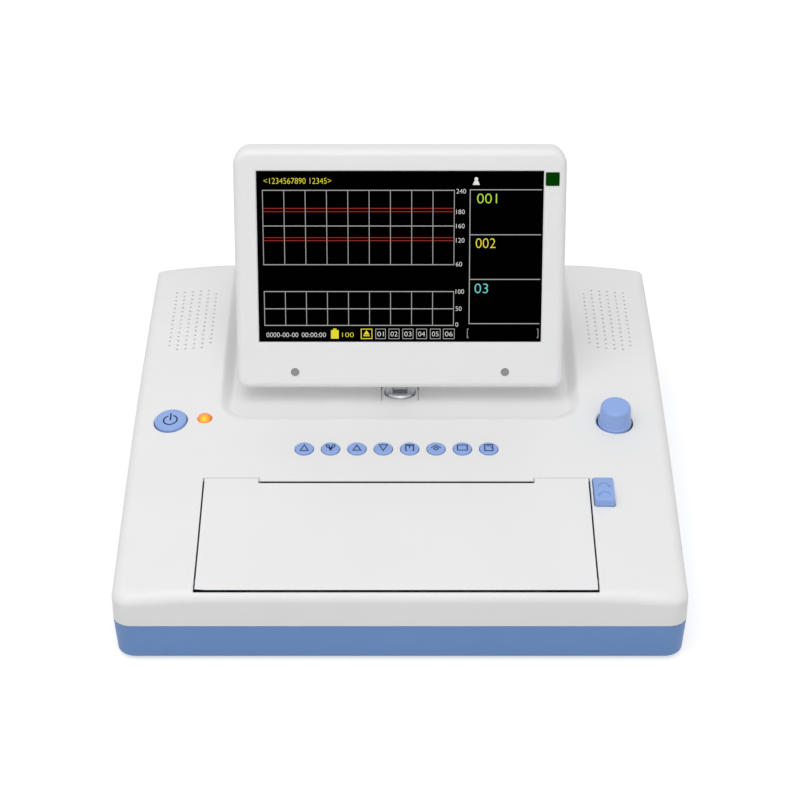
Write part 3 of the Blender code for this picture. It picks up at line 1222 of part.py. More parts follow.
def make_printer(finishes):
    """Platen, gear train, print head, motor and the frame that holds them."""
    mesh_angle, idler_centre, pinion_centre = gear_centres()
    half = PAPER_WIDTH / 2
    shaft_left = GEAR_LEFT - PRINTER_X
    shaft_right = CHEEK_HALF + CHEEK_THICKNESS + SHAFT_END
    shaft = PLATEN_SHAFT_RADIUS
    profile = ((0, shaft_left), (shaft, shaft_left), (shaft, -half), (PLATEN_RADIUS, -half),
               (PLATEN_RADIUS, half),
               (shaft, half), (shaft, shaft_right), (0, shaft_right))
    platen = moved(lathe("platen", profile), along_x(PRINTER_X, PLATEN_Y, PLATEN_HEIGHT))
    join(platen, gear("platen gear", PLATEN_TEETH, mesh_angle, (PLATEN_Y, PLATEN_HEIGHT)))
    finish(platen, "platen_roller", finishes["rubber"], origin=(PRINTER_X, PLATEN_Y, PLATEN_HEIGHT))

    idler_phase = mesh_angle + pi + pi / IDLER_TEETH
    idler = gear("idler", IDLER_TEETH, idler_phase, idler_centre)
    bore = rod("idler bore", STUB_RADIUS + BORE_GAP, -GEAR_WIDTH, GEAR_WIDTH, 16)
    cut(idler, moved(bore, along_x(GEAR_LEFT + GEAR_WIDTH / 2, *idler_centre)))
    finish(idler, "idler_gear", finishes["light_grey"], origin=(GEAR_LEFT, *idler_centre))

    pinion_angle = atan2(pinion_centre[1] - idler_centre[1], pinion_centre[0] - idler_centre[0])
    turns = (pinion_angle - idler_phase) * IDLER_TEETH / PINION_TEETH
    pinion = gear("pinion", PINION_TEETH, pinion_angle + pi + turns + pi / PINION_TEETH, pinion_centre)
    plate_left = GEAR_LEFT - GEAR_STANDOFF - MOTOR_PLATE_THICKNESS
    motor_face = plate_left - GAP
    shaft = rod("motor shaft", MOTOR_SHAFT_RADIUS, GAP - MOTOR_BORE_DEPTH,
                GEAR_LEFT + GEAR_WIDTH / 2 - motor_face, 12)
    join(pinion, moved(shaft, along_x(motor_face, *pinion_centre)))
    finish(pinion, "motor_pinion", finishes["brass"], origin=(GEAR_LEFT, *pinion_centre))

    flange = MOTOR_FLANGE_THICKNESS
    bore = MOTOR_SHAFT_RADIUS + BORE_GAP
    profile = ((0, -MOTOR_BORE_DEPTH), (bore, -MOTOR_BORE_DEPTH), (bore, 0), (MOTOR_FLANGE_RADIUS, 0),
               (MOTOR_FLANGE_RADIUS, -flange), (MOTOR_RADIUS, -flange), (MOTOR_RADIUS, -MOTOR_LENGTH), (0,
                                                                                                        -MOTOR_LENGTH))
    finish(moved(lathe("motor", profile), along_x(motor_face, *pinion_centre)), "stepper_motor",
           finishes["steel"])

    make_head(finishes)
    make_frame(finishes, idler_centre, pinion_centre, plate_left)


def make_head(finishes):
    """Print head: a flat element with a finned heat sink behind it, as wide as the paper."""
    near = PLATEN_RADIUS + GAP
    web = near + 2 * HEAD_THICKNESS
    far = near + HEAD_THICKNESS + SINK_THICKNESS
    top = HEAD_HEIGHT / 2
    outline = [(near, -top), (far, -top)]
    for index, share in enumerate(COMB_SHARES):
        tips = ((web, share), (far, share)) if index % 2 else ((far, share), (web, share))
        outline += [(distance, height_share * top) for distance, height_share in tips]
    outline += [(far, top), (near, top)]
    head = prism("head", [head_point(*point) for point in outline], "X", PRINTER_X - PAPER_WIDTH / 2,
                 PRINTER_X + PAPER_WIDTH / 2)
    return finish(head, "print_head", finishes["aluminium"])


def make_frame(finishes, idler_centre, pinion_centre, plate_left):
    """Two cheeks, the cross plate behind the head, and the motor plate on pillars with the idler's stub axle."""
    low = FLOOR_TOP + GAP
    outline = rounded_rectangle(CHEEK_FRONT_Y, CHEEK_REAR_Y, low, CHEEK_TOP, 0, CHEEK_CORNER, 3)
    right_face = PRINTER_X + CHEEK_HALF
    left_face = PRINTER_X - CHEEK_HALF
    frame = prism("frame", outline, "X", right_face, right_face + CHEEK_THICKNESS)
    near = PLATEN_RADIUS + GAP + HEAD_THICKNESS + SINK_THICKNESS + GAP
    top = CROSS_HEIGHT / 2
    plate = ((near, -top), (near + CROSS_THICKNESS, -top), (near + CROSS_THICKNESS, top), (near, top))
    inside = CHEEK_HALF + CHEEK_THICKNESS / 2
    join(frame, prism("cross", [head_point(*point) for point in plate], "X", PRINTER_X - inside,
                      PRINTER_X + inside))
    join(frame, prism("left cheek", outline, "X", left_face - CHEEK_THICKNESS, left_face))
    motor_plate = rounded_rectangle(CHEEK_FRONT_Y, CHEEK_REAR_Y, low, TRAY_TOP, 0, CHEEK_CORNER, 3)
    motor_plate = prism("motor plate", motor_plate, "X", plate_left, plate_left + MOTOR_PLATE_THICKNESS)
    shaft_hole = rod("shaft hole", MOTOR_SHAFT_HOLE, -OVERRUN, MOTOR_PLATE_THICKNESS + OVERRUN, 12)
    cut(motor_plate, moved(shaft_hole, along_x(plate_left, *pinion_centre)))
    pillars = (
        (CHEEK_FRONT_Y + PILLAR_INSET, low + PILLAR_INSET), (CHEEK_REAR_Y - PILLAR_INSET, low + PILLAR_INSET),
        (CHEEK_REAR_Y - PILLAR_INSET, TRAY_TOP - PILLAR_INSET), idler_centre,
    )
    start = plate_left + MOTOR_PLATE_THICKNESS / 2
    length = left_face - CHEEK_THICKNESS / 2 - start
    for y, height in pillars:
        radius = STUB_RADIUS if (y, height) == idler_centre else PILLAR_RADIUS
        join(motor_plate, moved(rod("pillar", radius, 0, length, 12), along_x(start, y, height)))
    join(frame, motor_plate)
    radius = PLATEN_SHAFT_RADIUS + NOTCH_CLEARANCE
    reach = CHEEK_HALF + CHEEK_THICKNESS + OVERRUN
    cut(frame, moved(rod("notch end", radius, -reach, reach, 16), along_x(PRINTER_X, PLATEN_Y, PLATEN_HEIGHT)))
    way_out = atan2(PLATEN_HEIGHT - DOOR_AXIS_HEIGHT, PLATEN_Y - DOOR_AXIS_Y)
    notch = block("notch", (-reach, -radius, 0), (reach, radius, CHEEK_TOP - PLATEN_HEIGHT + 2 * OVERRUN))
    place = Matrix.Translation((PRINTER_X, PLATEN_Y, PLATEN_HEIGHT)) @ Matrix.Rotation(way_out, 4, "X")
    cut(frame, moved(notch, place))
    return finish(frame, "printer_frame", finishes["steel"])


def make_controls(finishes):
    """Keys, power button, status lamp, dial with its shaft and encoder, and the board below them."""
    board_top = -CONTROL_BOARD_DROP
    frame = panel_frame(0, PANEL_Y)
    half = HALF_WIDTH - CONTROL_BOARD_MARGIN
    board = block("board", (-half, -CONTROL_BOARD_FRONT, board_top - BOARD_THICKNESS),
                  (half, CONTROL_BOARD_REAR, board_top))
    moved(board, frame)
    switch = SWITCH_SIZE / 2
    places = [(key_x(index), KEY_ROW_Y) for index in range(KEY_COUNT)] + [(POWER_X, POWER_Y)]
    for x, y in places:
        spot = frame.inverted() @ Vector((x, y, deck_height(0, y)))
        body = block("switch", (spot.x - switch, spot.y - switch, board_top - BOARD_THICKNESS / 2),
                     (spot.x + switch, spot.y + switch, board_top + SWITCH_HEIGHT))
        join(board, moved(body, frame))
    finish(board, "control_board", finishes["board"])

    stem_end = board_top + SWITCH_HEIGHT + KEY_TRAVEL + 2 * GAP
    profile = button_profile(KEY_RADIUS, KEY_PROUD, KEY_EDGE, KEY_STEM_RADIUS, stem_end)
    for index in range(KEY_COUNT):
        place = panel_frame(key_x(index), KEY_ROW_Y)
        key = moved(lathe("key", profile, 16), place)
        finish(key, f"key_{index + 1}", finishes["blue_key"], origin=place.to_translation())
    place = panel_frame(POWER_X, POWER_Y, False)
    profile = button_profile(POWER_RADIUS, POWER_PROUD, POWER_EDGE, KEY_STEM_RADIUS, -POWER_STEM_LENGTH)
    finish(moved(lathe("power", profile), place), "power_button", finishes["blue_key"],
           origin=place.to_translation())

    flange = LAMP_RADIUS + FLANGE_OVERLAP
    low = -FLANGE_DROP - FLANGE_THICKNESS
    profile = [(0, -LAMP_STEM_LENGTH), (LAMP_STEM_RADIUS, -LAMP_STEM_LENGTH), (LAMP_STEM_RADIUS, low),
               (flange, low),
               (flange, -FLANGE_DROP), (LAMP_RADIUS, -FLANGE_DROP)]
    for step in range(4):
        angle = pi / 2 * step / 4
        profile.append((LAMP_RADIUS * cos(angle), LAMP_DOME * sin(angle)))
    profile.append((0, LAMP_DOME))
    lamp = lathe("lamp", profile, 16)
    finish(moved(lamp, panel_frame(LAMP_X, LAMP_Y)), "status_lamp", finishes["orange"])
    make_dial(finishes)


def button_profile(radius, proud, edge, stem_radius, stem_end):
    """Stem, retaining flange below the deck, and cap."""
    flange = radius + FLANGE_OVERLAP
    low = -FLANGE_DROP - FLANGE_THICKNESS
    return ((0, stem_end), (stem_radius, stem_end), (stem_radius, low), (flange, low), (flange, -FLANGE_DROP),
            (radius, -FLANGE_DROP), (radius, proud - edge), (radius - edge, proud), (0, proud))


def make_dial(finishes):
    """Dial knob on its push shaft, which dips into the encoder on the control board."""
    place = panel_frame(DIAL_X, DIAL_Y)
    slope = (DIAL_FOOT_RADIUS - DIAL_TOP_RADIUS) / (DIAL_HEIGHT + DIAL_SUNK)
    bore = DIAL_SHAFT_RADIUS + BORE_GAP
    bore_end = DIAL_SKIRT + DIAL_GRIP - DIAL_SUNK
    skirt_end = DIAL_SKIRT - DIAL_SUNK
    inner = DIAL_FOOT_RADIUS - DIAL_WALL
    profile = [
        (0, bore_end), (bore, bore_end), (bore, skirt_end), (inner - slope * DIAL_SKIRT, skirt_end), (inner,
                                                                                                      -DIAL_SUNK),
        (DIAL_FOOT_RADIUS, -DIAL_SUNK), (DIAL_TOP_RADIUS + slope * DIAL_EDGE, DIAL_HEIGHT - DIAL_EDGE),
    ]
    for step in (1, 2, 3):
        angle = pi / 2 * step / 3
        inset = DIAL_EDGE * (1 - cos(angle))
        profile.append((DIAL_TOP_RADIUS - inset, DIAL_HEIGHT - DIAL_EDGE * (1 - sin(angle))))
    profile.append((0, DIAL_HEIGHT))
    knob = moved(lathe("knob", profile, 32), place)
    origin = place.to_translation()
    knob = finish(knob, "dial_knob", finishes["blue_key"], origin=origin)

    board = panel_frame(0, PANEL_Y)
    spot = board.inverted() @ origin
    encoder_low = -CONTROL_BOARD_DROP + GAP
    encoder_top = encoder_low + ENCODER_HEIGHT
    half = ENCODER_SIZE / 2
    encoder = block("encoder", (spot.x - half, spot.y - half, encoder_low),
                    (spot.x + half, spot.y + half, encoder_top))
    hole = rod("encoder bore", bore, encoder_top - ENCODER_BORE_DEPTH, encoder_top + OVERRUN, 16)
    cut(encoder, moved(hole, Matrix.Translation((spot.x, spot.y, 0))))
    finish(moved(encoder, board), "dial_encoder", finishes["grey"])
    shaft_low = encoder_top - ENCODER_BORE_DEPTH - spot.z + DIAL_TRAVEL + GAP
    shaft = rod("shaft", DIAL_SHAFT_RADIUS, shaft_low, bore_end - GAP, 16)
    shaft = finish(moved(shaft, place), "dial_shaft", finishes["steel"], origin=origin)
    bpy.context.view_layer.update()
    knob.parent = shaft
    knob.location = (0, 0, 0)
    return knob


def display_rings(levels, bottom_radius, top_radius, steps=CORNER_STEPS):
    """Upright outlines of the display at a row of (inset, y) levels."""
    rings = []
    for inset, y in levels:
        outline = rounded_rectangle(inset - DISPLAY_HALF, DISPLAY_HALF - inset, DISPLAY_LOW + inset,
                                    DISPLAY_HIGH - inset,
                                    max(bottom_radius - inset, GAP), max(top_radius - inset, GAP), steps)
        rings.append([(x, y, z) for x, z in outline])
    return rings


def place_in_display(piece, name, finish_material, pivot):
    """Turns a piece made in the display's own frame to its place at rest, and hangs it on the tilt axis."""
    piece.name = name
    finish(piece, name, finish_material)
    piece.parent = pivot
    return piece


def make_display(finishes):
    """Bezel, rear cover, panel, board, hinge arm, screw caps and indicator lens, all on the tilt axis."""
    pivot = bpy.data.objects.new("display_pivot", None)
    bpy.context.scene.collection.objects.link(pivot)
    pivot.matrix_world = tilt_frame()
    front = -DISPLAY_FRONT
    split = -DISPLAY_SPLIT
    levels = []
    for step in range(5):
        angle = pi / 2 * step / 4
        levels.append((DISPLAY_EDGE_RADIUS * (1 - sin(angle)), front + DISPLAY_EDGE_RADIUS * (1 - cos(angle))))
    levels.append((0, split))
    bezel = loft("bezel", display_rings(levels, DISPLAY_BOTTOM_RADIUS, DISPLAY_TOP_RADIUS))
    room = display_rings(((DISPLAY_WALL, front + DISPLAY_WALL), (DISPLAY_WALL, split + OVERRUN)),
                         DISPLAY_BOTTOM_RADIUS, DISPLAY_TOP_RADIUS)
    room = loft("bezel room", room)
    cap_x = DISPLAY_HALF - CAP_INSET
    cap_z = DISPLAY_LOW + CAP_ABOVE_EDGE
    for side in (-1, 1):
        boss = rod("cap boss", CAP_BOSS_RADIUS, front, split, 12)
        cut(room, moved(boss, along_y(side * cap_x, 0, cap_z)))
    cut(bezel, room)
    half = SCREEN_HALF
    cut(bezel, block("screen opening", (-half, front - OVERRUN, SCREEN_LOW),
                     (half, front + DISPLAY_WALL + OVERRUN, SCREEN_HIGH)))
    lens_x = half + LENS_FROM_SCREEN
    lens_z = SCREEN_HIGH - LENS_BELOW_SCREEN_TOP
    cut(bezel, block("lens opening", (lens_x - GAP, front - OVERRUN, lens_z - LENS_SIZE - GAP),
                     (lens_x + LENS_SIZE + GAP, front + DISPLAY_WALL + OVERRUN, lens_z + GAP)))
    for side in (-1, 1):
        hole = rod("cap hole", CAP_RADIUS + GAP, front - OVERRUN, front + CAP_LENGTH, 16)
        cut(bezel, moved(hole, along_y(side * cap_x, 0, cap_z)))
    cut(bezel, notch_block())
    place_in_display(bezel, "display_bezel", finishes["white"], pivot)

    shoulder = COVER_SHOULDER
    back = DISPLAY_BACK
    start = split + GAP
    levels = [(0, start), (GAP, start + shoulder)]
    for share, rise in COVER_SHARES:
        levels.append((GAP + COVER_TAPER * share, start + shoulder + (back - start - shoulder) * rise))
    cover = loft("cover", display_rings(levels, DISPLAY_BOTTOM_RADIUS, DISPLAY_TOP_RADIUS))
    inner = [(DISPLAY_WALL, start - OVERRUN), (DISPLAY_WALL + GAP, start + shoulder - DISPLAY_WALL / 2)]
    inner += [(inset + DISPLAY_WALL / 2, y - DISPLAY_WALL) for inset, y in levels[3:]]
    cut(cover, loft("cover room", display_rings(inner, DISPLAY_BOTTOM_RADIUS, DISPLAY_TOP_RADIUS)))
    cut(cover, notch_block())
    place_in_display(cover, "display_cover", finishes["white"], pivot)

    panel_front = front + DISPLAY_WALL + GAP
    panel_back = panel_front + PANEL_THICKNESS
    panel_half = half + PANEL_MARGIN
    panel = block("panel", (-panel_half, panel_front, SCREEN_LOW - PANEL_MARGIN),
                  (panel_half, panel_back, SCREEN_HIGH + PANEL_MARGIN))
    window = block("window", (GAP - half, front + SCREEN_SETBACK, SCREEN_LOW + GAP),
                   (half - GAP, panel_back - GAP, SCREEN_HIGH - GAP))
    place_in_display(join(panel, window), "lcd_panel", finishes["screen"], pivot)
    board_half = half - DISPLAY_BOARD_SIDE
    board_low = panel_back + GAP
    board = block("board", (-board_half, board_low, SCREEN_LOW + DISPLAY_BOARD_EDGE),
                  (board_half, board_low + BOARD_THICKNESS, SCREEN_HIGH - DISPLAY_BOARD_EDGE))
    place_in_display(board, "display_board", finishes["board"], pivot)
    for name, side in (("screw_cap_left", -1), ("screw_cap_right", 1)):
        cap = rod(name, CAP_RADIUS, front - CAP_PROUD, front + CAP_LENGTH - GAP, 16)
        place_in_display(moved(cap, along_y(side * cap_x, 0, cap_z)), name, finishes["grey"], pivot)
    lens = block("lens", (lens_x, front - LENS_PROUD, lens_z - LENS_SIZE),
                 (lens_x + LENS_SIZE, front + DISPLAY_WALL - GAP, lens_z))
    place_in_display(lens, "indicator_lens", finishes["green"], pivot)
    make_hinge(finishes, pivot)


def notch_block():
    """What the display leaves free about its hinge, behind the whole front of the bezel."""
    front = -KNUCKLE_RADIUS - 2 * GAP
    return block("notch", (-NOTCH_HALF, front, -NOTCH_HEIGHT),
                 (NOTCH_HALF, DISPLAY_BACK + OVERRUN, NOTCH_HEIGHT))


def make_hinge(finishes, pivot):
    """Fixed post with two ears, the pin, and the display's knuckle with its arm and plate."""
    arm = moved(rod("arm", KNUCKLE_RADIUS, -KNUCKLE_HALF, KNUCKLE_HALF), along_x(0, 0, 0))
    back = DISPLAY_BACK - DISPLAY_WALL - GAP
    front = back - ARM_PLATE_THICKNESS
    half = KNUCKLE_HALF - GAP
    join(arm, block("strut", (-half, front - ARM_PLATE_THICKNESS, GAP),
                    (half, back - GAP, ARM_PLATE_BOTTOM + ARM_PLATE_THICKNESS)))
    join(arm, block("plate", (-ARM_PLATE_HALF, front, ARM_PLATE_BOTTOM), (ARM_PLATE_HALF, back, ARM_PLATE_TOP)))
    bore = rod("bore", PIN_RADIUS + BORE_GAP, -2 * KNUCKLE_HALF, 2 * KNUCKLE_HALF, 16)
    cut(arm, moved(bore, along_x(0, 0, 0)))
    place_in_display(arm, "hinge_arm", finishes["steel"], pivot)

    axis = (0, TILT_AXIS_Y, TILT_AXIS_HEIGHT)
    flange_top = RECESS_FLOOR_HEIGHT - WALL - GAP
    dome_low = RECESS_FLOOR_HEIGHT - GAP
    profile = [(0, flange_top - POST_FLANGE_THICKNESS), (POST_FLANGE_RADIUS,
                                                         flange_top - POST_FLANGE_THICKNESS),
               (POST_FLANGE_RADIUS, flange_top), (POST_DOME_RADIUS, flange_top), (POST_DOME_RADIUS, dome_low)]
    for step in (1, 2, 3):
        angle = pi / 2 * step / 3
        inset = (POST_DOME_RADIUS - POST_DOME_TOP_RADIUS) * (1 - cos(angle))
        profile.append((POST_DOME_RADIUS - inset, dome_low + POST_DOME_RISE * sin(angle)))
    profile.append((0, dome_low + POST_DOME_RISE))
    post = moved(lathe("post", profile), Matrix.Translation((0, TILT_AXIS_Y, 0)))
    outline = []
    for step in range(13):
        angle = pi * step / 12
        outline.append((TILT_AXIS_Y + KNUCKLE_RADIUS * cos(angle),
                        TILT_AXIS_HEIGHT + KNUCKLE_RADIUS * sin(angle)))
    outline += [(TILT_AXIS_Y - EAR_FOOT_HALF, dome_low - GAP), (TILT_AXIS_Y + EAR_FOOT_HALF, dome_low - GAP)]
    groove = rod("groove", KNUCKLE_RADIUS + 2 * GAP, -EAR_INNER - GAP, EAR_INNER + GAP)
    cut(post, moved(groove, along_x(*axis)))
    for side in (-1, 1):
        join(post, prism("ear", outline, "X", side * EAR_INNER, side * EAR_OUTER))
    reach = EAR_OUTER + OVERRUN
    cut(post, moved(rod("pin bore", PIN_RADIUS + BORE_GAP, -reach, reach, 16), along_x(*axis)))
    finish(post, "hinge_post", finishes["steel"])
    pin = rod("pin", PIN_RADIUS, -EAR_OUTER, EAR_OUTER, 16)
    finish(moved(pin, along_x(*axis)), "hinge_pin", finishes["steel"])


def make_screws(finishes):
    """The four case screws, up through the base into the housing's corner posts."""
    head_top = FOOT_HEIGHT + SCREW_HEAD_DEPTH - GAP
    head_low = head_top - SCREW_HEAD_THICKNESS
    head = SCREW_HEAD_RADIUS - GAP
    shank = SCREW_HOLE_RADIUS - GAP
    profile = ((0, head_low + SCREW_SOCKET), (SCREW_SOCKET, head_low + SCREW_SOCKET), (SCREW_SOCKET, head_low),
               (head, head_low), (head, head_top), (shank, head_top), (shank, head_top + SCREW_LENGTH), (0,
                                                                                                         head_top + SCREW_LENGTH))
    for index, (x, y) in enumerate(post_places()):
        name = f"case_screw_{index + 1}"
        finish(moved(lathe(name, profile, 12), Matrix.Translation((x, y, 0))), name, finishes["steel"])


def main():
    for old in list(bpy.data.objects):
        bpy.data.objects.remove(old)
    finishes = {
        "white": material("white_plastic", (0.86, 0.86, 0.86), 0.45),
        "blue_case": material("blue_case_plastic", (0.15, 0.24, 0.48), 0.5),
        "blue_key": material("blue_key_plastic", (0.25, 0.38, 0.75), 0.45),
        "rubber": material("dark_rubber", (0.03, 0.03, 0.03), 0.8),
        "board": material("green_board", (0.03, 0.2, 0.08), 0.5),
        "dark": material("dark_plastic", (0.05, 0.05, 0.055), 0.5),
        "steel": material("plain_steel", (0.55, 0.56, 0.58), 0.35, 1.0),
        "aluminium": material("plain_aluminium", (0.7, 0.7, 0.72), 0.4, 1.0),
        "screen": material("screen_glass", (0.01, 0.01, 0.012), 0.15),
        "brass": material("plain_brass", (0.75, 0.58, 0.25), 0.35, 1.0),
        "grey": material("grey_plastic", (0.35, 0.36, 0.38), 0.5),
        "light_grey": material("light_grey_plastic", (0.6, 0.6, 0.6), 0.5),
        "orange": material("orange_lens", (0.8, 0.25, 0.03), 0.3),
        "green": material("green_lens", (0.0, 0.08, 0.01), 0.3),
    }
    make_top_housing(finishes)
    make_base(finishes)
    make_feet(finishes)
    make_electronics(finishes)
    make_speakers(finishes)
    make_sockets(finishes)
    make_tray(finishes)
    make_door(finishes)
    make_latch(finishes)
    make_printer(finishes)
    make_controls(finishes)
    make_display(finishes)
    make_screws(finishes)


main()
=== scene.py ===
"""Desktop cardiotocograph, dressed: fine meshes, finishes, the picture on its screen and a plain stage.

Laid out as an add-on and run as a script. One operator makes each piece or group of like pieces, and main()
calls them in order. Metres, +Z up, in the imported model's own frame.
"""

import json
from math import asin, atan, atan2, cos, hypot, pi, radians, sin, tan

import bmesh
import bpy
from bpy.props import FloatProperty, FloatVectorProperty, IntProperty, PointerProperty
from mathutils import Matrix, Vector

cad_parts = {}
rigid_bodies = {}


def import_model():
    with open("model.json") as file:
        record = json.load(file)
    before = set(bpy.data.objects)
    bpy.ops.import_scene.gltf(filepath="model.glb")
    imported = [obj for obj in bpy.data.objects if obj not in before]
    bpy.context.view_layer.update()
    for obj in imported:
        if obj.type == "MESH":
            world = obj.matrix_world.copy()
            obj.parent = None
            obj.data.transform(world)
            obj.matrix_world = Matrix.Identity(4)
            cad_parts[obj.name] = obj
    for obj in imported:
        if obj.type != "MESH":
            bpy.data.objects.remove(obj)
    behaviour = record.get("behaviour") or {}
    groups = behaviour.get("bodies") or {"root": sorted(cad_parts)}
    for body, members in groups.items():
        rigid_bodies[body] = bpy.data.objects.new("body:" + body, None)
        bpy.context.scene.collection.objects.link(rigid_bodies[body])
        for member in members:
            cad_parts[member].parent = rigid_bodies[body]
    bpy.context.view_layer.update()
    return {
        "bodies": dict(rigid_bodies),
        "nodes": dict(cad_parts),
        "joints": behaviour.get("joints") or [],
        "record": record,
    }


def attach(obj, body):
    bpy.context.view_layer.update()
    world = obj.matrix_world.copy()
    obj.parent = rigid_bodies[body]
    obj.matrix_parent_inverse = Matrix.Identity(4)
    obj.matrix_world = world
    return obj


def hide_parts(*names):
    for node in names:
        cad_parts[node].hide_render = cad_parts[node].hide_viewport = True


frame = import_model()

bl_info = {
    "name": "Cardiotocograph",
    "version": (1, 0, 0),
    "blender": (4, 5, 0),
    "location": "3D View > Sidebar > Monitor",
    "description": "Makes the visible pieces of a desktop cardiotocograph and its stage",
    "category": "Object",
}

MM = 0.001

# Case
CASE_WIDTH = 295 * MM
CASE_DEPTH = 305 * MM
FOOT_HEIGHT = 3 * MM
SEAM_HEIGHT = 22.8 * MM
WALL = 2.5 * MM
GAP = 0.3 * MM
OVERRUN = 2 * MM
DECK_FRONT_HEIGHT = 40.1 * MM
DECK_REAR_HEIGHT = 78.7 * MM
DECK_RISE = 8.4 * MM
DECK_SHOULDER = 47.5 * MM
DECK_SIDE_FALL = 5.6 * MM
FRONT_EDGE_RADIUS = 5.5 * MM
FRONT_RAISE = 2.5 * MM
FRONT_RAISE_RUN = 50 * MM
SIDE_EDGE_RADIUS = 6.5 * MM
REAR_EDGE_RADIUS = 24 * MM
FRONT_CORNER_RADIUS = 10 * MM
REAR_CORNER_RADIUS = 16 * MM

# Base tub
BASE_TAPER = 1.2 * MM
BASE_BOTTOM = 1.5 * MM
BASE_EDGE_RADIUS = 2.5 * MM
TONGUE_THICKNESS = 1.2 * MM
TONGUE_HEIGHT = 3 * MM
BASE_FLOOR = 2.5 * MM
FOOT_RADIUS = 8 * MM
FOOT_POCKET = 1 * MM
FOOT_TAPER = 0.8 * MM
FOOT_EDGE_INSET = 24 * MM
FOOT_SIDE_INSET = 38.4 * MM
POST_RADIUS = 4 * MM
POST_INSET = 12 * MM
SCREW_HOLE_RADIUS = 1.6 * MM
SCREW_HEAD_RADIUS = 3.4 * MM
SCREW_HEAD_DEPTH = 8 * MM
SCREW_HEAD_THICKNESS = 2.4 * MM
SCREW_LENGTH = 16 * MM
SCREW_SOCKET = 1.2 * MM

# Recess that takes the folded display
RECESS_SIDE = 46.75 * MM
PANEL_DEPTH = 46.8 * MM
RECESS_RAMP = 37.8 * MM
RECESS_CORNER_RADIUS = 18 * MM
RECESS_FILLET = 7 * MM
RECESS_RIM_STEP = 0.02 * MM
RECESS_DEPTH = 9.02 * MM
FOLD_ANGLE = radians(3.5)

# Display, in its own frame: X right, Y to its back, Z up, origin on the tilt axis
TILT_AXIS_RISE = 7.2 * MM
REST_ANGLE = radians(75.9)
DISPLAY_SIDE_ROOM = 10.25 * MM
DISPLAY_HEIGHT = 134.94 * MM
DISPLAY_ABOVE_AXIS = 0.8 * MM
DISPLAY_FRONT = 16.2 * MM
DISPLAY_BACK = 6.2 * MM
DISPLAY_SPLIT = 3 * MM
DISPLAY_WALL = 2.5 * MM
DISPLAY_TOP_RADIUS = 9 * MM
DISPLAY_BOTTOM_RADIUS = 5.5 * MM
DISPLAY_EDGE_RADIUS = 4 * MM
SCREEN_SIDE = 12.5 * MM
SCREEN_TOP = 11.8 * MM
SCREEN_BOTTOM = 26.8 * MM
SCREEN_SETBACK = 1.2 * MM
CAP_RADIUS = 2.25 * MM
CAP_INSET = 32.2 * MM
CAP_ABOVE_EDGE = 9.7 * MM
CAP_LENGTH = 3.6 * MM
CAP_PROUD = 0.2 * MM
CAP_BOSS_RADIUS = 4 * MM
LENS_SIZE = 6.8 * MM
LENS_FROM_SCREEN = 1.3 * MM
LENS_BELOW_SCREEN_TOP = 1.1 * MM
LENS_PROUD = 0.4 * MM
COVER_SHOULDER = 4 * MM
COVER_TAPER = 9 * MM

# Tilt hinge
PIN_RADIUS = 2 * MM
KNUCKLE_RADIUS = 5.2 * MM
KNUCKLE_HALF = 4 * MM
EAR_THICKNESS = 3 * MM
EAR_FOOT_HALF = 4 * MM
POST_DOME_RADIUS = 8.4 * MM
POST_DOME_TOP_RADIUS = 6.5 * MM
POST_DOME_RISE = 3 * MM
POST_FLANGE_RADIUS = 13 * MM
POST_FLANGE_THICKNESS = 3 * MM
POST_HOLE_CLEARANCE = 0.5 * MM
SLIT_X = 10.25 * MM
SLIT_WIDTH = 0.6 * MM
SLIT_AHEAD = 10.5 * MM
SLIT_LENGTH = 24 * MM
ARM_PLATE_HALF = 18 * MM
ARM_PLATE_THICKNESS = 2.5 * MM
ARM_PLATE_BOTTOM = 11 * MM
ARM_PLATE_TOP = 42 * MM
NOTCH_HALF = 9.3 * MM
NOTCH_HEIGHT = 9.8 * MM

# Printer and its door
PRINTER_X = -1.9 * MM
PAPER_WIDTH = 150 * MM
DOOR_MARGIN = 27.5 * MM
DOOR_DEPTH = 82.9 * MM
DOOR_REAR_GAP = 0.5 * MM
DOOR_SIDE_GAP = 0.95 * MM
DOOR_LIP_RISE = 0.2 * MM
DOOR_LIP_GAP = 1 * MM
DOOR_LIP_EXTRA = 0.8 * MM
DOOR_LIFT = 2.6 * MM
DOOR_REAR_SHIFT = 1.5 * MM
SLOT_END = 1.6 * MM
SLOT_SIDE = 0.2 * MM
SLOT_SETBACK = 2.6 * MM
SLOT_GAP = 1.6 * MM
DOOR_AXIS_INSET = 20.5 * MM
DOOR_AXIS_DROP = 4.8 * MM
DOOR_EAR_THICKNESS = 2.5 * MM
DOOR_EAR_INSET = 2 * MM
DOOR_EAR_RADIUS = 4 * MM
LIP_RELIEF = 0.35 * MM
HINGE_BOSS_WIDTH = 6 * MM
HINGE_BOSS_RADIUS = 4.6 * MM
PLATEN_FROM_EDGE = 8 * MM
PLATEN_DROP = 10.3 * MM
PLATEN_SHAFT_RADIUS = 2 * MM
LUG_THICKNESS = 2 * MM
LUG_RADIUS = 4.5 * MM

# Paper tray and printer frame
TRAY_FROM_AXIS = 1 * MM
TRAY_DEPTH = 95 * MM

# Clearance of pins and shafts in their bores
BORE_GAP = 0.3 * MM

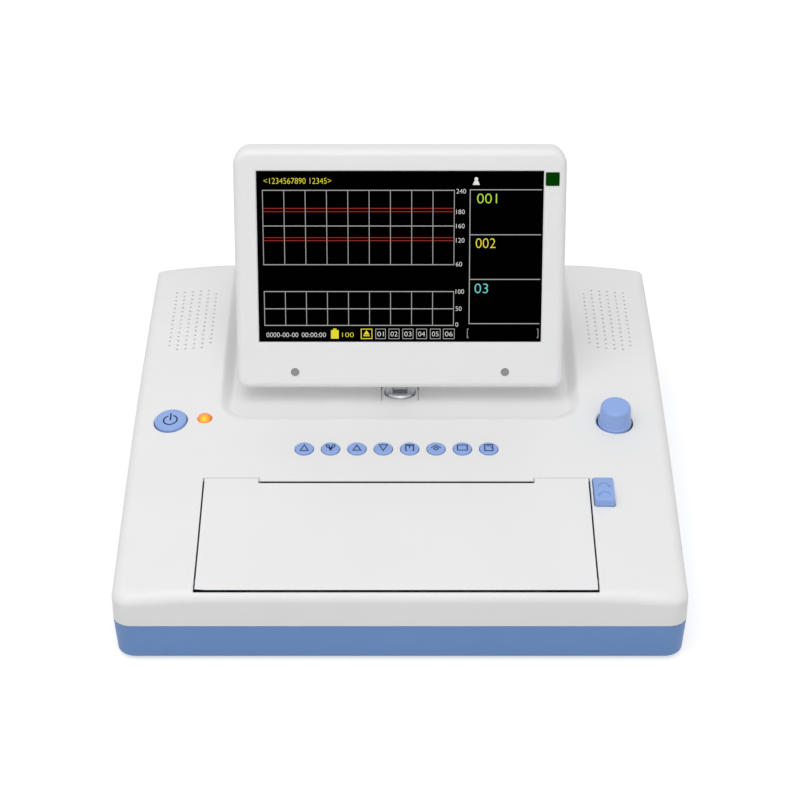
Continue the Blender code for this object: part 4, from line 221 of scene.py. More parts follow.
# Door release button and latch
RELEASE_FROM_DOOR = 7.2 * MM
RELEASE_BEHIND = 0.2 * MM
RELEASE_WIDTH = 10.6 * MM
RELEASE_LENGTH = 17.6 * MM
RELEASE_EXTRA = 1.5 * MM
RELEASE_CORNER = 1 * MM
RELEASE_PROUD = 2.9 * MM
RELEASE_SLOPE = 0.153
RELEASE_SHIFT = (0.5 * MM, -0.4 * MM, 0)
BUTTON_GAP = 0.4 * MM
STEM_WIDTH = 5 * MM
FLANGE_OVERLAP = 1 * MM
FLANGE_THICKNESS = 1.2 * MM
FLANGE_DROP = 3.4 * MM
LATCH_AXIS_INSET = 4.6 * MM
LATCH_AXIS_DROP = 15.7 * MM
LATCH_WIDTH = 8 * MM
LATCH_ARM = 3 * MM
LATCH_HOOK_THICKNESS = 2 * MM
LATCH_HOOK_HEIGHT = 9.5 * MM
LATCH_NOSE = 1.3 * MM
LATCH_NOSE_THICKNESS = 2 * MM
LATCH_CLEARANCE = 0.35 * MM
CATCH_THICKNESS = 2.2 * MM
CATCH_FOOT = 1 * MM
CATCH_FOOT_HEIGHT = 1.6 * MM

# Controls on the deck
BOARD_FROM_DOOR = 36.6 * MM
KEY_COUNT = 8
KEY_PITCH = 14.3 * MM
KEY_ROW_FROM_DOOR = 24.5 * MM
KEY_RADIUS = 5.25 * MM
KEY_PROUD = 1.2 * MM
KEY_EDGE = 0.5 * MM
KEY_TRAVEL = 0.8 * MM
SIGN_SHIFT = 0.35  # in millimetres, as the signs' points
KEY_STEM_RADIUS = 2 * MM
POWER_INSET = 21.1 * MM
POWER_BEHIND = 2.6 * MM
POWER_RADIUS = 9.15 * MM
POWER_PROUD = 1.5 * MM
POWER_EDGE = 0.7 * MM
POWER_STEM_LENGTH = 5.6 * MM
LAMP_INSET = 39.8 * MM
LAMP_BEHIND = 3.3 * MM
LAMP_RADIUS = 3.8 * MM
LAMP_DOME = 2.2 * MM
LAMP_STEM_RADIUS = 2.5 * MM
LAMP_STEM_LENGTH = 9.5 * MM
DIAL_INSET = 29.2 * MM
DIAL_BEHIND = 1.4 * MM
DIAL_FOOT_RADIUS = 9.25 * MM
DIAL_TOP_RADIUS = 8.1 * MM
DIAL_HEIGHT = 10.8 * MM
DIAL_EXTRA = 1 * MM
DIAL_EDGE = 2 * MM
DIAL_FLANGE = ((0, 0.45), (0.12, 0.6), (0.32, 0.85), (0.46, 1.25), (0.53, 1.8))
DIAL_SUNK = 1.7 * MM
DIAL_WALL = 1.6 * MM
DIAL_SKIRT = 5 * MM
DIAL_GAP = 1 * MM
DIAL_SHAFT_RADIUS = 3 * MM
DIAL_GRIP = 5 * MM
CONTROL_BOARD_DROP = 12 * MM
SWITCH_HEIGHT = 3 * MM
BOARD_BOSS_RADIUS = 3 * MM
BOARD_BOSS_INSET = 63.5 * MM
BOARD_BOSS_SIDE_INSET = 47.5 * MM
BOARD_BOSS_Y = 14 * MM
BOARD_BOSS_SIDE_Y = 4 * MM

# Loudspeakers
SPEAKER_INSET = 27.5 * MM
SPEAKER_FROM_REAR = 76.75 * MM
SPEAKER_HALF_WIDTH = 16.5 * MM
SPEAKER_HALF_LENGTH = 34.5 * MM
SPEAKER_CORNER = 7 * MM
SPEAKER_DROP = 11.2 * MM
COLLAR_THICKNESS = 2 * MM
GRILLE_COLUMNS = 6
GRILLE_ROWS = 15
GRILLE_COLUMN_PITCH = 4.76 * MM
GRILLE_ROW_PITCH = 4.29 * MM
GRILLE_HOLE_RADIUS = 0.7 * MM
GRILLE_SHIFT = 1 * MM

# Boards and packs in the base
STANDOFF_HEIGHT = 5 * MM
STANDOFF_RADIUS = 3 * MM
MAIN_BOARD_ROOM = 8 * MM
MAIN_BOARD_LEFT_ROOM = 10 * MM
MAIN_BOARD_RIGHT_ROOM = 33.5 * MM
BATTERY_INSET = 9.5 * MM
BATTERY_WIDTH = 66 * MM
SUPPLY_FROM_REAR = 68.5 * MM

# Sockets in the left side and the rear wall
SOCKET_COUNT = 4
SOCKET_PITCH = 24 * MM
SOCKET_FROM_FRONT = 138.5 * MM
SOCKET_HEIGHT = 37 * MM
SOCKET_RADIUS = 6 * MM
SOCKET_LEDGE = 1.5 * MM
SOCKET_BORE = 4.6 * MM
SOCKET_DEPTH = 9 * MM
SOCKET_BACK = 2 * MM
REAR_PORT_HEIGHT = 38 * MM
INLET_INSET = 51.5 * MM
INLET_RADIUS = 6 * MM
INLET_BORE = 3.4 * MM
DATA_INSET = 59.5 * MM
DATA_WIDTH = 16 * MM
DATA_HEIGHT = 14 * MM
DATA_WALL = 1.6 * MM
EARTH_INSET = 29.5 * MM
EARTH_RADIUS = 3 * MM
EARTH_WELL = 2 * MM
EARTH_NUT = 2 * MM

# Stage
CAMERA_PLACE = (0, -1.0692, 0.7201)
CAMERA_TILT = radians(58.5)
LIGHT_TARGET = (0, 0, 0.05)

# Facets: the fine counts are for what is seen, the coarse ones for insides
FLATNESS = 0.0001 * MM
CORNER_STEPS = 12
EDGE_STEPS = 12
SIDE_STEPS = 48
FINE = (CORNER_STEPS, EDGE_STEPS, SIDE_STEPS)
COARSE = (5, 3, 6)
ROUND_STEPS = 64
FRONT_SHARES = (-1, -0.87, -0.74, 0, 0.74, 0.87, 1)
DECK_RING_SHARES = (0.2, 0.4, 0.6, 0.8, 1)
RECESS_FINE_SHARES = tuple(step / 12 for step in range(13))
RECESS_COARSE_SHARES = (0, 0.28, 0.72, 1)
COVER_SHARES = tuple((sin(pi / 2 * step / 8) ** 1.3, 1 - cos(pi / 2 * step / 8)) for step in range(1, 9))

# Values worked out from the sizes above
HALF_WIDTH = CASE_WIDTH / 2
FRONT_Y = -CASE_DEPTH / 2
REAR_Y = CASE_DEPTH / 2
DECK_FLAT_HALF = HALF_WIDTH - DECK_SHOULDER
BASE_WALL = WALL + GAP + TONGUE_THICKNESS
FLOOR_TOP = FOOT_HEIGHT + BASE_FLOOR
DOOR_HALF = PAPER_WIDTH / 2 + DOOR_MARGIN
DOOR_REAR_Y = FRONT_Y + DOOR_DEPTH
DOOR_LIP_HEIGHT = DECK_FRONT_HEIGHT + DOOR_LIP_RISE
DOOR_AXIS_Y = FRONT_Y + DOOR_AXIS_INSET
DOOR_AXIS_HEIGHT = DOOR_LIP_HEIGHT - DOOR_AXIS_DROP
OPENING_HALF = DOOR_HALF + DOOR_SIDE_GAP
SLOT_HALF = PAPER_WIDTH / 2 - SLOT_SIDE
PLATEN_Y = DOOR_REAR_Y - PLATEN_FROM_EDGE
TRAY_FRONT_Y = DOOR_AXIS_Y + TRAY_FROM_AXIS
TRAY_REAR_Y = TRAY_FRONT_Y + TRAY_DEPTH
RELEASE_X = PRINTER_X + DOOR_HALF + RELEASE_FROM_DOOR
RELEASE_REAR_Y = DOOR_REAR_Y + RELEASE_BEHIND
LATCH_AXIS_X = PRINTER_X + DOOR_HALF - LATCH_AXIS_INSET
LATCH_Y = RELEASE_REAR_Y - RELEASE_LENGTH / 2
RELEASE_HALF = RELEASE_LENGTH / 2 + RELEASE_EXTRA
RECESS_HALF = HALF_WIDTH - RECESS_SIDE
RECESS_FRONT_Y = DOOR_REAR_Y + PANEL_DEPTH
TILT_AXIS_Y = RECESS_FRONT_Y + RECESS_RAMP
PANEL_Y = DOOR_REAR_Y + BOARD_FROM_DOOR
KEY_ROW_Y = DOOR_REAR_Y + KEY_ROW_FROM_DOOR
POWER_X = POWER_INSET - HALF_WIDTH
POWER_Y = RECESS_FRONT_Y + POWER_BEHIND
LAMP_X = LAMP_INSET - HALF_WIDTH
LAMP_Y = RECESS_FRONT_Y + LAMP_BEHIND
DIAL_X = HALF_WIDTH - DIAL_INSET
DIAL_Y = RECESS_FRONT_Y + DIAL_BEHIND
DISPLAY_HALF = RECESS_HALF - DISPLAY_SIDE_ROOM
DISPLAY_LOW = DISPLAY_ABOVE_AXIS
DISPLAY_HIGH = DISPLAY_HEIGHT + DISPLAY_ABOVE_AXIS
SCREEN_HALF = DISPLAY_HALF - SCREEN_SIDE
SCREEN_FACE = SCREEN_SETBACK - DISPLAY_FRONT
SCREEN_LOW = DISPLAY_LOW + SCREEN_BOTTOM
SCREEN_HIGH = DISPLAY_HIGH - SCREEN_TOP
EAR_INNER = KNUCKLE_HALF + GAP
EAR_OUTER = EAR_INNER + EAR_THICKNESS
SPEAKER_X = HALF_WIDTH - SPEAKER_INSET
SPEAKER_Y = REAR_Y - SPEAKER_FROM_REAR
BATTERY_X = BATTERY_INSET - HALF_WIDTH
SUPPLY_Y = REAR_Y - SUPPLY_FROM_REAR
MAIN_BOARD_X = BATTERY_X + BATTERY_WIDTH + MAIN_BOARD_LEFT_ROOM
MAIN_BOARD_Y = TRAY_REAR_Y + MAIN_BOARD_ROOM
MAIN_BOARD_WIDTH = HALF_WIDTH - MAIN_BOARD_RIGHT_ROOM - MAIN_BOARD_X
MAIN_BOARD_DEPTH = SUPPLY_Y - MAIN_BOARD_ROOM - MAIN_BOARD_Y
INLET_X = INLET_INSET - HALF_WIDTH
EARTH_X = EARTH_INSET - HALF_WIDTH
DATA_X = HALF_WIDTH - DATA_INSET


def add_object(name, data):
    piece = bpy.data.objects.new(name, data)
    bpy.context.scene.collection.objects.link(piece)
    return piece


def is_flat(face):
    start = face.verts[0].co
    return all(abs((vert.co - start).dot(face.normal)) < FLATNESS for vert in face.verts)


def mesh_from(name, points, faces):
    """A closed mesh with its faces turned outwards."""
    shape = bmesh.new()
    made = [shape.verts.new(point) for point in points]
    for face in faces:
        shape.faces.new([made[index] for index in face])
    bmesh.ops.recalc_face_normals(shape, faces=shape.faces)
    bent = [face for face in shape.faces if not is_flat(face)]
    bmesh.ops.triangulate(shape, faces=bent)
    mesh = bpy.data.meshes.new(name)
    shape.to_mesh(mesh)
    shape.free()
    return mesh


def loft(name, rings, caps=None):
    """Joins rings of as many points each, and closes both ends; caps gives the faces of an uneven end."""
    count = len(rings[0])
    points = [point for ring in rings for point in ring]
    faces = []
    for level in range(len(rings) - 1):
        low = level * count
        for index in range(count):
            after = (index + 1) % count
            faces.append((low + index, low + after, low + count + after, low + count + index))
    ends = caps or [list(range(count))]
    last = (len(rings) - 1) * count
    faces += [list(reversed(end)) for end in ends]
    faces += [[last + index for index in end] for end in ends]
    return add_object(name, mesh_from(name, points, faces))


def prism(name, outline, axis, low, high):
    """An outline pushed along X, Y or Z: its points are (y, z), (x, z) or (x, y)."""
    place = {
        "X": lambda u, v, w: (w, u, v),
        "Y": lambda u, v, w: (u, w, v),
        "Z": lambda u, v, w: (u, v, w),
    }[axis]
    return loft(name, [[place(u, v, level) for u, v in outline] for level in (low, high)])


def block(name, low, high):
    outline = ((low[0], low[1]), (high[0], low[1]), (high[0], high[1]), (low[0], high[1]))
    return prism(name, outline, "Z", low[2], high[2])


def lathe(name, profile, steps=ROUND_STEPS):
    """Turns (radius, height) points about Z; a radius of 0 closes the end in a point."""
    points = []
    rings = []
    for radius, height in profile:
        if radius == 0:
            rings.append([len(points)])
            points.append((0, 0, height))
            continue
        rings.append([len(points) + step for step in range(steps)])
        for step in range(steps):
            angle = 2 * pi * step / steps
            points.append((radius * cos(angle), radius * sin(angle), height))
    faces = []
    for here, there in zip(rings, rings[1:] + rings[:1]):
        if len(here) == 1 and len(there) == 1:
            continue
        for step in range(steps):
            after = (step + 1) % steps
            corners = [here[step % len(here)], here[after % len(here)], there[after % len(there)],
                       there[step % len(there)]]
            faces.append(list(dict.fromkeys(corners)))
    return add_object(name, mesh_from(name, points, faces))


def rod(name, radius, low, high, steps=ROUND_STEPS):
    return lathe(name, ((0, low), (radius, low), (radius, high), (0, high)), steps)


def along_x(x, y, z):
    """Stands what was made along Z on the X axis, at a place."""
    return Matrix.Translation((x, y, z)) @ Matrix.Rotation(pi / 2, 4, "Y")


def along_y(x, y, z):
    return Matrix.Translation((x, y, z)) @ Matrix.Rotation(-pi / 2, 4, "X")


def moved(piece, place):
    """Moves the mesh itself, so that the object stays at its origin."""
    piece.data.transform(place)
    return piece


def shifted(piece, x, y):
    return moved(piece, Matrix.Translation((x, y, 0)))


def quarter(steps, first=0):
    """1 - cos and 1 - sin along a quarter circle, for rounded edges."""
    for step in range(first, steps + 1):
        angle = pi / 2 * step / steps
        yield 1 - cos(angle), 1 - sin(angle)


def applied(piece):
    """Turns what the modifiers give into the piece's plain mesh."""
    bpy.context.view_layer.update()
    result = bpy.data.meshes.new_from_object(piece.evaluated_get(bpy.context.evaluated_depsgraph_get()))
    piece.modifiers.clear()
    piece.data = result
    return piece


def combine(piece, tool, operation):
    """Joins, cuts or trims a piece with another, which it uses up."""
    step = piece.modifiers.new(operation, "BOOLEAN")
    step.operation = operation
    step.solver = "EXACT"
    step.object = tool
    applied(piece)
    bpy.data.objects.remove(tool)
    return piece


def cut(piece, *tools):
    for tool in tools:
        combine(piece, tool, "DIFFERENCE")
    return piece


def join(piece, *tools):
    for tool in tools:
        combine(piece, tool, "UNION")
    return piece


def drill(piece, radius, reach, axis, steps=24):
    """Cuts a round hole along X that reaches as far to both sides of a place on its axis."""
    return cut(piece, moved(rod("bore", radius, -reach, reach, steps), along_x(*axis)))


def rounded_rectangle(x0, x1, y0, y1, low_radius, high_radius, steps=CORNER_STEPS):
    """Counter-clockwise points of a rectangle with its two low and its two high corners rounded."""
    corners = (
        (x1 - low_radius, y0 + low_radius, low_radius, -90),
        (x1 - high_radius, y1 - high_radius, high_radius, 0),
        (x0 + high_radius, y1 - high_radius, high_radius, 90),
        (x0 + low_radius, y0 + low_radius, low_radius, 180),
    )
    points = []
    for centre_x, centre_y, radius, start in corners:
        for step in range(steps + 1 if radius else 1):
            angle = radians(start + 90 * step / steps)
            points.append((centre_x + radius * cos(angle), centre_y + radius * sin(angle)))
    return points


def centred_rectangle(half_x, half_y, corner, steps):
    return rounded_rectangle(-half_x, half_x, -half_y, half_y, corner, corner, steps)


def circle_points(x, y, radius_x, radius_y, steps=20, start=0.0, turn=2 * pi):
    count = steps if turn == 2 * pi else steps + 1
    return [(x + radius_x * cos(start + turn * step / steps), y + radius_y * sin(start + turn * step / steps))
            for step in range(count)]


def side_fall(x):
    """How far the deck has fallen at x, and how steeply: a soft curve that levels out before the side."""
    shoulder = HALF_WIDTH - DECK_FLAT_HALF
    beyond = max(0, abs(x) - DECK_FLAT_HALF) / shoulder
    past = min(max(0, beyond - 0.5), 0.35)
    near = min(beyond, 0.5)
    fall = DECK_SIDE_FALL * (near ** 2 + past - past ** 2 / 0.7)
    slope = DECK_SIDE_FALL * (2 * near if past == 0 else 1 - past / 0.35) / shoulder
    return fall, slope


def front_raise(y):
    """How much the deck stands above its arched line near the front, where it levels out."""
    return FRONT_RAISE * min(1, max(0, 1 - (y - FRONT_Y) / FRONT_RAISE_RUN)) ** 2


def deck_height(x, y):
    """Height of the crowned deck: an arched line from front to back that falls off towards the sides."""
    share = (y - FRONT_Y) / CASE_DEPTH
    middle = DECK_FRONT_HEIGHT + (DECK_REAR_HEIGHT - DECK_FRONT_HEIGHT) * share + 4 * DECK_RISE * share * (1 - share)
    return middle + front_raise(y) - side_fall(x)[0]


RECESS_FLOOR_HEIGHT = deck_height(0, TILT_AXIS_Y) - RECESS_DEPTH
TILT_AXIS_HEIGHT = RECESS_FLOOR_HEIGHT + TILT_AXIS_RISE
TILT_AXIS = (0, TILT_AXIS_Y, TILT_AXIS_HEIGHT)
DOOR_AXIS = (PRINTER_X, DOOR_AXIS_Y, DOOR_AXIS_HEIGHT)
PLATEN_HEIGHT = deck_height(0, PLATEN_Y) - PLATEN_DROP
LATCH_AXIS_HEIGHT = deck_height(0, LATCH_Y) - LATCH_AXIS_DROP
SPEAKER_TOP = deck_height(SPEAKER_X, SPEAKER_Y) - SPEAKER_DROP


def deck_slope(y):
    share = (y - FRONT_Y) / CASE_DEPTH
    return (DECK_REAR_HEIGHT - DECK_FRONT_HEIGHT + 4 * DECK_RISE * (1 - 2 * share)) / CASE_DEPTH


def deck_side_slope(x):
    return -side_fall(x)[1] * (1 if x > 0 else -1)


def case_outline(insets, radii, corner_steps, side_steps):
    """Plan outline of the case, counter-clockwise from the front's left end, with each point's outward normal.

    The insets are those of the sides, the front and the rear; the radii those of the front and rear corners.
    """
    side_inset, front_inset, rear_inset = insets
    front_radius, rear_radius = radii
    right = HALF_WIDTH - side_inset
    front = FRONT_Y + front_inset
    rear = REAR_Y - rear_inset
    points = [(share * (right - front_radius), front, 0, -1) for share in FRONT_SHARES]

    def corner(centre_x, centre_y, radius, start):
        for step in range(1, corner_steps + 1):
            angle = radians(start + 90 * step / corner_steps)
            normal = (cos(angle), sin(angle))
            points.append((centre_x + radius * normal[0], centre_y + radius * normal[1], *normal))

    def side(x, start, end, normal_x):
        for step in range(1, side_steps + 1):
            points.append((x, start + (end - start) * step / side_steps, normal_x, 0))

    corner(right - front_radius, front + front_radius, front_radius, -90)
    side(right, front + front_radius, rear - rear_radius, 1)
    corner(right - rear_radius, rear - rear_radius, rear_radius, 0)
    points += [(share * (right - rear_radius), rear, 0, 1) for share in reversed(FRONT_SHARES[:-1])]
    corner(rear_radius - right, rear - rear_radius, rear_radius, 90)
    side(-right, rear - rear_radius, front + front_radius, -1)
    corner(front_radius - right, front + front_radius, front_radius, 180)
    return points[:-1]


def outline_rows(count, corner_steps, side_steps):
    """Faces that close a case outline with straight strips from left to right."""
    front_points = len(FRONT_SHARES)
    rows = corner_steps * 2 + side_steps
    right = [front_points - 1 + row for row in range(rows + 1)]
    left = [-row % count for row in range(rows + 1)]
    faces = [list(range(front_points)) + [right[1], left[1]]]
    for row in range(1, rows - 1):
        faces.append([left[row], right[row], right[row + 1], left[row + 1]])
    faces.append([left[rows - 1], right[rows - 1]] + list(range(right[rows], left[rows] + 1)))
    return faces


def housing_solid(name, offset, low, steps=FINE):
    """The upper housing's outside as one solid, drawn in by offset, from a level below the seam up to the deck."""
    corner_steps, edge_steps, side_steps = steps
    radii = (SIDE_EDGE_RADIUS - offset, FRONT_EDGE_RADIUS - offset, REAR_EDGE_RADIUS - offset)
    corner_radii = (FRONT_CORNER_RADIUS - offset, REAR_CORNER_RADIUS - offset)
    outline = case_outline([offset] * 3, corner_radii, corner_steps, side_steps)
    rings = [[(x, y, low) for x, y, _, _ in outline]]
    for turned_in, turned_down in quarter(edge_steps):
        insets = [offset + radius * turned_in for radius in radii]
        ring = []
        for x, y, normal_x, normal_y in case_outline(insets, corner_radii, corner_steps, side_steps):
            across = radii[0] * normal_x ** 2
            along = (radii[1] if normal_y < 0 else radii[2]) * normal_y ** 2
            ring.append((x, y, deck_height(x, y) - offset - (across + along) * turned_down))
        rings.append(ring)
    for share in DECK_RING_SHARES:
        inset = (HALF_WIDTH - DECK_FLAT_HALF - offset - radii[0]) * share
        insets = [offset + radius + inset for radius in radii]
        ring = case_outline(insets, corner_radii, corner_steps, side_steps)
        rings.append([(x, y, deck_height(x, y) - offset) for x, y, _, _ in ring])
    return loft(name, rings, outline_rows(len(rings[0]), corner_steps, side_steps))


def recess_floor(y):
    """Height of the recess floor along its middle: down to the tilt axis, then up beside the folded display."""
    if y > TILT_AXIS_Y:
        return RECESS_FLOOR_HEIGHT + (y - TILT_AXIS_Y) * tan(FOLD_ANGLE)
    share = (TILT_AXIS_Y - y) / (TILT_AXIS_Y - RECESS_FRONT_Y)
    return RECESS_FLOOR_HEIGHT + (deck_height(0, RECESS_FRONT_Y) - RECESS_FLOOR_HEIGHT) * share


def recess_solid(name, offset, steps=FINE):
    """What the recess takes out of the deck, grown by offset: open at the rear, with soft walls."""
    corner_steps, _, side_steps = steps
    levels = RECESS_FINE_SHARES if steps == FINE else RECESS_COARSE_SHARES
    rear = REAR_Y + OVERRUN + offset
    top = deck_height(0, REAR_Y) + REAR_EDGE_RADIUS
    rings = []
    for level in levels:
        inset = RECESS_FILLET * level
        right = RECESS_HALF + offset - inset
        front = RECESS_FRONT_Y - offset + inset
        radius = RECESS_CORNER_RADIUS + offset - inset
        share = level * level * (3 - 2 * level)
        path = [(right, rear - (rear - TILT_AXIS_Y) * step / side_steps) for step in range(side_steps)]
        path += [(right, TILT_AXIS_Y), (right, (TILT_AXIS_Y + front + radius) / 2), (right, front + radius)]
        for step in range(1, corner_steps + 1):
            angle = pi / 2 * step / corner_steps
            path.append((right - radius + radius * cos(angle), front + radius - radius * sin(angle)))
        path += [(-x, y) for x, y in reversed(path)]
        ring = []
        for x, y in path:
            high = deck_height(x, y) - RECESS_RIM_STEP
            ring.append((x, y, high + (min(recess_floor(y), high) - high) * share - offset))
        rings.append(ring)
    rings.insert(0, [(x, y, top) for x, y, _ in rings[0]])
    count = len(rings[0])
    rows = [[index, index + 1, count - 2 - index, count - 1 - index] for index in range(count // 2 - 1)]
    return loft(name, rings, rows)


def tilt_frame():
    return Matrix.Translation(TILT_AXIS) @ Matrix.Rotation(REST_ANGLE - pi / 2, 4, "X")


def panel_frame(x, y, level_sideways=True):
    """A place on the deck, its Z square to the control panel, which leans with the deck."""
    frame = Matrix.Translation((x, y, deck_height(x, y))) @ Matrix.Rotation(atan(deck_slope(PANEL_Y)), 4, "X")
    if level_sideways:
        return frame
    return frame @ Matrix.Rotation(-atan(deck_side_slope(x)), 4, "Y")


def key_place(index):
    return panel_frame(PRINTER_X + KEY_PITCH * (index - (KEY_COUNT - 1) / 2), KEY_ROW_Y)


POWER_PLACE = panel_frame(POWER_X, POWER_Y, False)
LAMP_PLACE = panel_frame(LAMP_X, LAMP_Y)
DIAL_PLACE = panel_frame(DIAL_X, DIAL_Y)


def post_places():
    """The four corner posts that the case screws go up into."""
    for side in (-1, 1):
        for y in (FRONT_Y + POST_INSET, REAR_Y - 2 * POST_INSET):
            yield side * (HALF_WIDTH - POST_INSET), y


def board_boss_places():
    board = panel_frame(0, PANEL_Y)
    for side in (-1, 1):
        yield board, side * (HALF_WIDTH - BOARD_BOSS_INSET), -BOARD_BOSS_Y
        yield board, side * (HALF_WIDTH - BOARD_BOSS_SIDE_INSET), BOARD_BOSS_SIDE_Y


def door_envelope(name, low, side, rear):
    """The space that the door or its opening takes."""
    return block(name, (PRINTER_X - side, FRONT_Y - OVERRUN, low), (PRINTER_X + side, rear, DECK_REAR_HEIGHT))


def hanger_outline(y, height, radius):
    """A plate that hangs from the middle of the deck's skin and is round about a point."""
    points = circle_points(y, height, radius, radius, 8, pi, pi)
    for side in (1, -1):
        points.append((y + side * radius, deck_height(0, y + side * radius) - WALL / 2))
    return points


def lip_reach():
    """How far the door's lip lies from the hinge axis, read on the curve of the front edge."""
    best = FRONT_Y
    for turned_in, turned_down in quarter(100):
        y = FRONT_Y + FRONT_EDGE_RADIUS * turned_in
        if deck_height(0, y) - FRONT_EDGE_RADIUS * turned_down <= DOOR_LIP_HEIGHT + DOOR_LIFT:
            best = y
    return hypot(DOOR_AXIS_Y - best, DOOR_LIP_HEIGHT + DOOR_LIFT - DOOR_AXIS_HEIGHT)


def socket_place(index):
    """Where a probe socket's mouth lies in the left side, its Z outwards."""
    y = FRONT_Y + SOCKET_FROM_FRONT + SOCKET_PITCH * index
    return Matrix.Translation((-HALF_WIDTH, y, SOCKET_HEIGHT)) @ Matrix.Rotation(-pi / 2, 4, "Y")


def rear_place(x):
    return along_y(x, REAR_Y, REAR_PORT_HEIGHT)


def base_ring(inset, height, radius_loss):
    radii = (FRONT_CORNER_RADIUS - radius_loss, REAR_CORNER_RADIUS - radius_loss)
    return [(x, y, height) for x, y, _, _ in case_outline([inset] * 3, radii, CORNER_STEPS, 1)]


def foot_places():
    for y in (FRONT_Y + FOOT_EDGE_INSET, REAR_Y - FOOT_EDGE_INSET):
        for side in (-1, 1):
            yield side * (HALF_WIDTH - FOOT_SIDE_INSET), y


def board_corner_places():
    inset = 2 * STANDOFF_RADIUS
    for x in (MAIN_BOARD_X + inset, MAIN_BOARD_X + MAIN_BOARD_WIDTH - inset):
        for y in (MAIN_BOARD_Y + inset, MAIN_BOARD_Y + MAIN_BOARD_DEPTH - inset):
            yield x, y


def speaker_outline(inset):
    return centred_rectangle(SPEAKER_HALF_WIDTH - inset, SPEAKER_HALF_LENGTH - inset, SPEAKER_CORNER - inset, 4)


def catch():
    """The tab under the door that the latch's nose holds: a plate with a small foot towards the latch."""
    foot_right = LATCH_AXIS_X - LATCH_HOOK_THICKNESS / 2 - LATCH_NOSE - LATCH_CLEARANCE
    right = foot_right - CATCH_FOOT
    low = LATCH_AXIS_HEIGHT + LATCH_HOOK_HEIGHT - LATCH_NOSE_THICKNESS - LATCH_CLEARANCE - CATCH_FOOT_HEIGHT
    front = LATCH_Y - LATCH_WIDTH / 2
    rear = LATCH_Y + LATCH_WIDTH / 2
    outline = [(front, low), (rear, low), (rear, deck_height(0, rear) - WALL / 2),
               (front, deck_height(0, front) - WALL / 2)]
    tab = prism("catch", outline, "X", right - CATCH_THICKNESS, right)
    foot = block("catch foot", (right - CATCH_THICKNESS / 2, front, low),
                 (foot_right, rear, low + CATCH_FOOT_HEIGHT))
    return join(tab, foot)


def display_solid(name, levels):
    """A solid with the display's upright outline at a row of (inset, y) levels."""
    rings = []
    for inset, y in levels:
        outline = rounded_rectangle(inset - DISPLAY_HALF, DISPLAY_HALF - inset, DISPLAY_LOW + inset,
                                    DISPLAY_HIGH - inset, max(DISPLAY_BOTTOM_RADIUS - inset, GAP),
                                    max(DISPLAY_TOP_RADIUS - inset, GAP))
        rings.append([(x, y, z) for x, z in outline])
    return loft(name, rings)


def notch_block():
    """What the display leaves free about its hinge, behind the whole front of the bezel."""
    front = -KNUCKLE_RADIUS - 2 * GAP
    return block("notch", (-NOTCH_HALF, front, -NOTCH_HEIGHT),
                 (NOTCH_HALF, DISPLAY_BACK + OVERRUN, NOTCH_HEIGHT))


COLOUR = {"size": 3, "subtype": "COLOR", "min": 0, "max": 1}
LENGTH = {"unit": "LENGTH", "precision": 5}


class CaseSettings(bpy.types.PropertyGroup):
    hole_chamfer: FloatProperty(name="Hole chamfer", description="Width of the soft edge round each hole in the deck",
                                default=0.1 * MM, min=0.05 * MM, max=0.6 * MM, **LENGTH)
    grille_radius: FloatProperty(name="Grille hole radius", description="Radius of one perforation above a loudspeaker",
                                 default=GRILLE_HOLE_RADIUS, min=0.3 * MM, max=1.2 * MM, **LENGTH)
    grille_columns: IntProperty(name="Grille columns", description="Perforations across one grille",
                                default=GRILLE_COLUMNS, min=2, max=7)
    grille_rows: IntProperty(name="Grille rows", description="Perforations along one grille",
                             default=GRILLE_ROWS, min=2, max=16)


class ControlSettings(bpy.types.PropertyGroup):
    sign_width: FloatProperty(name="Sign line", description="Width of the lines of the signs on the keys",
                              default=0.6 * MM, min=0.2 * MM, max=1 * MM, **LENGTH)
    sign_proud: FloatProperty(name="Sign height", description="How far a printed sign stands above its key",
                              default=0.04 * MM, min=0.01 * MM, max=0.2 * MM, unit="LENGTH", precision=6)
    dish_depth: FloatProperty(name="Dial dish", description="Depth of the hollow in the dial's top",
                              default=0.5 * MM, min=0, max=1 * MM, **LENGTH)
    key_round: FloatProperty(name="Key edge", description="Radius of the rounded edge of a key",
                             default=KEY_EDGE, min=0.2 * MM, max=0.8 * MM, **LENGTH)


class ScreenSettings(bpy.types.PropertyGroup):
    line_width: FloatProperty(name="Chart line", description="Width of the chart lines on the screen",
                              default=0.45 * MM, min=0.1 * MM, max=1 * MM, **LENGTH)
    brightness: FloatProperty(name="Brightness", description="Strength of the lit parts of the screen",
                              default=1.0, min=0, max=3)
    lines: FloatVectorProperty(name="Chart line colour", description="Colour of the chart lines",
                               default=(0.42, 0.42, 0.40), **COLOUR)
    limits: FloatVectorProperty(name="Limit line colour", description="Colour of the chart's double lines",
                                default=(0.30, 0.03, 0.02), **COLOUR)
    white: FloatVectorProperty(name="White", description="Colour of the plain figures",
                               default=(0.80, 0.80, 0.78), **COLOUR)
    yellow: FloatVectorProperty(name="Yellow", description="Colour of the second channel and the title bar",
                                default=(0.80, 0.72, 0.04), **COLOUR)
    green: FloatVectorProperty(name="Green", description="Colour of the first channel",
                               default=(0.45, 0.76, 0.05), **COLOUR)
    cyan: FloatVectorProperty(name="Cyan", description="Colour of the third channel",
                              default=(0.15, 0.67, 0.67), **COLOUR)


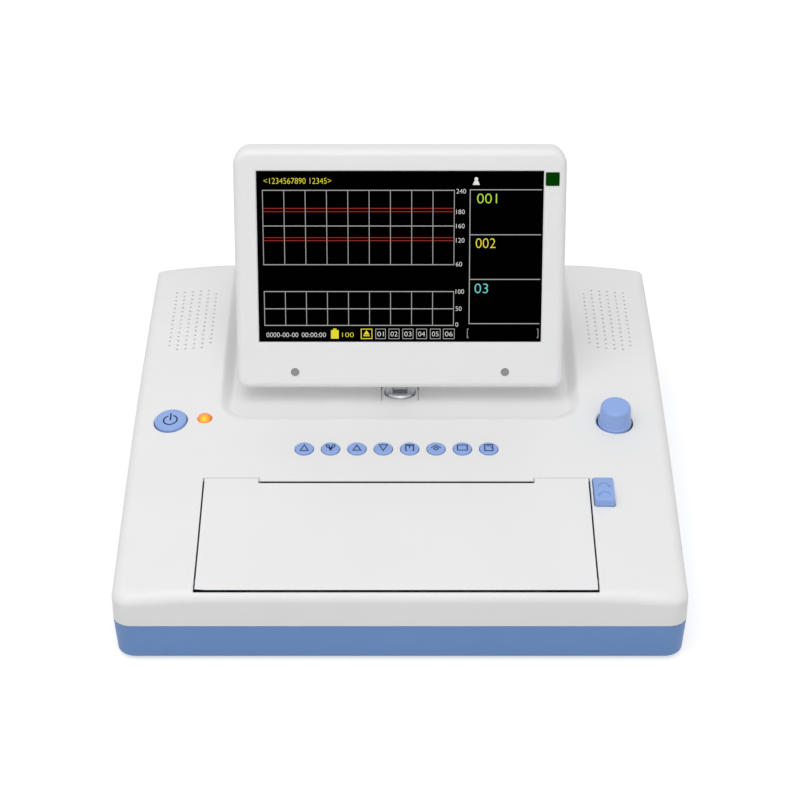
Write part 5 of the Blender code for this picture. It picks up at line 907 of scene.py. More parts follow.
class FinishSettings(bpy.types.PropertyGroup):
    white: FloatVectorProperty(name="White plastic", description="Colour of the housing, door and display",
                               default=(0.85, 0.85, 0.85), **COLOUR)
    case_blue: FloatVectorProperty(name="Case blue", description="Colour of the lower housing",
                                   default=(0.159, 0.295, 0.6), **COLOUR)
    key_blue: FloatVectorProperty(name="Key blue", description="Colour of the keys, buttons and dial",
                                  default=(0.285, 0.425, 0.8), **COLOUR)
    sign_ink: FloatVectorProperty(name="Sign ink", description="Colour of the printed signs",
                                  default=(0.012, 0.022, 0.07), **COLOUR)
    lamp_orange: FloatVectorProperty(name="Lamp orange", description="Colour of the status lamp",
                                     default=(0.95, 0.24, 0.0), **COLOUR)
    grain: FloatProperty(name="Grain", description="Depth of the moulded grain on the plastics",
                         default=0.012 * MM, min=0, max=0.1 * MM, unit="LENGTH", precision=6)
    mottle: FloatProperty(name="Mottle", description="How far a plastic's colour varies over its surface",
                          default=0.02, min=0, max=0.2, subtype="FACTOR")
    # Strength of the painted highlight: how much paler the plastics' convex edges are painted.
    wear: FloatProperty(name="Painted edge highlight", description="How much lighter the handled edges are",
                        default=0.25, min=0, max=1, subtype="FACTOR")


class StageSettings(bpy.types.PropertyGroup):
    lens: FloatProperty(name="Lens", description="Focal length for a 36 mm wide frame", default=100.96, min=20,
                        max=300, unit="CAMERA")
    key_power: FloatProperty(name="Soft light", description="Power of the large light above", default=14.2, min=0,
                             subtype="POWER", unit="POWER")
    fill_power: FloatProperty(name="Fill light", description="Power of the light in front", default=4.4, min=0,
                              subtype="POWER", unit="POWER")
    sky: FloatProperty(name="Surrounding light", description="Strength of the even light from all sides",
                       default=0.57, min=0, max=2)
    floor_size: FloatProperty(name="Floor", description="Length of each side of the floor", default=10.0, min=2,
                              unit="LENGTH")


TONE = (("Colour", "Color"), ("Mask", "Float"))
RELIEF = (("Height", "Float"), ("Roughness", "Float"))
SHAPE = (("Geometry", "Geometry"),)


def fill(made, values):
    for key, value in values.items():
        made.inputs[key].default_value = value
    return made


def node(tree, kind, values=None, **settings):
    made = tree.nodes.new(kind)
    for key, value in settings.items():
        setattr(made, key, value)
    return fill(made, values or {})


def maths(tree, operation, values=None):
    return node(tree, "ShaderNodeMath", values, operation=operation)


def wire(tree, *rows):
    """Joins sockets: each row names a node, its output, the next node and its input."""
    for source, out, target, into in rows:
        tree.links.new(source.outputs[out], target.inputs[into])


def new_group(name, inputs, outputs, kind="ShaderNodeTree"):
    """An empty node group with named sockets: (label, kind, default) in, (label, kind) out."""
    tree = bpy.data.node_groups.new(name, kind)
    for label, sort, *default in inputs:
        socket = tree.interface.new_socket(label, in_out="INPUT", socket_type="NodeSocket" + sort)
        if default:
            socket.default_value = default[0]
    for label, sort in outputs:
        tree.interface.new_socket(label, in_out="OUTPUT", socket_type="NodeSocket" + sort)
    return tree, node(tree, "NodeGroupInput"), node(tree, "NodeGroupOutput")


def moulded_grain():
    """Fine pits of a spark-eroded mould, and the uneven sheen that goes with them."""
    tree, given, result = new_group("Moulded grain", (
        ("Vector", "Vector"), ("Grain Scale", "Float", 1400.0), ("Roughness", "Float", 0.5),
        ("Spread", "Float", 0.08)), RELIEF)
    fine = node(tree, "ShaderNodeTexNoise", {"Detail": 2.0, "Roughness": 0.6})
    broad = node(tree, "ShaderNodeTexNoise", {"Scale": 38.0, "Detail": 3.0})
    spread = maths(tree, "MULTIPLY_ADD")
    low = maths(tree, "MULTIPLY_ADD", {1: -0.5})
    wire(tree, (given, "Vector", fine, "Vector"), (given, "Grain Scale", fine, "Scale"),
         (given, "Vector", broad, "Vector"), (given, "Spread", low, 0), (given, "Roughness", low, 2),
         (broad, "Fac", spread, 0), (given, "Spread", spread, 1), (low, 0, spread, 2), (fine, "Fac", result, "Height"),
         (spread, 0, result, "Roughness"))
    return tree


def soft_mottle():
    """Slow, faint changes of a colour over its surface, as dust and handling leave them."""
    tree, given, result = new_group("Soft mottle", (
        ("Vector", "Vector"), ("Colour", "Color", (0.8, 0.8, 0.8, 1)), ("Amount", "Float", 0.02),
        ("Scale", "Float", 22.0)), TONE)
    cloud = node(tree, "ShaderNodeTexNoise", {"Detail": 4.0, "Roughness": 0.55})
    shade = node(tree, "ShaderNodeMapRange", {"From Min": 0.3, "From Max": 0.7, "To Max": 1.0})
    dark = maths(tree, "SUBTRACT", {0: 1.0})
    tint = node(tree, "ShaderNodeVectorMath", operation="SCALE")
    wire(tree, (given, "Vector", cloud, "Vector"), (given, "Scale", cloud, "Scale"), (cloud, "Fac", shade, "Value"),
         (given, "Amount", dark, 1), (dark, 0, shade, "To Min"), (given, "Colour", tint, 0),
         (shade, "Result", tint, "Scale"), (tint, 0, result, "Colour"), (shade, "Result", result, "Mask"))
    return tree


def painted_edge_highlight():
    """A painted highlight: paler convex edges, picked out by pointiness and broken up by noise."""
    tree, given, result = new_group("Painted edge highlight", (
        ("Vector", "Vector"), ("Colour", "Color", (0.5, 0.5, 0.5, 1)), ("Worn Colour", "Color", (0.8, 0.8, 0.8, 1)),
        ("Amount", "Float", 0.25)), TONE)
    shape = node(tree, "ShaderNodeNewGeometry")
    edge = node(tree, "ShaderNodeMapRange", {"From Min": 0.52, "From Max": 0.62})
    breakup = node(tree, "ShaderNodeTexNoise", {"Scale": 320.0, "Detail": 3.0})
    broken = maths(tree, "MULTIPLY")
    amount = maths(tree, "MULTIPLY")
    mix = node(tree, "ShaderNodeMix", data_type="RGBA")
    wire(tree, (shape, "Pointiness", edge, "Value"), (given, "Vector", breakup, "Vector"), (edge, "Result", broken, 0),
         (breakup, "Fac", broken, 1), (broken, 0, amount, 0), (given, "Amount", amount, 1), (amount, 0, mix, "Factor"),
         (given, "Colour", mix, 6), (given, "Worn Colour", mix, 7), (mix, 2, result, "Colour"),
         (amount, 0, result, "Mask"))
    return tree


def brushed_lines():
    """Fine scratches along X, for brushed and turned metal."""
    tree, given, result = new_group("Brushed lines", (
        ("Vector", "Vector"), ("Roughness", "Float", 0.35), ("Spread", "Float", 0.15)), RELIEF)
    stretch = node(tree, "ShaderNodeMapping", {"Scale": (40.0, 1500.0, 1500.0)})
    lines = node(tree, "ShaderNodeTexNoise", {"Scale": 1.0, "Detail": 2.0})
    spread = maths(tree, "MULTIPLY_ADD")
    wire(tree, (given, "Vector", stretch, "Vector"), (stretch, "Vector", lines, "Vector"), (lines, "Fac", spread, 0),
         (given, "Spread", spread, 1), (given, "Roughness", spread, 2), (lines, "Fac", result, "Height"),
         (spread, 0, result, "Roughness"))
    return tree


def board_tracks():
    """Copper tracks and pads under a board's green varnish."""
    tree, given, result = new_group("Board tracks", (
        ("Vector", "Vector"), ("Colour", "Color", (0.02, 0.15, 0.06, 1)),
        ("Track Colour", "Color", (0.06, 0.3, 0.12, 1))), TONE)
    grid = node(tree, "ShaderNodeTexBrick", {"Scale": 130.0, "Mortar Size": 0.03, "Brick Width": 1.7,
                                             "Row Height": 0.35})
    mix = node(tree, "ShaderNodeMix", data_type="RGBA")
    wire(tree, (given, "Vector", grid, "Vector"), (grid, "Fac", mix, "Factor"), (given, "Colour", mix, 6),
         (given, "Track Colour", mix, 7), (mix, 2, result, "Colour"), (grid, "Fac", result, "Mask"))
    return tree


EFFECTS = {"Moulded grain": moulded_grain, "Soft mottle": soft_mottle, "Painted edge highlight": painted_edge_highlight,
           "Brushed lines": brushed_lines, "Board tracks": board_tracks}


def effect(tree, name, vector, **values):
    """Places a shared effect in a material, with its own values."""
    made = node(tree, "ShaderNodeGroup", node_tree=bpy.data.node_groups.get(name) or EFFECTS[name]())
    tree.links.new(vector, made.inputs["Vector"])
    return fill(made, {label.replace("_", " "): value for label, value in values.items()})


def new_material(name):
    made = bpy.data.materials.new(name)
    made.use_nodes = True
    tree = made.node_tree
    return made, tree, tree.nodes["Principled BSDF"], node(tree, "ShaderNodeTexCoord").outputs["Object"]


def grained(tree, shader, place, depth, kind="Moulded grain", **values):
    """Bumps a shader with an effect's height and takes its roughness."""
    source = effect(tree, kind, place, **values)
    bump = node(tree, "ShaderNodeBump", {"Strength": 1.0, "Distance": depth})
    wire(tree, (source, "Height", bump, "Height"), (bump, "Normal", shader, "Normal"),
         (source, "Roughness", shader, "Roughness"))


def plastic(name, colour, roughness, grain_scale=1400.0, highlight_amount=0.0, mottle=None, specular=0.5):
    made, tree, shader, place = new_material(name)
    finish = bpy.context.scene.ctg_finish
    last = effect(tree, "Soft mottle", place, Colour=(*colour, 1), Amount=finish.mottle if mottle is None else mottle)
    # Convex edges painted paler: a painted highlight.
    if highlight_amount:
        pale = [min(1, part * 1.5 + 0.05) for part in colour]
        wear = effect(tree, "Painted edge highlight", place, Worn_Colour=(*pale, 1), Amount=highlight_amount)
        wire(tree, (last, "Colour", wear, "Colour"))
        last = wear
    wire(tree, (last, "Colour", shader, "Base Color"))
    grained(tree, shader, place, finish.grain, Grain_Scale=grain_scale, Roughness=roughness)
    fill(shader, {"Specular IOR Level": specular})
    return made


def metal(name, colour, roughness):
    made, tree, shader, place = new_material(name)
    tone = effect(tree, "Soft mottle", place, Colour=(*colour, 1), Amount=0.08, Scale=60.0)
    wire(tree, (tone, "Colour", shader, "Base Color"))
    grained(tree, shader, place, 0.01 * MM, "Brushed lines", Roughness=roughness, Spread=0.12)
    fill(shader, {"Metallic": 1.0})
    return made


def board_finish(name, colour):
    made, tree, shader, place = new_material(name)
    tracks = effect(tree, "Board tracks", place, Colour=(*colour, 1),
                    Track_Colour=(*[min(1, part * 2.2) for part in colour], 1))
    wire(tree, (tracks, "Colour", shader, "Base Color"))
    grained(tree, shader, place, 0.01 * MM, Grain_Scale=700.0, Roughness=0.35)
    return made


def lamp_glow_with_painted_highlight(name, colour, centre, lit):
    """A lit lens that glows by itself, yellow about a spot near its front (a painted highlight, set where the glow
    looks brightest from the front), deep orange towards its edge.
    """
    made, tree, shader, place = new_material(name)
    turn = node(tree, "ShaderNodeMapping", {"Location": (-centre[0], LAMP_RADIUS * 0.4 - centre[1], -centre[2])})
    reach = node(tree, "ShaderNodeVectorMath", operation="LENGTH")
    ramp = node(tree, "ShaderNodeMapRange", {"From Min": LAMP_RADIUS * 0.25, "From Max": LAMP_RADIUS * 1.1})
    mix = node(tree, "ShaderNodeMix", data_type="RGBA")
    fill(mix, {6: (1.0, colour[1] * 2.4, 0.0, 1), 7: (colour[0] * 0.75, colour[1] * 0.25, 0.0, 1)})
    tree.links.new(place, turn.inputs["Vector"])
    wire(tree, (turn, "Vector", reach, 0), (reach, "Value", ramp, "Value"), (ramp, "Result", mix, "Factor"),
         (mix, 2, shader, "Base Color"), (mix, 2, shader, "Emission Color"))
    grained(tree, shader, place, 0.004 * MM, Grain_Scale=300.0, Roughness=0.2)
    fill(shader, {"Emission Strength": lit, "Coat Weight": 0.3})
    return made


def lit_ink(name, colour, strength):
    """The screen's lit dots: a colour that glows by itself, broken up a little by the pixel raster."""
    made, tree, shader, place = new_material(name)
    tone = effect(tree, "Soft mottle", place, Colour=(*colour, 1), Amount=0.12, Scale=2500.0)
    wire(tree, (tone, "Colour", shader, "Emission Color"))
    fill(shader, {"Base Color": (0.001, 0.001, 0.001, 1), "Emission Strength": strength, "Specular IOR Level": 0.02,
                  "Roughness": 0.4})
    return made


def finish_of(name):
    """The material of that name, made at its first use."""
    look = "look_" + name
    scene = bpy.context.scene
    finish, screen = scene.ctg_finish, scene.ctg_screen
    if look in bpy.data.materials:
        return bpy.data.materials[look]
    if name.startswith("lit_"):
        return lit_ink(look, getattr(screen, name[4:]), screen.brightness)
    makers = {
        "white_plastic": lambda: plastic(look, finish.white, 0.42, specular=0.35),
        "blue_case_plastic": lambda: plastic(look, finish.case_blue, 0.45, highlight_amount=finish.wear * 0.5, specular=0.35),
        "blue_key_plastic": lambda: plastic(look, finish.key_blue, 0.4, 2200.0, highlight_amount=finish.wear, specular=0.35),
        "dark_rubber": lambda: plastic(look, (0.028, 0.028, 0.03), 0.8, 600.0, mottle=0.3),
        "green_board": lambda: board_finish(look, (0.02, 0.16, 0.065)),
        "dark_plastic": lambda: plastic(look, (0.04, 0.04, 0.044), 0.5, 900.0, mottle=0.25),
        "plain_steel": lambda: metal(look, (0.55, 0.56, 0.58), 0.3),
        "plain_aluminium": lambda: metal(look, (0.72, 0.72, 0.74), 0.35),
        "plain_brass": lambda: metal(look, (0.75, 0.58, 0.25), 0.3),
        "grey_plastic": lambda: plastic(look, (0.28, 0.28, 0.285), 0.5, 1000.0, mottle=0.06),
        "light_grey_plastic": lambda: plastic(look, (0.55, 0.55, 0.55), 0.5, 1000.0, mottle=0.06),
        "orange_lens": lambda: lamp_glow_with_painted_highlight(look, finish.lamp_orange, LAMP_PLACE.translation, 0.35),
        "green_lens": lambda: plastic(look, (0.0, 0.057, 0.0003), 0.25, 500.0, mottle=0.2, specular=0.0),
        "screen_glass": lambda: plastic(look, (0.0003, 0.0003, 0.0003), 0.3, 300.0, mottle=0.3, specular=0.0),
        "sign_ink": lambda: plastic(look, finish.sign_ink, 0.5, 2500.0, mottle=0.2, specular=0.2),
    }
    return makers[name]()


def settle(piece, name, finish, body="chassis", nodes=(), smooth=32):
    """Names a piece and gives it its finish; it stands for the nodes and rides on the body."""
    if not piece.data.polygons:
        raise RuntimeError(f"{name} came out empty")
    piece.name = name
    piece.data.name = name
    piece.data.materials.clear()
    piece.data.materials.append(finish_of(finish))
    piece.data.shade_smooth()
    piece.data.set_sharp_from_angle(angle=radians(smooth))
    if nodes:
        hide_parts(*nodes)
    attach(piece, body)
    return piece


def soften(piece, width, segments=2, angle=50):
    """Rounds the hard edges of a piece."""
    step = piece.modifiers.new("soft edges", "BEVEL")
    step.width = width
    step.segments = segments
    step.limit_method = "ANGLE"
    step.angle_limit = radians(angle)
    return applied(piece)


def gathered(name, pieces):
    """One object from pieces that don't touch."""
    shape = bmesh.new()
    for piece in pieces:
        shape.from_mesh(piece.data)
        bpy.data.objects.remove(piece)
    mesh = bpy.data.meshes.new(name)
    shape.to_mesh(mesh)
    shape.free()
    return add_object(name, mesh)


def flared_hole(radius, deep, chamfer, steps=ROUND_STEPS):
    """A round hole's tool that opens at 45 degrees at the surface, which lies at height 0."""
    above = OVERRUN / 2
    return lathe("hole", ((0, -deep), (radius, -deep), (radius, -chamfer), (radius + chamfer + above, above),
                          (0, above)), steps)


def flared_slot(half_x, half_y, corner, deep, chamfer):
    above = OVERRUN / 2
    rings = []
    for grow, height in ((0, -deep), (0, -chamfer), (chamfer + above, above)):
        outline = centred_rectangle(half_x + grow, half_y + grow, corner + grow, 6)
        rings.append([(x, y, height) for x, y in outline])
    return loft("slot", rings)


def close_tree(tree, given, result, stand):
    """Ends a tree in plain geometry that carries its material."""
    real = node(tree, "GeometryNodeRealizeInstances")
    paint = node(tree, "GeometryNodeSetMaterial")
    wire(tree, (stand, "Instances", real, "Geometry"), (real, "Geometry", paint, "Geometry"),
         (given, "Material", paint, "Material"), (paint, "Geometry", result, "Geometry"))
    return tree


def grille_tree():
    """Pins through the deck in a grid with three open corners, each one set on the surface below it."""
    tree, given, result = new_group("Grille pins", (
        ("Columns", "Int", GRILLE_COLUMNS), ("Rows", "Int", GRILLE_ROWS), ("Width", "Float", 0.02),
        ("Length", "Float", 0.06), ("Centre", "Vector"), ("Side", "Float", 1.0), ("Radius", "Float", 0.001),
        ("Depth", "Float", 0.01), ("Surface", "Object"), ("Material", "Material")), SHAPE, "GeometryNodeTree")
    grid = node(tree, "GeometryNodeMeshGrid")
    last_column = maths(tree, "SUBTRACT", {1: 1.0})
    last_row = maths(tree, "SUBTRACT", {1: 1.0})
    far_corner = maths(tree, "MULTIPLY")
    wire(tree, (given, "Width", grid, "Size X"), (given, "Length", grid, "Size Y"),
         (given, "Columns", grid, "Vertices X"), (given, "Rows", grid, "Vertices Y"),
         (given, "Columns", last_column, 0), (given, "Rows", last_row, 0), (last_column, 0, far_corner, 0),
         (given, "Rows", far_corner, 1))
    index = node(tree, "GeometryNodeInputIndex")
    tests = [node(tree, "FunctionNodeCompare", data_type="INT", operation="EQUAL") for _ in range(3)]
    either = node(tree, "FunctionNodeBooleanMath", operation="OR")
    any_of = node(tree, "FunctionNodeBooleanMath", operation="OR")
    drop = node(tree, "GeometryNodeDeleteGeometry")
    wire(tree, *[(index, 0, test, "A") for test in tests], (last_row, 0, tests[1], "B"),
         (far_corner, 0, tests[2], "B"), (tests[0], "Result", either, 0), (tests[1], "Result", either, 1),
         (either, 0, any_of, 0), (tests[2], "Result", any_of, 1), (grid, "Mesh", drop, "Geometry"),
         (any_of, 0, drop, "Selection"))
    mirror = node(tree, "ShaderNodeCombineXYZ", {"Y": 1.0, "Z": 1.0})
    shift = node(tree, "GeometryNodeTransform")
    surface = node(tree, "GeometryNodeObjectInfo")
    drop_line = node(tree, "GeometryNodeRaycast", {"Ray Direction": (0, 0, -1), "Ray Length": 1.0})
    rest = node(tree, "GeometryNodeSetPosition")
    pin = node(tree, "GeometryNodeMeshCylinder", {"Vertices": 10})
    stand = node(tree, "GeometryNodeInstanceOnPoints")
    wire(tree, (given, "Side", mirror, "X"), (drop, "Geometry", shift, "Geometry"), (mirror, "Vector", shift, "Scale"),
         (given, "Centre", shift, "Translation"), (given, "Surface", surface, "Object"),
         (surface, "Geometry", drop_line, "Target Geometry"), (shift, "Geometry", rest, "Geometry"),
         (drop_line, "Hit Position", rest, "Position"), (given, "Radius", pin, "Radius"),
         (given, "Depth", pin, "Depth"), (rest, "Geometry", stand, "Points"), (pin, "Mesh", stand, "Instance"))
    return close_tree(tree, given, result, stand)


def contacts_tree():
    """A ring of round contact pins along Z."""
    tree, given, result = new_group("Contact ring", (
        ("Count", "Int", 6), ("Ring Radius", "Float", 0.003), ("Pin Radius", "Float", 0.0004),
        ("Length", "Float", 0.004), ("Material", "Material")), SHAPE, "GeometryNodeTree")
    ring = node(tree, "GeometryNodeMeshCircle")
    pin = node(tree, "GeometryNodeMeshCylinder", {"Vertices": 12})
    stand = node(tree, "GeometryNodeInstanceOnPoints")
    wire(tree, (given, "Count", ring, "Vertices"), (given, "Ring Radius", ring, "Radius"),
         (given, "Pin Radius", pin, "Radius"), (given, "Length", pin, "Depth"), (ring, "Mesh", stand, "Points"),
         (pin, "Mesh", stand, "Instance"))
    return close_tree(tree, given, result, stand)


def repeat_tree():
    """Sets a shape out on the points of the piece that carries the tree."""
    tree, given, result = new_group("Set out on points", (
        ("Points", "Geometry"), ("Shape", "Object"), ("Material", "Material")), SHAPE, "GeometryNodeTree")
    shape = node(tree, "GeometryNodeObjectInfo")
    stand = node(tree, "GeometryNodeInstanceOnPoints")
    wire(tree, (given, "Shape", shape, "Object"), (given, "Points", stand, "Points"),
         (shape, "Geometry", stand, "Instance"))
    return close_tree(tree, given, result, stand)


TREES = {"Grille pins": grille_tree, "Contact ring": contacts_tree, "Set out on points": repeat_tree}


def grown(name, tree_name, values, points=()):
    """What a tree makes, as one plain mesh."""
    tree = bpy.data.node_groups.get(tree_name) or TREES[tree_name]()
    mesh = bpy.data.meshes.new(name)
    mesh.from_pydata(list(points), [], [])
    holder = add_object(name, mesh)
    step = holder.modifiers.new(tree_name, "NODES")
    step.node_group = tree
    for item in tree.interface.items_tree:
        if item.in_out == "INPUT" and item.name in values:
            step[item.identifier] = values[item.name]
    return applied(holder)


def make_top_housing(sizes):
    chamfer = sizes.hole_chamfer
    cavity = housing_solid("cavity", WALL, SEAM_HEIGHT - OVERRUN, COARSE)
    cut(cavity, recess_solid("recess pan", WALL, COARSE))
    for x, y in post_places():
        cut(cavity, shifted(rod("post", POST_RADIUS, SEAM_HEIGHT - OVERRUN, DECK_REAR_HEIGHT, 24), x, y))
    for board, x, y in board_boss_places():
        boss = rod("boss", BOARD_BOSS_RADIUS, -CONTROL_BOARD_DROP + GAP, 0, 24)
        cut(cavity, moved(boss, board @ Matrix.Translation((x, y, 0))))
    for side in (-1, 1):
        collar = prism("collar", speaker_outline(0), "Z", SPEAKER_TOP + GAP, DECK_REAR_HEIGHT)
        cut(collar, prism("collar bore", speaker_outline(COLLAR_THICKNESS), "Z", SPEAKER_TOP,
                          DECK_REAR_HEIGHT + OVERRUN))
        cut(cavity, shifted(collar, side * SPEAKER_X, SPEAKER_Y))
        inner = PRINTER_X + side * (OPENING_HALF + DOOR_LIP_EXTRA + GAP)
        outline = hanger_outline(DOOR_AXIS_Y, DOOR_AXIS_HEIGHT, HINGE_BOSS_RADIUS)
        cut(cavity, prism("hinge boss", outline, "X", inner, inner + side * HINGE_BOSS_WIDTH))
    housing = cut(housing_solid("top", 0, SEAM_HEIGHT), recess_solid("recess", 0))
    pins = []
    for side in (-1, 1):
        pins.append(grown("grille pins", "Grille pins", {
            "Columns": sizes.grille_columns, "Rows": sizes.grille_rows,
            "Width": GRILLE_COLUMN_PITCH * (sizes.grille_columns - 1),
            "Length": GRILLE_ROW_PITCH * (sizes.grille_rows - 1), "Side": float(side),
            "Centre": (side * (SPEAKER_X + GRILLE_SHIFT), SPEAKER_Y, 2 * DECK_REAR_HEIGHT),
            "Radius": sizes.grille_radius, "Depth": 4 * WALL, "Surface": housing}))
    cut(housing, cavity)
    opening_low = DOOR_LIP_HEIGHT + DOOR_LIFT - DOOR_LIP_GAP
    rear = DOOR_REAR_Y + DOOR_REAR_SHIFT + DOOR_REAR_GAP
    half = SLOT_HALF - SLOT_END
    opening = door_envelope("opening", opening_low, OPENING_HALF, rear)
    cut(opening, block("tongue", (PRINTER_X - half, rear - SLOT_SETBACK, 0),
                       (PRINTER_X + half, rear + OVERRUN, DECK_REAR_HEIGHT + OVERRUN)))
    cut(housing, opening)
    drill(housing, lip_reach() + LIP_RELIEF, OPENING_HALF - GAP / 2, DOOR_AXIS, 96)
    boss_reach = OPENING_HALF + DOOR_LIP_EXTRA + GAP + HINGE_BOSS_WIDTH + OVERRUN
    drill(housing, PIN_RADIUS + BORE_GAP, boss_reach, DOOR_AXIS)
    cut(housing, gathered("deck tools", deck_tools(chamfer) + pins))
    cut(housing, gathered("wall tools", wall_tools(chamfer)))
    settle(housing, "upper_housing", "white_plastic", nodes=["top_housing"], smooth=34)
    # A thin dark strip on the tongue's front face in the paper slot: painted shade, standing in for the dark inside of
    # the slot.
    y = rear - SLOT_SETBACK
    high = deck_height(0, y) - 0.3 * MM
    half = SLOT_HALF - SLOT_END - GAP
    bar = block("bar", (PRINTER_X - half, y - 0.45 * MM, high - 7 * MM), (PRINTER_X + half, y - 0.02 * MM, high))
    settle(bar, "tear_bar", "dark_plastic")


def deck_tools(chamfer):
    """Tools for the holes of keys, power button, lamp, dial, release button, hinge post and its two slits."""
    deep = CONTROL_BOARD_DROP / 2
    holes = [(KEY_RADIUS + GAP / 6, 48, key_place(index)) for index in range(KEY_COUNT)]
    holes += [(POWER_RADIUS + GAP, ROUND_STEPS, POWER_PLACE), (LAMP_RADIUS + GAP, 40, LAMP_PLACE),
              (DIAL_FOOT_RADIUS + DIAL_GAP, ROUND_STEPS, DIAL_PLACE)]
    tools = [moved(flared_hole(radius, deep, chamfer, steps), place) for radius, steps, place in holes]
    tools.append(moved(flared_slot(RELEASE_WIDTH / 2 + BUTTON_GAP, RELEASE_HALF + BUTTON_GAP,
                                   RELEASE_CORNER + BUTTON_GAP, deep, chamfer), release_place()))
    low = RECESS_FLOOR_HEIGHT - 2 * WALL
    high = RECESS_FLOOR_HEIGHT + 2 * WALL
    tools.append(shifted(rod("post hole", POST_DOME_RADIUS + POST_HOLE_CLEARANCE, low, high), 0, TILT_AXIS_Y))
    for side in (-1, 1):
        x = side * SLIT_X
        tools.append(block("slit", (x - SLIT_WIDTH / 2, TILT_AXIS_Y - SLIT_AHEAD, low),
                           (x + SLIT_WIDTH / 2, TILT_AXIS_Y + SLIT_LENGTH, high)))
    return tools


def wall_tools(chamfer):
    """Tools for the holes of the sockets in the left side, the rear wall's fittings and the case screws."""
    tools = []
    for index in range(SOCKET_COUNT):
        tools.append(moved(flared_hole(SOCKET_RADIUS + GAP, 2 * WALL, chamfer, 48), socket_place(index)))
    for x, radius in ((INLET_X, INLET_RADIUS), (EARTH_X, EARTH_RADIUS + EARTH_WELL)):
        tools.append(moved(flared_hole(radius + GAP, 2 * WALL, chamfer, 48), rear_place(x)))
    tools.append(moved(flared_slot(DATA_WIDTH / 2 + GAP, DATA_HEIGHT / 2 + GAP, GAP, 2 * WALL, chamfer),
                       rear_place(DATA_X)))
    for x, y in post_places():
        hole = rod("hole", SCREW_HOLE_RADIUS, SEAM_HEIGHT - OVERRUN, SEAM_HEIGHT + 4 * OVERRUN, 16)
        tools.append(shifted(hole, x, y))
    return tools


def make_base():
    """The blue tub: tapered wall, rounded bottom edge, a tongue that the upper housing fits over, and its posts."""
    rim = SEAM_HEIGHT - GAP
    rings = []
    for up, across in quarter(8):
        inset = BASE_TAPER + BASE_EDGE_RADIUS * across
        rings.append(base_ring(inset, BASE_BOTTOM + BASE_EDGE_RADIUS * up, inset / 2))
    rings.append(base_ring(0, rim, 0))
    tongue = WALL + GAP
    rings.append(base_ring(tongue, rim, tongue))
    rings.append(base_ring(tongue, rim + TONGUE_HEIGHT, tongue))
    rows = outline_rows(len(rings[0]), CORNER_STEPS, 1)
    base = loft("base", rings, rows)
    inner = [base_ring(BASE_WALL + BASE_TAPER, FLOOR_TOP, BASE_WALL),
             base_ring(BASE_WALL, rim + TONGUE_HEIGHT + OVERRUN, BASE_WALL)]
    inside = loft("inside", inner, rows)
    for x, y in post_places():
        cut(inside, shifted(rod("post", POST_RADIUS + WALL, 0, rim, 24), x, y))
    for x, y in board_corner_places():
        cut(inside, shifted(rod("standoff", STANDOFF_RADIUS, 0, FLOOR_TOP + STANDOFF_HEIGHT, 24), x, y))
    cut(base, inside)
    for x, y in post_places():
        head = rod("screw head", SCREW_HEAD_RADIUS, 0, FOOT_HEIGHT + SCREW_HEAD_DEPTH, 32)
        shank = rod("screw shank", SCREW_HOLE_RADIUS, 0, rim + OVERRUN, 16)
        cut(base, shifted(join(head, shank), x, y))
    for x, y in foot_places():
        cut(base, shifted(rod("pocket", FOOT_RADIUS + GAP, 0, FOOT_HEIGHT + FOOT_POCKET, 48), x, y))
    settle(base, "lower_housing", "blue_case_plastic", nodes=["base_housing"])


def make_feet_and_screws():
    """Four rubber feet and four cross-head screws, each set out on its own four places."""
    top = FOOT_HEIGHT + FOOT_POCKET - GAP
    foot = lathe("foot shape", ((0, FOOT_TAPER / 2), (FOOT_RADIUS / 2, FOOT_TAPER / 2), (FOOT_RADIUS * 0.6, 0),
                                (FOOT_RADIUS - FOOT_TAPER, 0), (FOOT_RADIUS - FOOT_TAPER / 3, FOOT_TAPER / 3),
                                (FOOT_RADIUS, FOOT_TAPER), (FOOT_RADIUS, top), (0, top)), 48)
    feet = grown("feet", "Set out on points", {"Shape": foot, "Material": finish_of("dark_rubber")},
                 [(x, y, 0) for x, y in foot_places()])
    bpy.data.objects.remove(foot)
    settle(feet, "rubber_feet", "dark_rubber", nodes=["foot_front_left", "foot_front_right", "foot_rear_left",
                                                      "foot_rear_right"])
    head_top = FOOT_HEIGHT + SCREW_HEAD_DEPTH - GAP
    head_low = head_top - SCREW_HEAD_THICKNESS
    head = SCREW_HEAD_RADIUS - GAP
    shank = SCREW_HOLE_RADIUS - GAP
    tip = head_top + SCREW_LENGTH
    screw = lathe("screw shape", ((0, head_low), (head - GAP, head_low), (head, head_low + GAP), (head, head_top),
                                  (shank, head_top), (shank, tip), (0, tip)), 32)
    for half_x, half_y in ((head * 0.62, GAP), (GAP, head * 0.62)):
        cut(screw, block("cross", (-half_x, -half_y, head_low - GAP), (half_x, half_y, head_low + SCREW_SOCKET)))
    screws = grown("screws", "Set out on points", {"Shape": screw, "Material": finish_of("plain_steel")},
                   [(x, y, 0) for x, y in post_places()])
    bpy.data.objects.remove(screw)
    settle(screws, "case_screws", "plain_steel", nodes=[f"case_screw_{index + 1}" for index in range(4)])


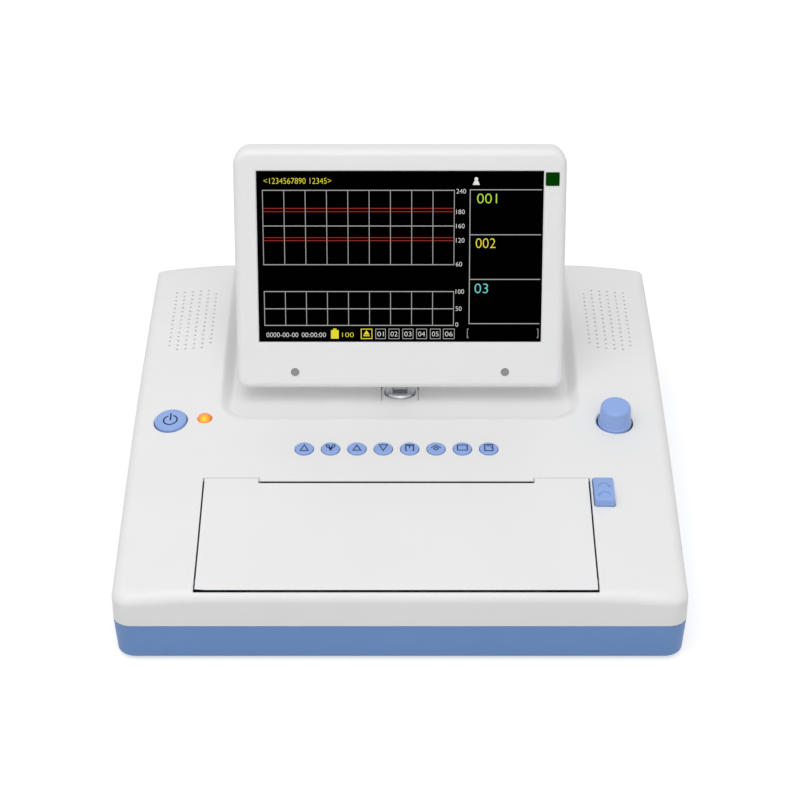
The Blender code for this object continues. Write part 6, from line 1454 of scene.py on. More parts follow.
def make_door():
    """The printer door: a piece of the deck's own skin with hinge ears, the platen's bearing lugs and a catch."""
    door = cut(housing_solid("door", 0, SEAM_HEIGHT), housing_solid("door inside", WALL, SEAM_HEIGHT - OVERRUN,
                                                                    COARSE))
    rear = DOOR_REAR_Y + DOOR_REAR_SHIFT
    combine(door, door_envelope("door edge", DOOR_LIP_HEIGHT + DOOR_LIFT, DOOR_HALF, rear), "INTERSECT")
    half = SLOT_HALF - SLOT_END + DOOR_REAR_GAP
    slot_y = rear + DOOR_REAR_GAP - SLOT_SETBACK - SLOT_GAP
    cut(door, block("paper slot", (PRINTER_X - half, slot_y, 0), (PRINTER_X + half, 0, DECK_REAR_HEIGHT)))
    ear = DOOR_HALF - DOOR_EAR_INSET
    lug = PAPER_WIDTH / 2 + GAP
    for side in (-1, 1):
        outline = hanger_outline(DOOR_AXIS_Y, DOOR_AXIS_HEIGHT, DOOR_EAR_RADIUS)
        join(door, prism("ear", outline, "X", PRINTER_X + side * ear,
                         PRINTER_X + side * (ear - DOOR_EAR_THICKNESS)))
        outline = hanger_outline(PLATEN_Y, PLATEN_HEIGHT, LUG_RADIUS)
        join(door, prism("lug", outline, "X", PRINTER_X + side * lug, PRINTER_X + side * (lug + LUG_THICKNESS)))
    join(door, catch())
    drill(door, PIN_RADIUS + BORE_GAP, ear + OVERRUN, DOOR_AXIS)
    drill(door, PLATEN_SHAFT_RADIUS + BORE_GAP, lug + LUG_THICKNESS + OVERRUN, (PRINTER_X, PLATEN_Y, PLATEN_HEIGHT))
    settle(door, "hinged_door", "white_plastic", "door", ["printer_door"], smooth=34)


def in_display(piece):
    """Turns a piece made in the display's own frame to its place at rest."""
    return moved(piece, tilt_frame())


def make_display():
    """Bezel, rear cover, screw caps and indicator lens, all on the tilt axis."""
    front = -DISPLAY_FRONT
    split = -DISPLAY_SPLIT
    levels = [(DISPLAY_EDGE_RADIUS * across, front + DISPLAY_EDGE_RADIUS * back) for back, across in quarter(12)]
    levels.append((0, split))
    bezel = display_solid("bezel", levels)
    room = display_solid("bezel room", ((DISPLAY_WALL, front + DISPLAY_WALL), (DISPLAY_WALL, split + OVERRUN)))
    cap_x = DISPLAY_HALF - CAP_INSET
    cap_z = DISPLAY_LOW + CAP_ABOVE_EDGE
    for side in (-1, 1):
        boss = rod("cap boss", CAP_BOSS_RADIUS, front, split, 32)
        cut(room, moved(boss, along_y(side * cap_x, 0, cap_z)))
    cut(bezel, room)
    half = SCREEN_HALF
    lens_x = half + LENS_FROM_SCREEN
    lens_z = SCREEN_HIGH - LENS_BELOW_SCREEN_TOP
    tools = [bezel_window(-half, half, SCREEN_LOW, SCREEN_HIGH, 2 * GAP),
             bezel_window(lens_x - GAP, lens_x + LENS_SIZE + GAP, lens_z - LENS_SIZE - GAP, lens_z + GAP, GAP)]
    for side in (-1, 1):
        wide = CAP_RADIUS + GAP / 3
        hole = lathe("cap hole", ((0, front - OVERRUN), (wide, front - OVERRUN), (wide, front + CAP_LENGTH),
                                  (0, front + CAP_LENGTH)), 32)
        tools.append(moved(hole, along_y(side * cap_x, 0, cap_z)))
    cut(bezel, gathered("bezel tools", tools), notch_block())
    settle(in_display(bezel), "screen_bezel", "white_plastic", "display", ["display_bezel"], smooth=34)

    shoulder = COVER_SHOULDER
    back = DISPLAY_BACK
    start = split + GAP
    levels = [(0, start), (GAP, start + shoulder)]
    for share, rise in COVER_SHARES:
        levels.append((GAP + COVER_TAPER * rise, start + shoulder + (back - start - shoulder) * share))
    cover = display_solid("cover", levels)
    inner = [(DISPLAY_WALL, start - OVERRUN), (DISPLAY_WALL + GAP, start + shoulder - DISPLAY_WALL / 2)]
    inner += [(inset + DISPLAY_WALL / 2, y - DISPLAY_WALL) for inset, y in levels[4:]]
    cut(cover, display_solid("cover room", inner), notch_block())
    settle(in_display(cover), "screen_back", "white_plastic", "display", ["display_cover"], smooth=34)

    caps = []
    proud = front - CAP_PROUD
    cap_end = front + CAP_LENGTH - GAP
    for side in (-1, 1):
        cap = lathe("cap", ((0, proud + GAP / 2), (CAP_RADIUS * 0.75, proud + GAP / 3), (CAP_RADIUS - GAP / 2, proud),
                            (CAP_RADIUS, front), (CAP_RADIUS, cap_end), (0, cap_end)), 32)
        caps.append(in_display(moved(cap, along_y(side * cap_x, 0, cap_z))))
    settle(gathered("caps", caps), "screw_caps", "grey_plastic", "display", ["screw_cap_left", "screw_cap_right"])
    rings = []
    low = front - LENS_PROUD
    for inset, y in ((GAP, low), (GAP / 3, low + GAP / 3), (0, low + GAP), (0, front + DISPLAY_WALL - GAP)):
        outline = rounded_rectangle(lens_x + inset, lens_x + LENS_SIZE - inset, lens_z - LENS_SIZE + inset,
                                    lens_z - inset, 2 * GAP, 2 * GAP, 4)
        rings.append([(x, y, z) for x, z in outline])
    settle(in_display(loft("lens", rings)), "lens", "green_lens", "display", ["indicator_lens"])


def bezel_window(x0, x1, z0, z1, flare):
    """A tool for an opening in the bezel's front that widens at the surface."""
    front = -DISPLAY_FRONT
    rings = []
    for grow, y in ((flare + OVERRUN, front - OVERRUN), (0, front + flare), (0, front + DISPLAY_WALL + OVERRUN)):
        rings.append([(x, y, z) for x, z in rounded_rectangle(x0 - grow, x1 + grow, z0 - grow, z1 + grow,
                                                              GAP + grow, GAP + grow, 4)])
    return loft("window", rings)


def make_hinge():
    """Fixed post with two ears, the pin, and the display's knuckle with its arm and plate."""
    arm = moved(rod("arm", KNUCKLE_RADIUS, -KNUCKLE_HALF, KNUCKLE_HALF), along_x(0, 0, 0))
    back = DISPLAY_BACK - DISPLAY_WALL - GAP
    front = back - ARM_PLATE_THICKNESS
    half = KNUCKLE_HALF - GAP
    join(arm, block("strut", (-half, front - ARM_PLATE_THICKNESS, GAP),
                    (half, back - GAP, ARM_PLATE_BOTTOM + ARM_PLATE_THICKNESS)))
    join(arm, block("plate", (-ARM_PLATE_HALF, front, ARM_PLATE_BOTTOM), (ARM_PLATE_HALF, back, ARM_PLATE_TOP)))
    drill(arm, PIN_RADIUS + BORE_GAP, 2 * KNUCKLE_HALF, (0, 0, 0), 32)
    settle(in_display(arm), "tilt_arm", "plain_steel", "display", ["hinge_arm"])

    flange_top = RECESS_FLOOR_HEIGHT - WALL - GAP
    dome_low = RECESS_FLOOR_HEIGHT - GAP
    profile = [(0, flange_top - POST_FLANGE_THICKNESS), (POST_FLANGE_RADIUS, flange_top - POST_FLANGE_THICKNESS),
               (POST_FLANGE_RADIUS, flange_top), (POST_DOME_RADIUS, flange_top), (POST_DOME_RADIUS, dome_low)]
    for step in range(1, 11):
        angle = pi / 2 * step / 10
        inset = (POST_DOME_RADIUS - POST_DOME_TOP_RADIUS) * (1 - cos(angle))
        profile.append((POST_DOME_RADIUS - inset, dome_low + POST_DOME_RISE * sin(angle)))
    profile.append((0, dome_low + POST_DOME_RISE))
    post = shifted(lathe("post", profile), 0, TILT_AXIS_Y)
    outline = circle_points(TILT_AXIS_Y, TILT_AXIS_HEIGHT, KNUCKLE_RADIUS, KNUCKLE_RADIUS, 32, 0, pi)
    outline += [(TILT_AXIS_Y - EAR_FOOT_HALF, dome_low - GAP), (TILT_AXIS_Y + EAR_FOOT_HALF, dome_low - GAP)]
    drill(post, KNUCKLE_RADIUS + 2 * GAP, EAR_INNER + GAP, TILT_AXIS, ROUND_STEPS)
    for side in (-1, 1):
        join(post, prism("ear", outline, "X", side * EAR_INNER, side * EAR_OUTER))
    drill(post, PIN_RADIUS + BORE_GAP, EAR_OUTER + OVERRUN, TILT_AXIS, 32)
    settle(post, "tilt_post", "plain_steel", nodes=["hinge_post"])
    pin = lathe("pin", ((0, -EAR_OUTER), (PIN_RADIUS - GAP, -EAR_OUTER), (PIN_RADIUS, GAP - EAR_OUTER),
                        (PIN_RADIUS, EAR_OUTER - GAP), (PIN_RADIUS - GAP, EAR_OUTER), (0, EAR_OUTER)), 32)
    settle(moved(pin, along_x(*TILT_AXIS)), "tilt_pin", "plain_steel", nodes=["hinge_pin"])


def stem_profile(radius, stem_radius, stem_end):
    """Turned profile of a stem, with the flange that holds a button of that radius under the deck."""
    flange = radius + FLANGE_OVERLAP
    low = -FLANGE_DROP - FLANGE_THICKNESS
    return [(0, stem_end), (stem_radius, stem_end), (stem_radius, low), (flange, low), (flange, -FLANGE_DROP),
            (radius, -FLANGE_DROP)]


def rounded_button(radius, proud, edge, stem_radius, stem_end, lip=0):
    """A button's turned profile: stem, flange, cap with a rounded edge and, with lip, a fine groove round its face."""
    profile = stem_profile(radius, stem_radius, stem_end)
    profile += [(radius - edge * across, proud - edge * down) for across, down in quarter(8)]
    if lip:
        groove = radius - edge - lip
        profile += [(groove, proud), (groove - lip / 4, proud - lip / 4), (groove - lip / 2, proud - lip / 4),
                    (groove - lip * 0.75, proud)]
    profile.append((0, proud))
    return profile


def make_keys(sizes):
    stem_end = -CONTROL_BOARD_DROP + SWITCH_HEIGHT + KEY_TRAVEL + 2 * GAP
    proud = KEY_PROUD - KEY_EDGE
    profile = rounded_button(KEY_RADIUS - GAP, proud, sizes.key_round, KEY_STEM_RADIUS, stem_end)
    signs = key_signs()
    for index in range(KEY_COUNT):
        place = key_place(index)
        body = f"key_{index + 1}_cap"
        settle(moved(lathe("key", profile, 48), place), f"round_key_{index + 1}", "blue_key_plastic", body,
               [f"key_{index + 1}"])
        strokes = []
        for order, (points, closed) in enumerate(signs[index]):
            high = proud + sizes.sign_proud * (1 + order / 8)
            strokes.append(stroke([(x * MM, (y + SIGN_SHIFT) * MM) for x, y in points], sizes.sign_width, closed,
                                  proud - sizes.sign_proud, high))
        settle(moved(gathered("sign", strokes), place), f"key_sign_{index + 1}", "sign_ink", body)


def key_signs():
    """The eight plain signs in millimetres from the key's middle, each a row of (points, closed) lines."""
    def dot(x, y):
        return [(x - 0.12, y), (x + 0.12, y)], False

    def loop(x, tilt):
        points = circle_points(0, 0, 0.72, 1.3)
        turned = [(px * cos(tilt) - py * sin(tilt), px * sin(tilt) + py * cos(tilt)) for px, py in points]
        return [(x + px, 1.15 + py) for px, py in turned], True

    page = [(-2.2, -2.5), (2.2, -2.5), (2.2, -0.5), (1.45, 0.05), (2.2, 0.6), (2.2, 2.5), (-2.2, 2.5)]
    return (
        (([(-2.1, -2.4), (2.1, -2.4), (0, 2.3)], True),),
        (loop(-1.45, 0.5), loop(1.45, -0.5), ([(-0.25, 0.1), (-0.25, -2.4)], False),
         ([(0.25, 0.1), (0.25, -2.4)], False), ([(-1.0, -0.9), (0, -0.2), (1.0, -0.9)], False)),
        (([(-2.1, -2.1), (2.1, -2.1), (0, 2.0)], True),),
        (([(-2.2, 2.3), (2.2, 2.3), (0, -2.3)], True), dot(0, 0.9)),
        (([(-2.4, 2.3), (2.4, 2.3)], False), ([(-2.4, 1.8), (2.4, 1.8)], False),
         ([(-2.1, 1.8), (-2.1, -2.3), (-1.3, -2.3)], False), ([(2.1, 1.8), (2.1, -2.3), (1.3, -2.3)], False),
         ([(0, 1.8), (0, -0.5)], False), dot(0, -1.9)),
        (([(-2.7, -0.2), (0, 1.95), (2.7, -0.2)], False), ([(0, 0.45), (1.3, -0.8), (0, -2.05), (-1.3, -0.8)], True)),
        (([(-2.6, -2.05), (2.6, -2.05), (2.6, 2.05), (-2.6, 2.05)], True),),
        ((page, True), ([(-1.3, 1.45), (1.3, 1.45)], False)),
    )


def stroke(points, width, closed, low, high):
    """A line of even width along flat points, as a thin raised strip with mitred corners."""
    places = [Vector(point) for point in points]
    count = len(places)
    rings = []
    for index, here in enumerate(places):
        before = places[index - 1] if closed or index else None
        after = places[(index + 1) % count] if closed or index < count - 1 else None
        come = (here - before).normalized() if before else (after - here).normalized()
        go = (after - here).normalized() if after else come
        normal = Vector((-(come.y + go.y), come.x + go.x)).normalized()
        reach = width / 2 / max(0.45, normal.dot(Vector((-come.y, come.x))))
        left, right = here + normal * reach, here - normal * reach
        rings.append([(left.x, left.y, low), (right.x, right.y, low), (right.x, right.y, high), (left.x, left.y, high)])
    vertices = [point for ring in rings for point in ring]
    faces = []
    for index in range(count if closed else count - 1):
        here, there = index * 4, (index + 1) % count * 4
        for side in range(4):
            after = (side + 1) % 4
            faces.append((here + side, here + after, there + after, there + side))
    if not closed:
        faces += [(3, 2, 1, 0), tuple((count - 1) * 4 + corner for corner in range(4))]
    return add_object("stroke", mesh_from("stroke", vertices, faces))


def make_power_and_lamp(sizes):
    profile = rounded_button(POWER_RADIUS - GAP, POWER_PROUD, POWER_EDGE, KEY_STEM_RADIUS, -POWER_STEM_LENGTH, GAP)
    settle(moved(lathe("power", profile), POWER_PLACE), "power_key", "blue_key_plastic", "power", ["power_button"])
    low = POWER_PROUD - sizes.sign_proud
    high = POWER_PROUD + sizes.sign_proud
    gap = radians(20)
    ring = circle_points(0, -0.5 * MM, 3.75 * MM, 3.75 * MM, 48, pi / 2 + gap, 2 * pi - 2 * gap)
    bar = [(0, -0.8 * MM), (0, 5.1 * MM)]
    width = 0.85 * MM
    sign = gathered("sign", [stroke(ring, width, False, low, high), stroke(bar, width, False, low, high)])
    settle(moved(sign, POWER_PLACE), "power_sign", "sign_ink", "power")

    profile = stem_profile(LAMP_RADIUS, LAMP_STEM_RADIUS, -LAMP_STEM_LENGTH)
    profile += circle_points(0, 0, LAMP_RADIUS, LAMP_DOME, 12, 0, pi / 2)[:-1] + [(0, LAMP_DOME)]
    settle(moved(lathe("lamp", profile, 48), LAMP_PLACE), "lamp_dome", "orange_lens", nodes=["status_lamp"])


def make_dial(sizes):
    """The knob: tapered wall over a foot, rounded edge, dished top, and the bore that grips its shaft."""
    height = DIAL_HEIGHT + DIAL_EXTRA
    edge = DIAL_EDGE
    slope = (DIAL_FOOT_RADIUS - DIAL_TOP_RADIUS) / (DIAL_HEIGHT + DIAL_SUNK)
    bore = DIAL_SHAFT_RADIUS + BORE_GAP
    bore_end = DIAL_SKIRT + DIAL_GRIP - DIAL_SUNK
    skirt_end = DIAL_SKIRT - DIAL_SUNK
    inner = DIAL_FOOT_RADIUS - DIAL_WALL
    profile = [(0, bore_end), (bore, bore_end), (bore, skirt_end), (inner - slope * DIAL_SKIRT, skirt_end),
               (inner, -DIAL_SUNK), (DIAL_FOOT_RADIUS, -DIAL_SUNK)]
    profile += [(DIAL_FOOT_RADIUS - inset * MM, rise * MM) for inset, rise in DIAL_FLANGE]
    for step, (across, down) in enumerate(quarter(12)):
        profile.append((DIAL_TOP_RADIUS + slope * edge * (1 - step / 12) - edge * across, height - edge * down))
    rim = DIAL_TOP_RADIUS - edge - GAP
    for step in range(8):
        share = 1 - step / 8
        profile.append((rim * share, height - sizes.dish_depth * (1 - share ** 2)))
    profile.append((0, height - sizes.dish_depth))
    settle(moved(lathe("knob", profile, 96), DIAL_PLACE), "knob", "blue_key_plastic", "dial", ["dial_knob"], smooth=40)


def release_top(y):
    """Height of the release button's sloping top above the deck, in its own frame."""
    return RELEASE_PROUD - RELEASE_SLOPE * y


def release_place():
    lean = Matrix.Rotation(atan(deck_slope(LATCH_Y)), 4, "X")
    on_deck = Matrix.Translation((RELEASE_X, LATCH_Y, deck_height(RELEASE_X, LATCH_Y)))
    return on_deck @ lean @ Matrix.Translation(RELEASE_SHIFT)


def make_release(sizes):
    """The door release: a rounded wedge on its stem, with two curved arrows."""
    lean = atan(deck_slope(LATCH_Y))
    rings = []
    levels = [(FLANGE_OVERLAP, -FLANGE_DROP - FLANGE_THICKNESS, 0), (FLANGE_OVERLAP, -FLANGE_DROP, 0),
              (0, -FLANGE_DROP, 0)]
    levels += [(-KEY_EDGE * across, -KEY_EDGE * down, 1) for across, down in quarter(6)]
    for grow, height, top in levels:
        outline = centred_rectangle(RELEASE_WIDTH / 2 + grow, RELEASE_HALF + grow, RELEASE_CORNER + grow, 8)
        rings.append([(x, y, height + top * release_top(y)) for x, y in outline])
    button = loft("button", rings)
    arm_high = LATCH_AXIS_HEIGHT + LATCH_ARM / 2
    room = (deck_height(RELEASE_X, LATCH_Y) - arm_high - GAP) / cos(lean) - STEM_WIDTH / 2 * tan(lean)
    half = STEM_WIDTH / 2
    join(button, block("stem", (-half, -half, -room), (half, half, -FLANGE_DROP)))
    settle(moved(button, release_place()), "door_release", "blue_key_plastic", "release", ["release_button"])
    arcs = (
        (circle_points(0, 1.7 * MM, 3 * MM, 3.3 * MM, 24, 0, pi), 2.5),
        ([(2.1 * MM, 2.7 * MM), (3 * MM, 1.5 * MM), (3.9 * MM, 2.7 * MM)], 2.7),
        (circle_points(0, -5.9 * MM, 3 * MM, 3 * MM, 24, 0, pi), 2.5),
        ([(-3.9 * MM, -4.9 * MM), (-3 * MM, -6.1 * MM), (-2.1 * MM, -4.9 * MM)], 2.7),
    )
    proud = sizes.sign_proud
    strokes = [stroke(points, 0.5 * MM, False, -2 * proud, proud * high) for points, high in arcs]
    signs = gathered("arcs", strokes)
    for vert in signs.data.vertices:
        vert.co.z += release_top(vert.co.y)
    # The arrows are embossed in the button's own plastic; their darker case blue is painted shade.
    settle(moved(signs, release_place()), "release_arcs", "blue_case_plastic", "release")


def plate(x0, x1, z0, z1, order=0):
    """A thin lit plate on the screen, in the display's frame and in millimetres."""
    return block("plate", (x0 * MM, SCREEN_FACE - (0.05 + 0.01 * order) * MM, z0 * MM),
                 (x1 * MM, SCREEN_FACE + 0.02 * MM, z1 * MM))


def outline_plates(x0, x1, z0, z1, width):
    """Four plates that frame a box without lying over each other."""
    return [plate(x0, x1, z1 - width, z1), plate(x0, x1, z0, z0 + width),
            plate(x0, x0 + width, z0 + width, z1 - width), plate(x1 - width, x1, z0 + width, z1 - width)]


def figures(text, x, z, height, width=None):
    """Plain figures on the screen: their left end, middle height, height and full width, in millimetres."""
    curve = bpy.data.curves.new("figures", "FONT")
    curve.body = text
    curve.offset = -0.012
    holder = add_object("figures", curve)
    bpy.context.view_layer.update()
    mesh = bpy.data.meshes.new_from_object(holder.evaluated_get(bpy.context.evaluated_depsgraph_get()))
    bpy.data.objects.remove(holder)
    xs = [vert.co.x for vert in mesh.vertices]
    ys = [vert.co.y for vert in mesh.vertices]
    scale = height * MM / (max(ys) - min(ys))
    wide = width * MM / (max(xs) - min(xs)) if width else scale
    middle = (max(ys) + min(ys)) / 2
    shape = bmesh.new()
    shape.from_mesh(mesh)
    for vert in shape.verts:
        vert.co = ((x * MM + (vert.co.x - min(xs)) * wide), SCREEN_FACE - 0.05 * MM,
                   z * MM + (vert.co.y - middle) * scale)
    bmesh.ops.remove_doubles(shape, verts=shape.verts, dist=FLATNESS)
    shape.verts.index_update()
    points = [vert.co.copy() for vert in shape.verts]
    count = len(points)
    faces = [[vert.index for vert in face.verts] for face in shape.faces]
    faces += [[index + count for index in face] for face in faces]
    for edge in shape.edges:
        if len(edge.link_faces) == 1:
            start, end = (vert.index for vert in edge.verts)
            faces.append([start, end, end + count, start + count])
    shape.free()
    points += [point + Vector((0, 0.06 * MM, 0)) for point in points]
    return add_object("figures", mesh_from("figures", points, faces))


def make_screen_picture(look):
    """The chart, figures and soft keys that the screen shows, grouped by colour."""
    half = look.line_width / MM / 2
    lines, limits, white, yellow, green, cyan = [], [], [], [], [], []
    columns = [-74.7 + 11.58 * step for step in range(10)]
    for tops in ((113.1, 93.3, 71.6), (56.4, 46.6, 37.1)):
        for level in tops:
            lines.append(plate(columns[0] - half, columns[-1] + half, level - half, level + half))
        for high, low in zip(tops, tops[1:]):
            for x in columns:
                lines.append(plate(x - half * 0.8, x + half * 0.8, low + half, high - half, 2))
    for level in (103.1, 101.3, 86.8, 85.1):
        limits.append(plate(columns[0] + half, columns[-1] - half, level - half * 0.9, level + half * 0.9))
    lines.append(plate(38.1 - half, 38.1 + half, 38.1 + half, 113.4 - half))
    for level in (113.4, 88.4, 63.3, 38.1):
        lines.append(plate(38.1 - half, 77.0, level - half, level + half))
    for text, z in (("240", 112.6), ("180", 101.2), ("160", 93.3), ("120", 85.3), ("60", 71.9), ("100", 56.4),
                    ("50", 46.7), ("0", 37.6)):
        white.append(figures(text, 30.6, z, 2.5))
    yellow.append(figures("<1234567890 12345>", -73.9, 118.3, 3.2, 36.6))
    white.append(in_plane([(39.4, 116.1), (43.3, 116.1), (42.4, 118.3), (40.3, 118.3)]))
    white.append(in_plane(circle_points(41.35, 119.3, 1.0, 1.1, 16)))
    white.append(figures("0000-00-00", -73.9, 31.7, 2.6, 17.6))
    white.append(figures("00:00:00", -54.4, 31.7, 2.6, 13.4))
    green.append(figures("001", 41.9, 108.6, 5.4, 10.8))
    yellow.append(figures("002", 41.4, 83.7, 5.4, 10.8))
    cyan.append(figures("03", 41.0, 58.2, 5.4, 7.4))
    yellow += [plate(-38.2, -33.9, 29.5, 34.4), plate(-37.0, -35.1, 34.5, 35.3)]
    yellow.append(figures("100", -32.0, 31.7, 2.6, 6.4))
    yellow += outline_plates(-21.7, -15.3, 29.3, 35.2, 0.45)
    yellow += [in_plane([(-20.2, 31.9), (-16.8, 31.9), (-18.5, 34.3)]), plate(-20.2, -16.8, 30.9, 31.5)]
    keys = ((-13.6, -7.9), (-6.3, -0.3), (1.3, 7.4), (9.0, 14.9), (16.6, 22.4), (23.8, 30.2))
    for number, (start, end) in enumerate(keys):
        lines += outline_plates(start, end, 29.3, 35.2, 0.32)
        white.append(figures(f"{number + 1:02}", start + 1.1, 32.2, 2.7, end - start - 2.2))
    for start, end, foot in ((37.1, 37.4, 37.9), (76.2, 76.5, 75.7)):
        lines.append(plate(start, end, 29.9, 35.2))
        for level in (29.9, 34.8):
            lines.append(plate(min(foot, end), max(foot, start), level, level + 0.4))
    for name, parts in (("lit_lines", lines), ("lit_limits", limits), ("lit_white", white), ("lit_yellow", yellow),
                        ("lit_green", green), ("lit_cyan", cyan)):
        settle(in_display(gathered(name, parts)), "screen_" + name, name, "display")


def in_plane(points):
    """A flat lit shape on the screen from its outline in millimetres."""
    return prism("shape", [(x * MM, z * MM) for x, z in points], "Y", SCREEN_FACE - 0.05 * MM, SCREEN_FACE + 0.02 * MM)


def make_sockets():
    """Probe sockets and inlet with their contacts, the data port with its tongue, and the earth post."""
    inside = -WALL - GAP
    back = -SOCKET_DEPTH - SOCKET_BACK
    flange = SOCKET_RADIUS + SOCKET_LEDGE
    soft = GAP

    def shell(radius, bore):
        return ((0, -SOCKET_DEPTH), (bore, -SOCKET_DEPTH), (bore, -soft), (bore + soft, 0), (radius - soft, 0),
                (radius, -soft), (radius, inside), (flange + radius - SOCKET_RADIUS, inside),
                (flange + radius - SOCKET_RADIUS, back), (0, back))

    for index in range(SOCKET_COUNT):
        place = socket_place(index)
        body = moved(lathe("socket", shell(SOCKET_RADIUS, SOCKET_BORE), 48), place)
        settle(body, f"probe_socket_body_{index + 1}", "grey_plastic", nodes=[f"probe_socket_{index + 1}"])
        contacts("probe", place, 6, 0.55 * SOCKET_BORE, 0.45 * MM, f"probe_contacts_{index + 1}")
    settle(moved(lathe("inlet", shell(INLET_RADIUS, INLET_BORE), 48), rear_place(INLET_X)), "inlet_body",
           "dark_plastic", nodes=["power_inlet"])
    contacts("inlet", rear_place(INLET_X), 1, 0, 0.9 * MM, "inlet_contact")
    half_x, half_z = DATA_WIDTH / 2, DATA_HEIGHT / 2
    depth = SOCKET_DEPTH + SOCKET_BACK
    port = block("port", (DATA_X - half_x, REAR_Y - depth, REAR_PORT_HEIGHT - half_z),
                 (DATA_X + half_x, REAR_Y, REAR_PORT_HEIGHT + half_z))
    cut(port, block("port bore", (DATA_X - half_x + DATA_WALL, REAR_Y - SOCKET_DEPTH,
                                  REAR_PORT_HEIGHT - half_z + DATA_WALL),
                    (DATA_X + half_x - DATA_WALL, REAR_Y + OVERRUN, REAR_PORT_HEIGHT + half_z - DATA_WALL)))
    settle(soften(port, soft), "data_port_shell", "plain_steel", nodes=["data_port"])
    tongue_low = REAR_PORT_HEIGHT + half_z - DATA_WALL - 3 * MM
    tongue = block("tongue", (DATA_X - half_x + 2 * DATA_WALL, REAR_Y - SOCKET_DEPTH - GAP, tongue_low),
                   (DATA_X + half_x - 2 * DATA_WALL, REAR_Y - 3 * MM, tongue_low + 1.2 * MM))
    settle(soften(tongue, soft / 2), "data_port_tongue", "dark_plastic")
    nut = EARTH_RADIUS + EARTH_WELL + SOCKET_LEDGE
    post = ((0, inside - EARTH_NUT), (nut, inside - EARTH_NUT), (nut, inside), (EARTH_RADIUS, inside),
            (EARTH_RADIUS, -1.8 * MM), (EARTH_RADIUS - GAP, -1.5 * MM), (EARTH_RADIUS, -1.2 * MM),
            (EARTH_RADIUS, -GAP), (EARTH_RADIUS - GAP, 0), (0, 0))
    settle(moved(lathe("earth", post, 48), rear_place(EARTH_X)), "earth_stud", "plain_brass", nodes=["earth_post"])


def contacts(kind, place, count, ring, radius, name):
    """Contact pins at the bottom of a socket."""
    length = 5 * MM
    if count == 1:
        pins = lathe(kind, ((0, -length / 2), (radius, -length / 2), (radius, length / 2 - GAP),
                            (radius - GAP, length / 2), (0, length / 2)), 24)
    else:
        pins = grown(kind, "Contact ring", {"Count": count, "Ring Radius": ring, "Pin Radius": radius,
                                            "Length": length, "Material": finish_of("plain_brass")})
    moved(pins, place @ Matrix.Translation((0, 0, -SOCKET_DEPTH - GAP + length / 2)))
    settle(pins, name, "plain_brass")


INNER_NODES = (
    "paper_tray", "printer_frame", "print_head", "platen_roller", "idler_gear", "motor_pinion", "stepper_motor",
    "latch_lever", "latch_pin", "door_pin_left", "door_pin_right", "speaker_left", "speaker_right", "lcd_panel",
    "main_board", "control_board", "display_board", "battery_pack", "power_module", "dial_encoder", "dial_shaft")


def make_inner_pieces():
    """Smooth copies of the CAD model's inner pieces, with a fine bevel on their edges."""
    record = frame["record"]
    slots = {part["node"]: part["material_slot"] for part in record["subparts"]}
    bodies = {name: body for body, names in record["behaviour"]["bodies"].items() for name in names}
    for name in INNER_NODES:
        source = frame["nodes"][name]
        shape = bmesh.new()
        shape.from_mesh(source.data)
        bmesh.ops.transform(shape, matrix=source.matrix_world, verts=shape.verts)
        bmesh.ops.remove_doubles(shape, verts=shape.verts, dist=FLATNESS)
        bmesh.ops.dissolve_limit(shape, angle_limit=radians(0.5), verts=shape.verts, edges=shape.edges)
        mesh = bpy.data.meshes.new(name)
        shape.to_mesh(mesh)
        shape.free()
        copy = add_object(name + "_fine", mesh)
        if name != "lcd_panel":
            soften(copy, 0.12 * MM, 1, 40)
        settle(copy, name + "_fine", slots[name], bodies[name], [name])


def soft_light(name, place, size, power):
    lamp = bpy.data.lights.new(name, "AREA")
    lamp.shape = "SQUARE"
    lamp.size = size
    lamp.energy = power
    holder = add_object(name, lamp)
    aim = (Vector(LIGHT_TARGET) - Vector(place)).to_track_quat("-Z", "Y").to_matrix().to_4x4()
    holder.matrix_world = Matrix.Translation(place) @ aim


def white_to_camera(tree, plain, strength):
    """Strength 1 for what the camera, a mirror or clear glass sees, and the given one for the light it sends out."""
    path = node(tree, "ShaderNodeLightPath")
    seen = maths(tree, "MAXIMUM")
    shown = maths(tree, "MAXIMUM")
    mix = node(tree, "ShaderNodeMix", {"A": plain, "B": strength}, data_type="FLOAT")
    wire(tree, (path, "Is Camera Ray", seen, 0), (path, "Is Glossy Ray", seen, 1), (seen, 0, shown, 0),
         (path, "Is Transmission Ray", shown, 1), (shown, 0, mix, "Factor"))
    return mix.outputs["Result"]


def make_stage(look):
    """Camera, pale floor, two soft lights and an even surround."""
    scene = bpy.context.scene
    scene.view_settings.view_transform = "Standard"
    data = bpy.data.cameras.new("camera")
    data.lens = look.lens
    data.sensor_width = 36
    data.dof.use_dof = False
    camera = add_object("camera", data)
    camera.location = CAMERA_PLACE
    camera.rotation_euler = (CAMERA_TILT, 0, 0)
    scene.camera = camera

    half = look.floor_size / 2
    floor = block("floor", (-half, -half, -2 * MM), (half, half, 0))
    paper, tree, shader, place = new_material("look_floor")
    tone = effect(tree, "Soft mottle", place, Colour=(0.55, 0.55, 0.55, 1), Amount=0.004, Scale=2.0)
    wire(tree, (tone, "Colour", shader, "Base Color"))
    fill(shader, {"Roughness": 0.9, "Specular IOR Level": 0.0, "Emission Color": (1, 1, 1, 1)})
    tree.links.new(white_to_camera(tree, 0.0, 0.6), shader.inputs["Emission Strength"])
    floor.data.materials.append(paper)

    soft_light("soft_light", (-0.3, -0.75, 1.7), 1.5, look.key_power)
    soft_light("fill_light", (0.35, -1.6, 1.35), 1.2, look.fill_power)
    world = bpy.data.worlds.new("surround")
    scene.world = world
    world.use_nodes = True
    back = world.node_tree.nodes["Background"]
    back.inputs["Color"].default_value = (1, 1, 1, 1)
    world.node_tree.links.new(white_to_camera(world.node_tree, look.sky, 1.0), back.inputs["Strength"])


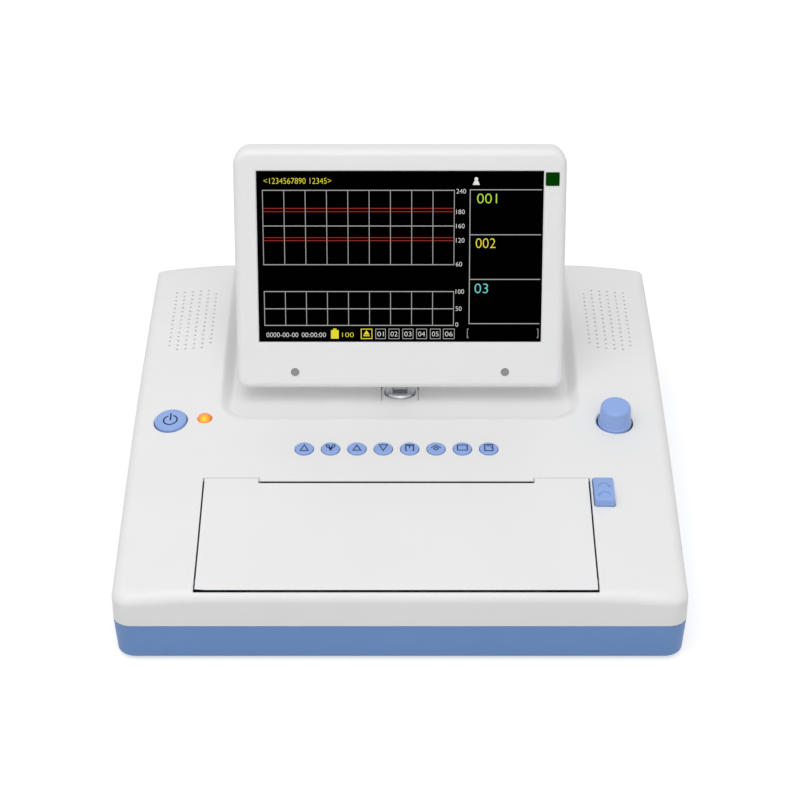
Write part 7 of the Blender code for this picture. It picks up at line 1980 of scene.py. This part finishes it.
class CTG_OT_upper_housing(bpy.types.Operator):
    """Make the crowned upper housing with its recess, grilles and holes"""
    bl_idname = "ctg.upper_housing"
    bl_label = "Upper housing"

    def execute(self, context):
        make_top_housing(context.scene.ctg_case)
        return {"FINISHED"}


class CTG_OT_lower_housing(bpy.types.Operator):
    """Make the blue lower housing"""
    bl_idname = "ctg.lower_housing"
    bl_label = "Lower housing"

    def execute(self, context):
        make_base()
        return {"FINISHED"}


class CTG_OT_feet_and_screws(bpy.types.Operator):
    """Make the rubber feet and the case screws"""
    bl_idname = "ctg.feet_and_screws"
    bl_label = "Feet and screws"

    def execute(self, context):
        make_feet_and_screws()
        return {"FINISHED"}


class CTG_OT_door(bpy.types.Operator):
    """Make the printer door"""
    bl_idname = "ctg.door"
    bl_label = "Printer door"

    def execute(self, context):
        make_door()
        return {"FINISHED"}


class CTG_OT_display(bpy.types.Operator):
    """Make the display's bezel, rear cover, screw caps and lens"""
    bl_idname = "ctg.display"
    bl_label = "Display"

    def execute(self, context):
        make_display()
        return {"FINISHED"}


class CTG_OT_screen_picture(bpy.types.Operator):
    """Make the chart and figures that the screen shows"""
    bl_idname = "ctg.screen_picture"
    bl_label = "Screen picture"

    def execute(self, context):
        make_screen_picture(context.scene.ctg_screen)
        return {"FINISHED"}


class CTG_OT_hinge(bpy.types.Operator):
    """Make the display's hinge post, pin and arm"""
    bl_idname = "ctg.hinge"
    bl_label = "Hinge"

    def execute(self, context):
        make_hinge()
        return {"FINISHED"}


class CTG_OT_keys(bpy.types.Operator):
    """Make the eight round keys and their signs"""
    bl_idname = "ctg.keys"
    bl_label = "Keys"

    def execute(self, context):
        make_keys(context.scene.ctg_controls)
        return {"FINISHED"}


class CTG_OT_power_and_lamp(bpy.types.Operator):
    """Make the power button with its sign, and the status lamp"""
    bl_idname = "ctg.power_and_lamp"
    bl_label = "Power button and lamp"

    def execute(self, context):
        make_power_and_lamp(context.scene.ctg_controls)
        return {"FINISHED"}


class CTG_OT_dial(bpy.types.Operator):
    """Make the rotary dial"""
    bl_idname = "ctg.dial"
    bl_label = "Dial"

    def execute(self, context):
        make_dial(context.scene.ctg_controls)
        return {"FINISHED"}


class CTG_OT_release(bpy.types.Operator):
    """Make the door release button"""
    bl_idname = "ctg.release"
    bl_label = "Door release"

    def execute(self, context):
        make_release(context.scene.ctg_controls)
        return {"FINISHED"}


class CTG_OT_sockets(bpy.types.Operator):
    """Make the probe sockets and the rear wall's fittings"""
    bl_idname = "ctg.sockets"
    bl_label = "Sockets"

    def execute(self, context):
        make_sockets()
        return {"FINISHED"}


class CTG_OT_inner_pieces(bpy.types.Operator):
    """Make smooth copies of the printer, boards, packs and loudspeakers"""
    bl_idname = "ctg.inner_pieces"
    bl_label = "Inner pieces"

    def execute(self, context):
        make_inner_pieces()
        return {"FINISHED"}


class CTG_OT_stage(bpy.types.Operator):
    """Make the camera, floor, lights and surround"""
    bl_idname = "ctg.stage"
    bl_label = "Stage"

    def execute(self, context):
        make_stage(context.scene.ctg_stage)
        return {"FINISHED"}


class CTG_PT_panel(bpy.types.Panel):
    """Lists what the add-on can make"""
    bl_idname = "CTG_PT_panel"
    bl_label = "Cardiotocograph"
    bl_space_type = "VIEW_3D"
    bl_region_type = "UI"
    bl_category = "Monitor"

    def draw(self, context):
        for label, group in (("Case", "ctg_case"), ("Controls", "ctg_controls"), ("Screen", "ctg_screen"),
                             ("Finishes", "ctg_finish"), ("Stage", "ctg_stage")):
            box = self.layout.box()
            box.label(text=label)
            settings = getattr(context.scene, group)
            for name in settings.__annotations__:
                box.prop(settings, name)
        column = self.layout.column(align=True)
        for operator in OPERATORS:
            column.operator(operator.bl_idname)


OPERATORS = (CTG_OT_upper_housing, CTG_OT_lower_housing, CTG_OT_feet_and_screws, CTG_OT_door, CTG_OT_display,
             CTG_OT_screen_picture, CTG_OT_hinge, CTG_OT_keys, CTG_OT_power_and_lamp, CTG_OT_dial, CTG_OT_release,
             CTG_OT_sockets, CTG_OT_inner_pieces, CTG_OT_stage)
SETTINGS = {"ctg_case": CaseSettings, "ctg_controls": ControlSettings, "ctg_screen": ScreenSettings,
            "ctg_finish": FinishSettings, "ctg_stage": StageSettings}


def register():
    for kind in (*SETTINGS.values(), *OPERATORS, CTG_PT_panel):
        bpy.utils.register_class(kind)
    for name, kind in SETTINGS.items():
        setattr(bpy.types.Scene, name, PointerProperty(type=kind))


def unregister():
    for name in SETTINGS:
        delattr(bpy.types.Scene, name)
    for kind in reversed((*SETTINGS.values(), *OPERATORS, CTG_PT_panel)):
        bpy.utils.unregister_class(kind)


def main():
    register()
    bpy.ops.ctg.upper_housing()
    bpy.ops.ctg.lower_housing()
    bpy.ops.ctg.feet_and_screws()
    bpy.ops.ctg.door()
    bpy.ops.ctg.display()
    bpy.ops.ctg.screen_picture()
    bpy.ops.ctg.hinge()
    bpy.ops.ctg.keys()
    bpy.ops.ctg.power_and_lamp()
    bpy.ops.ctg.dial()
    bpy.ops.ctg.release()
    bpy.ops.ctg.sockets()
    bpy.ops.ctg.inner_pieces()
    bpy.ops.ctg.stage()


if __name__ == "__main__":
    main()
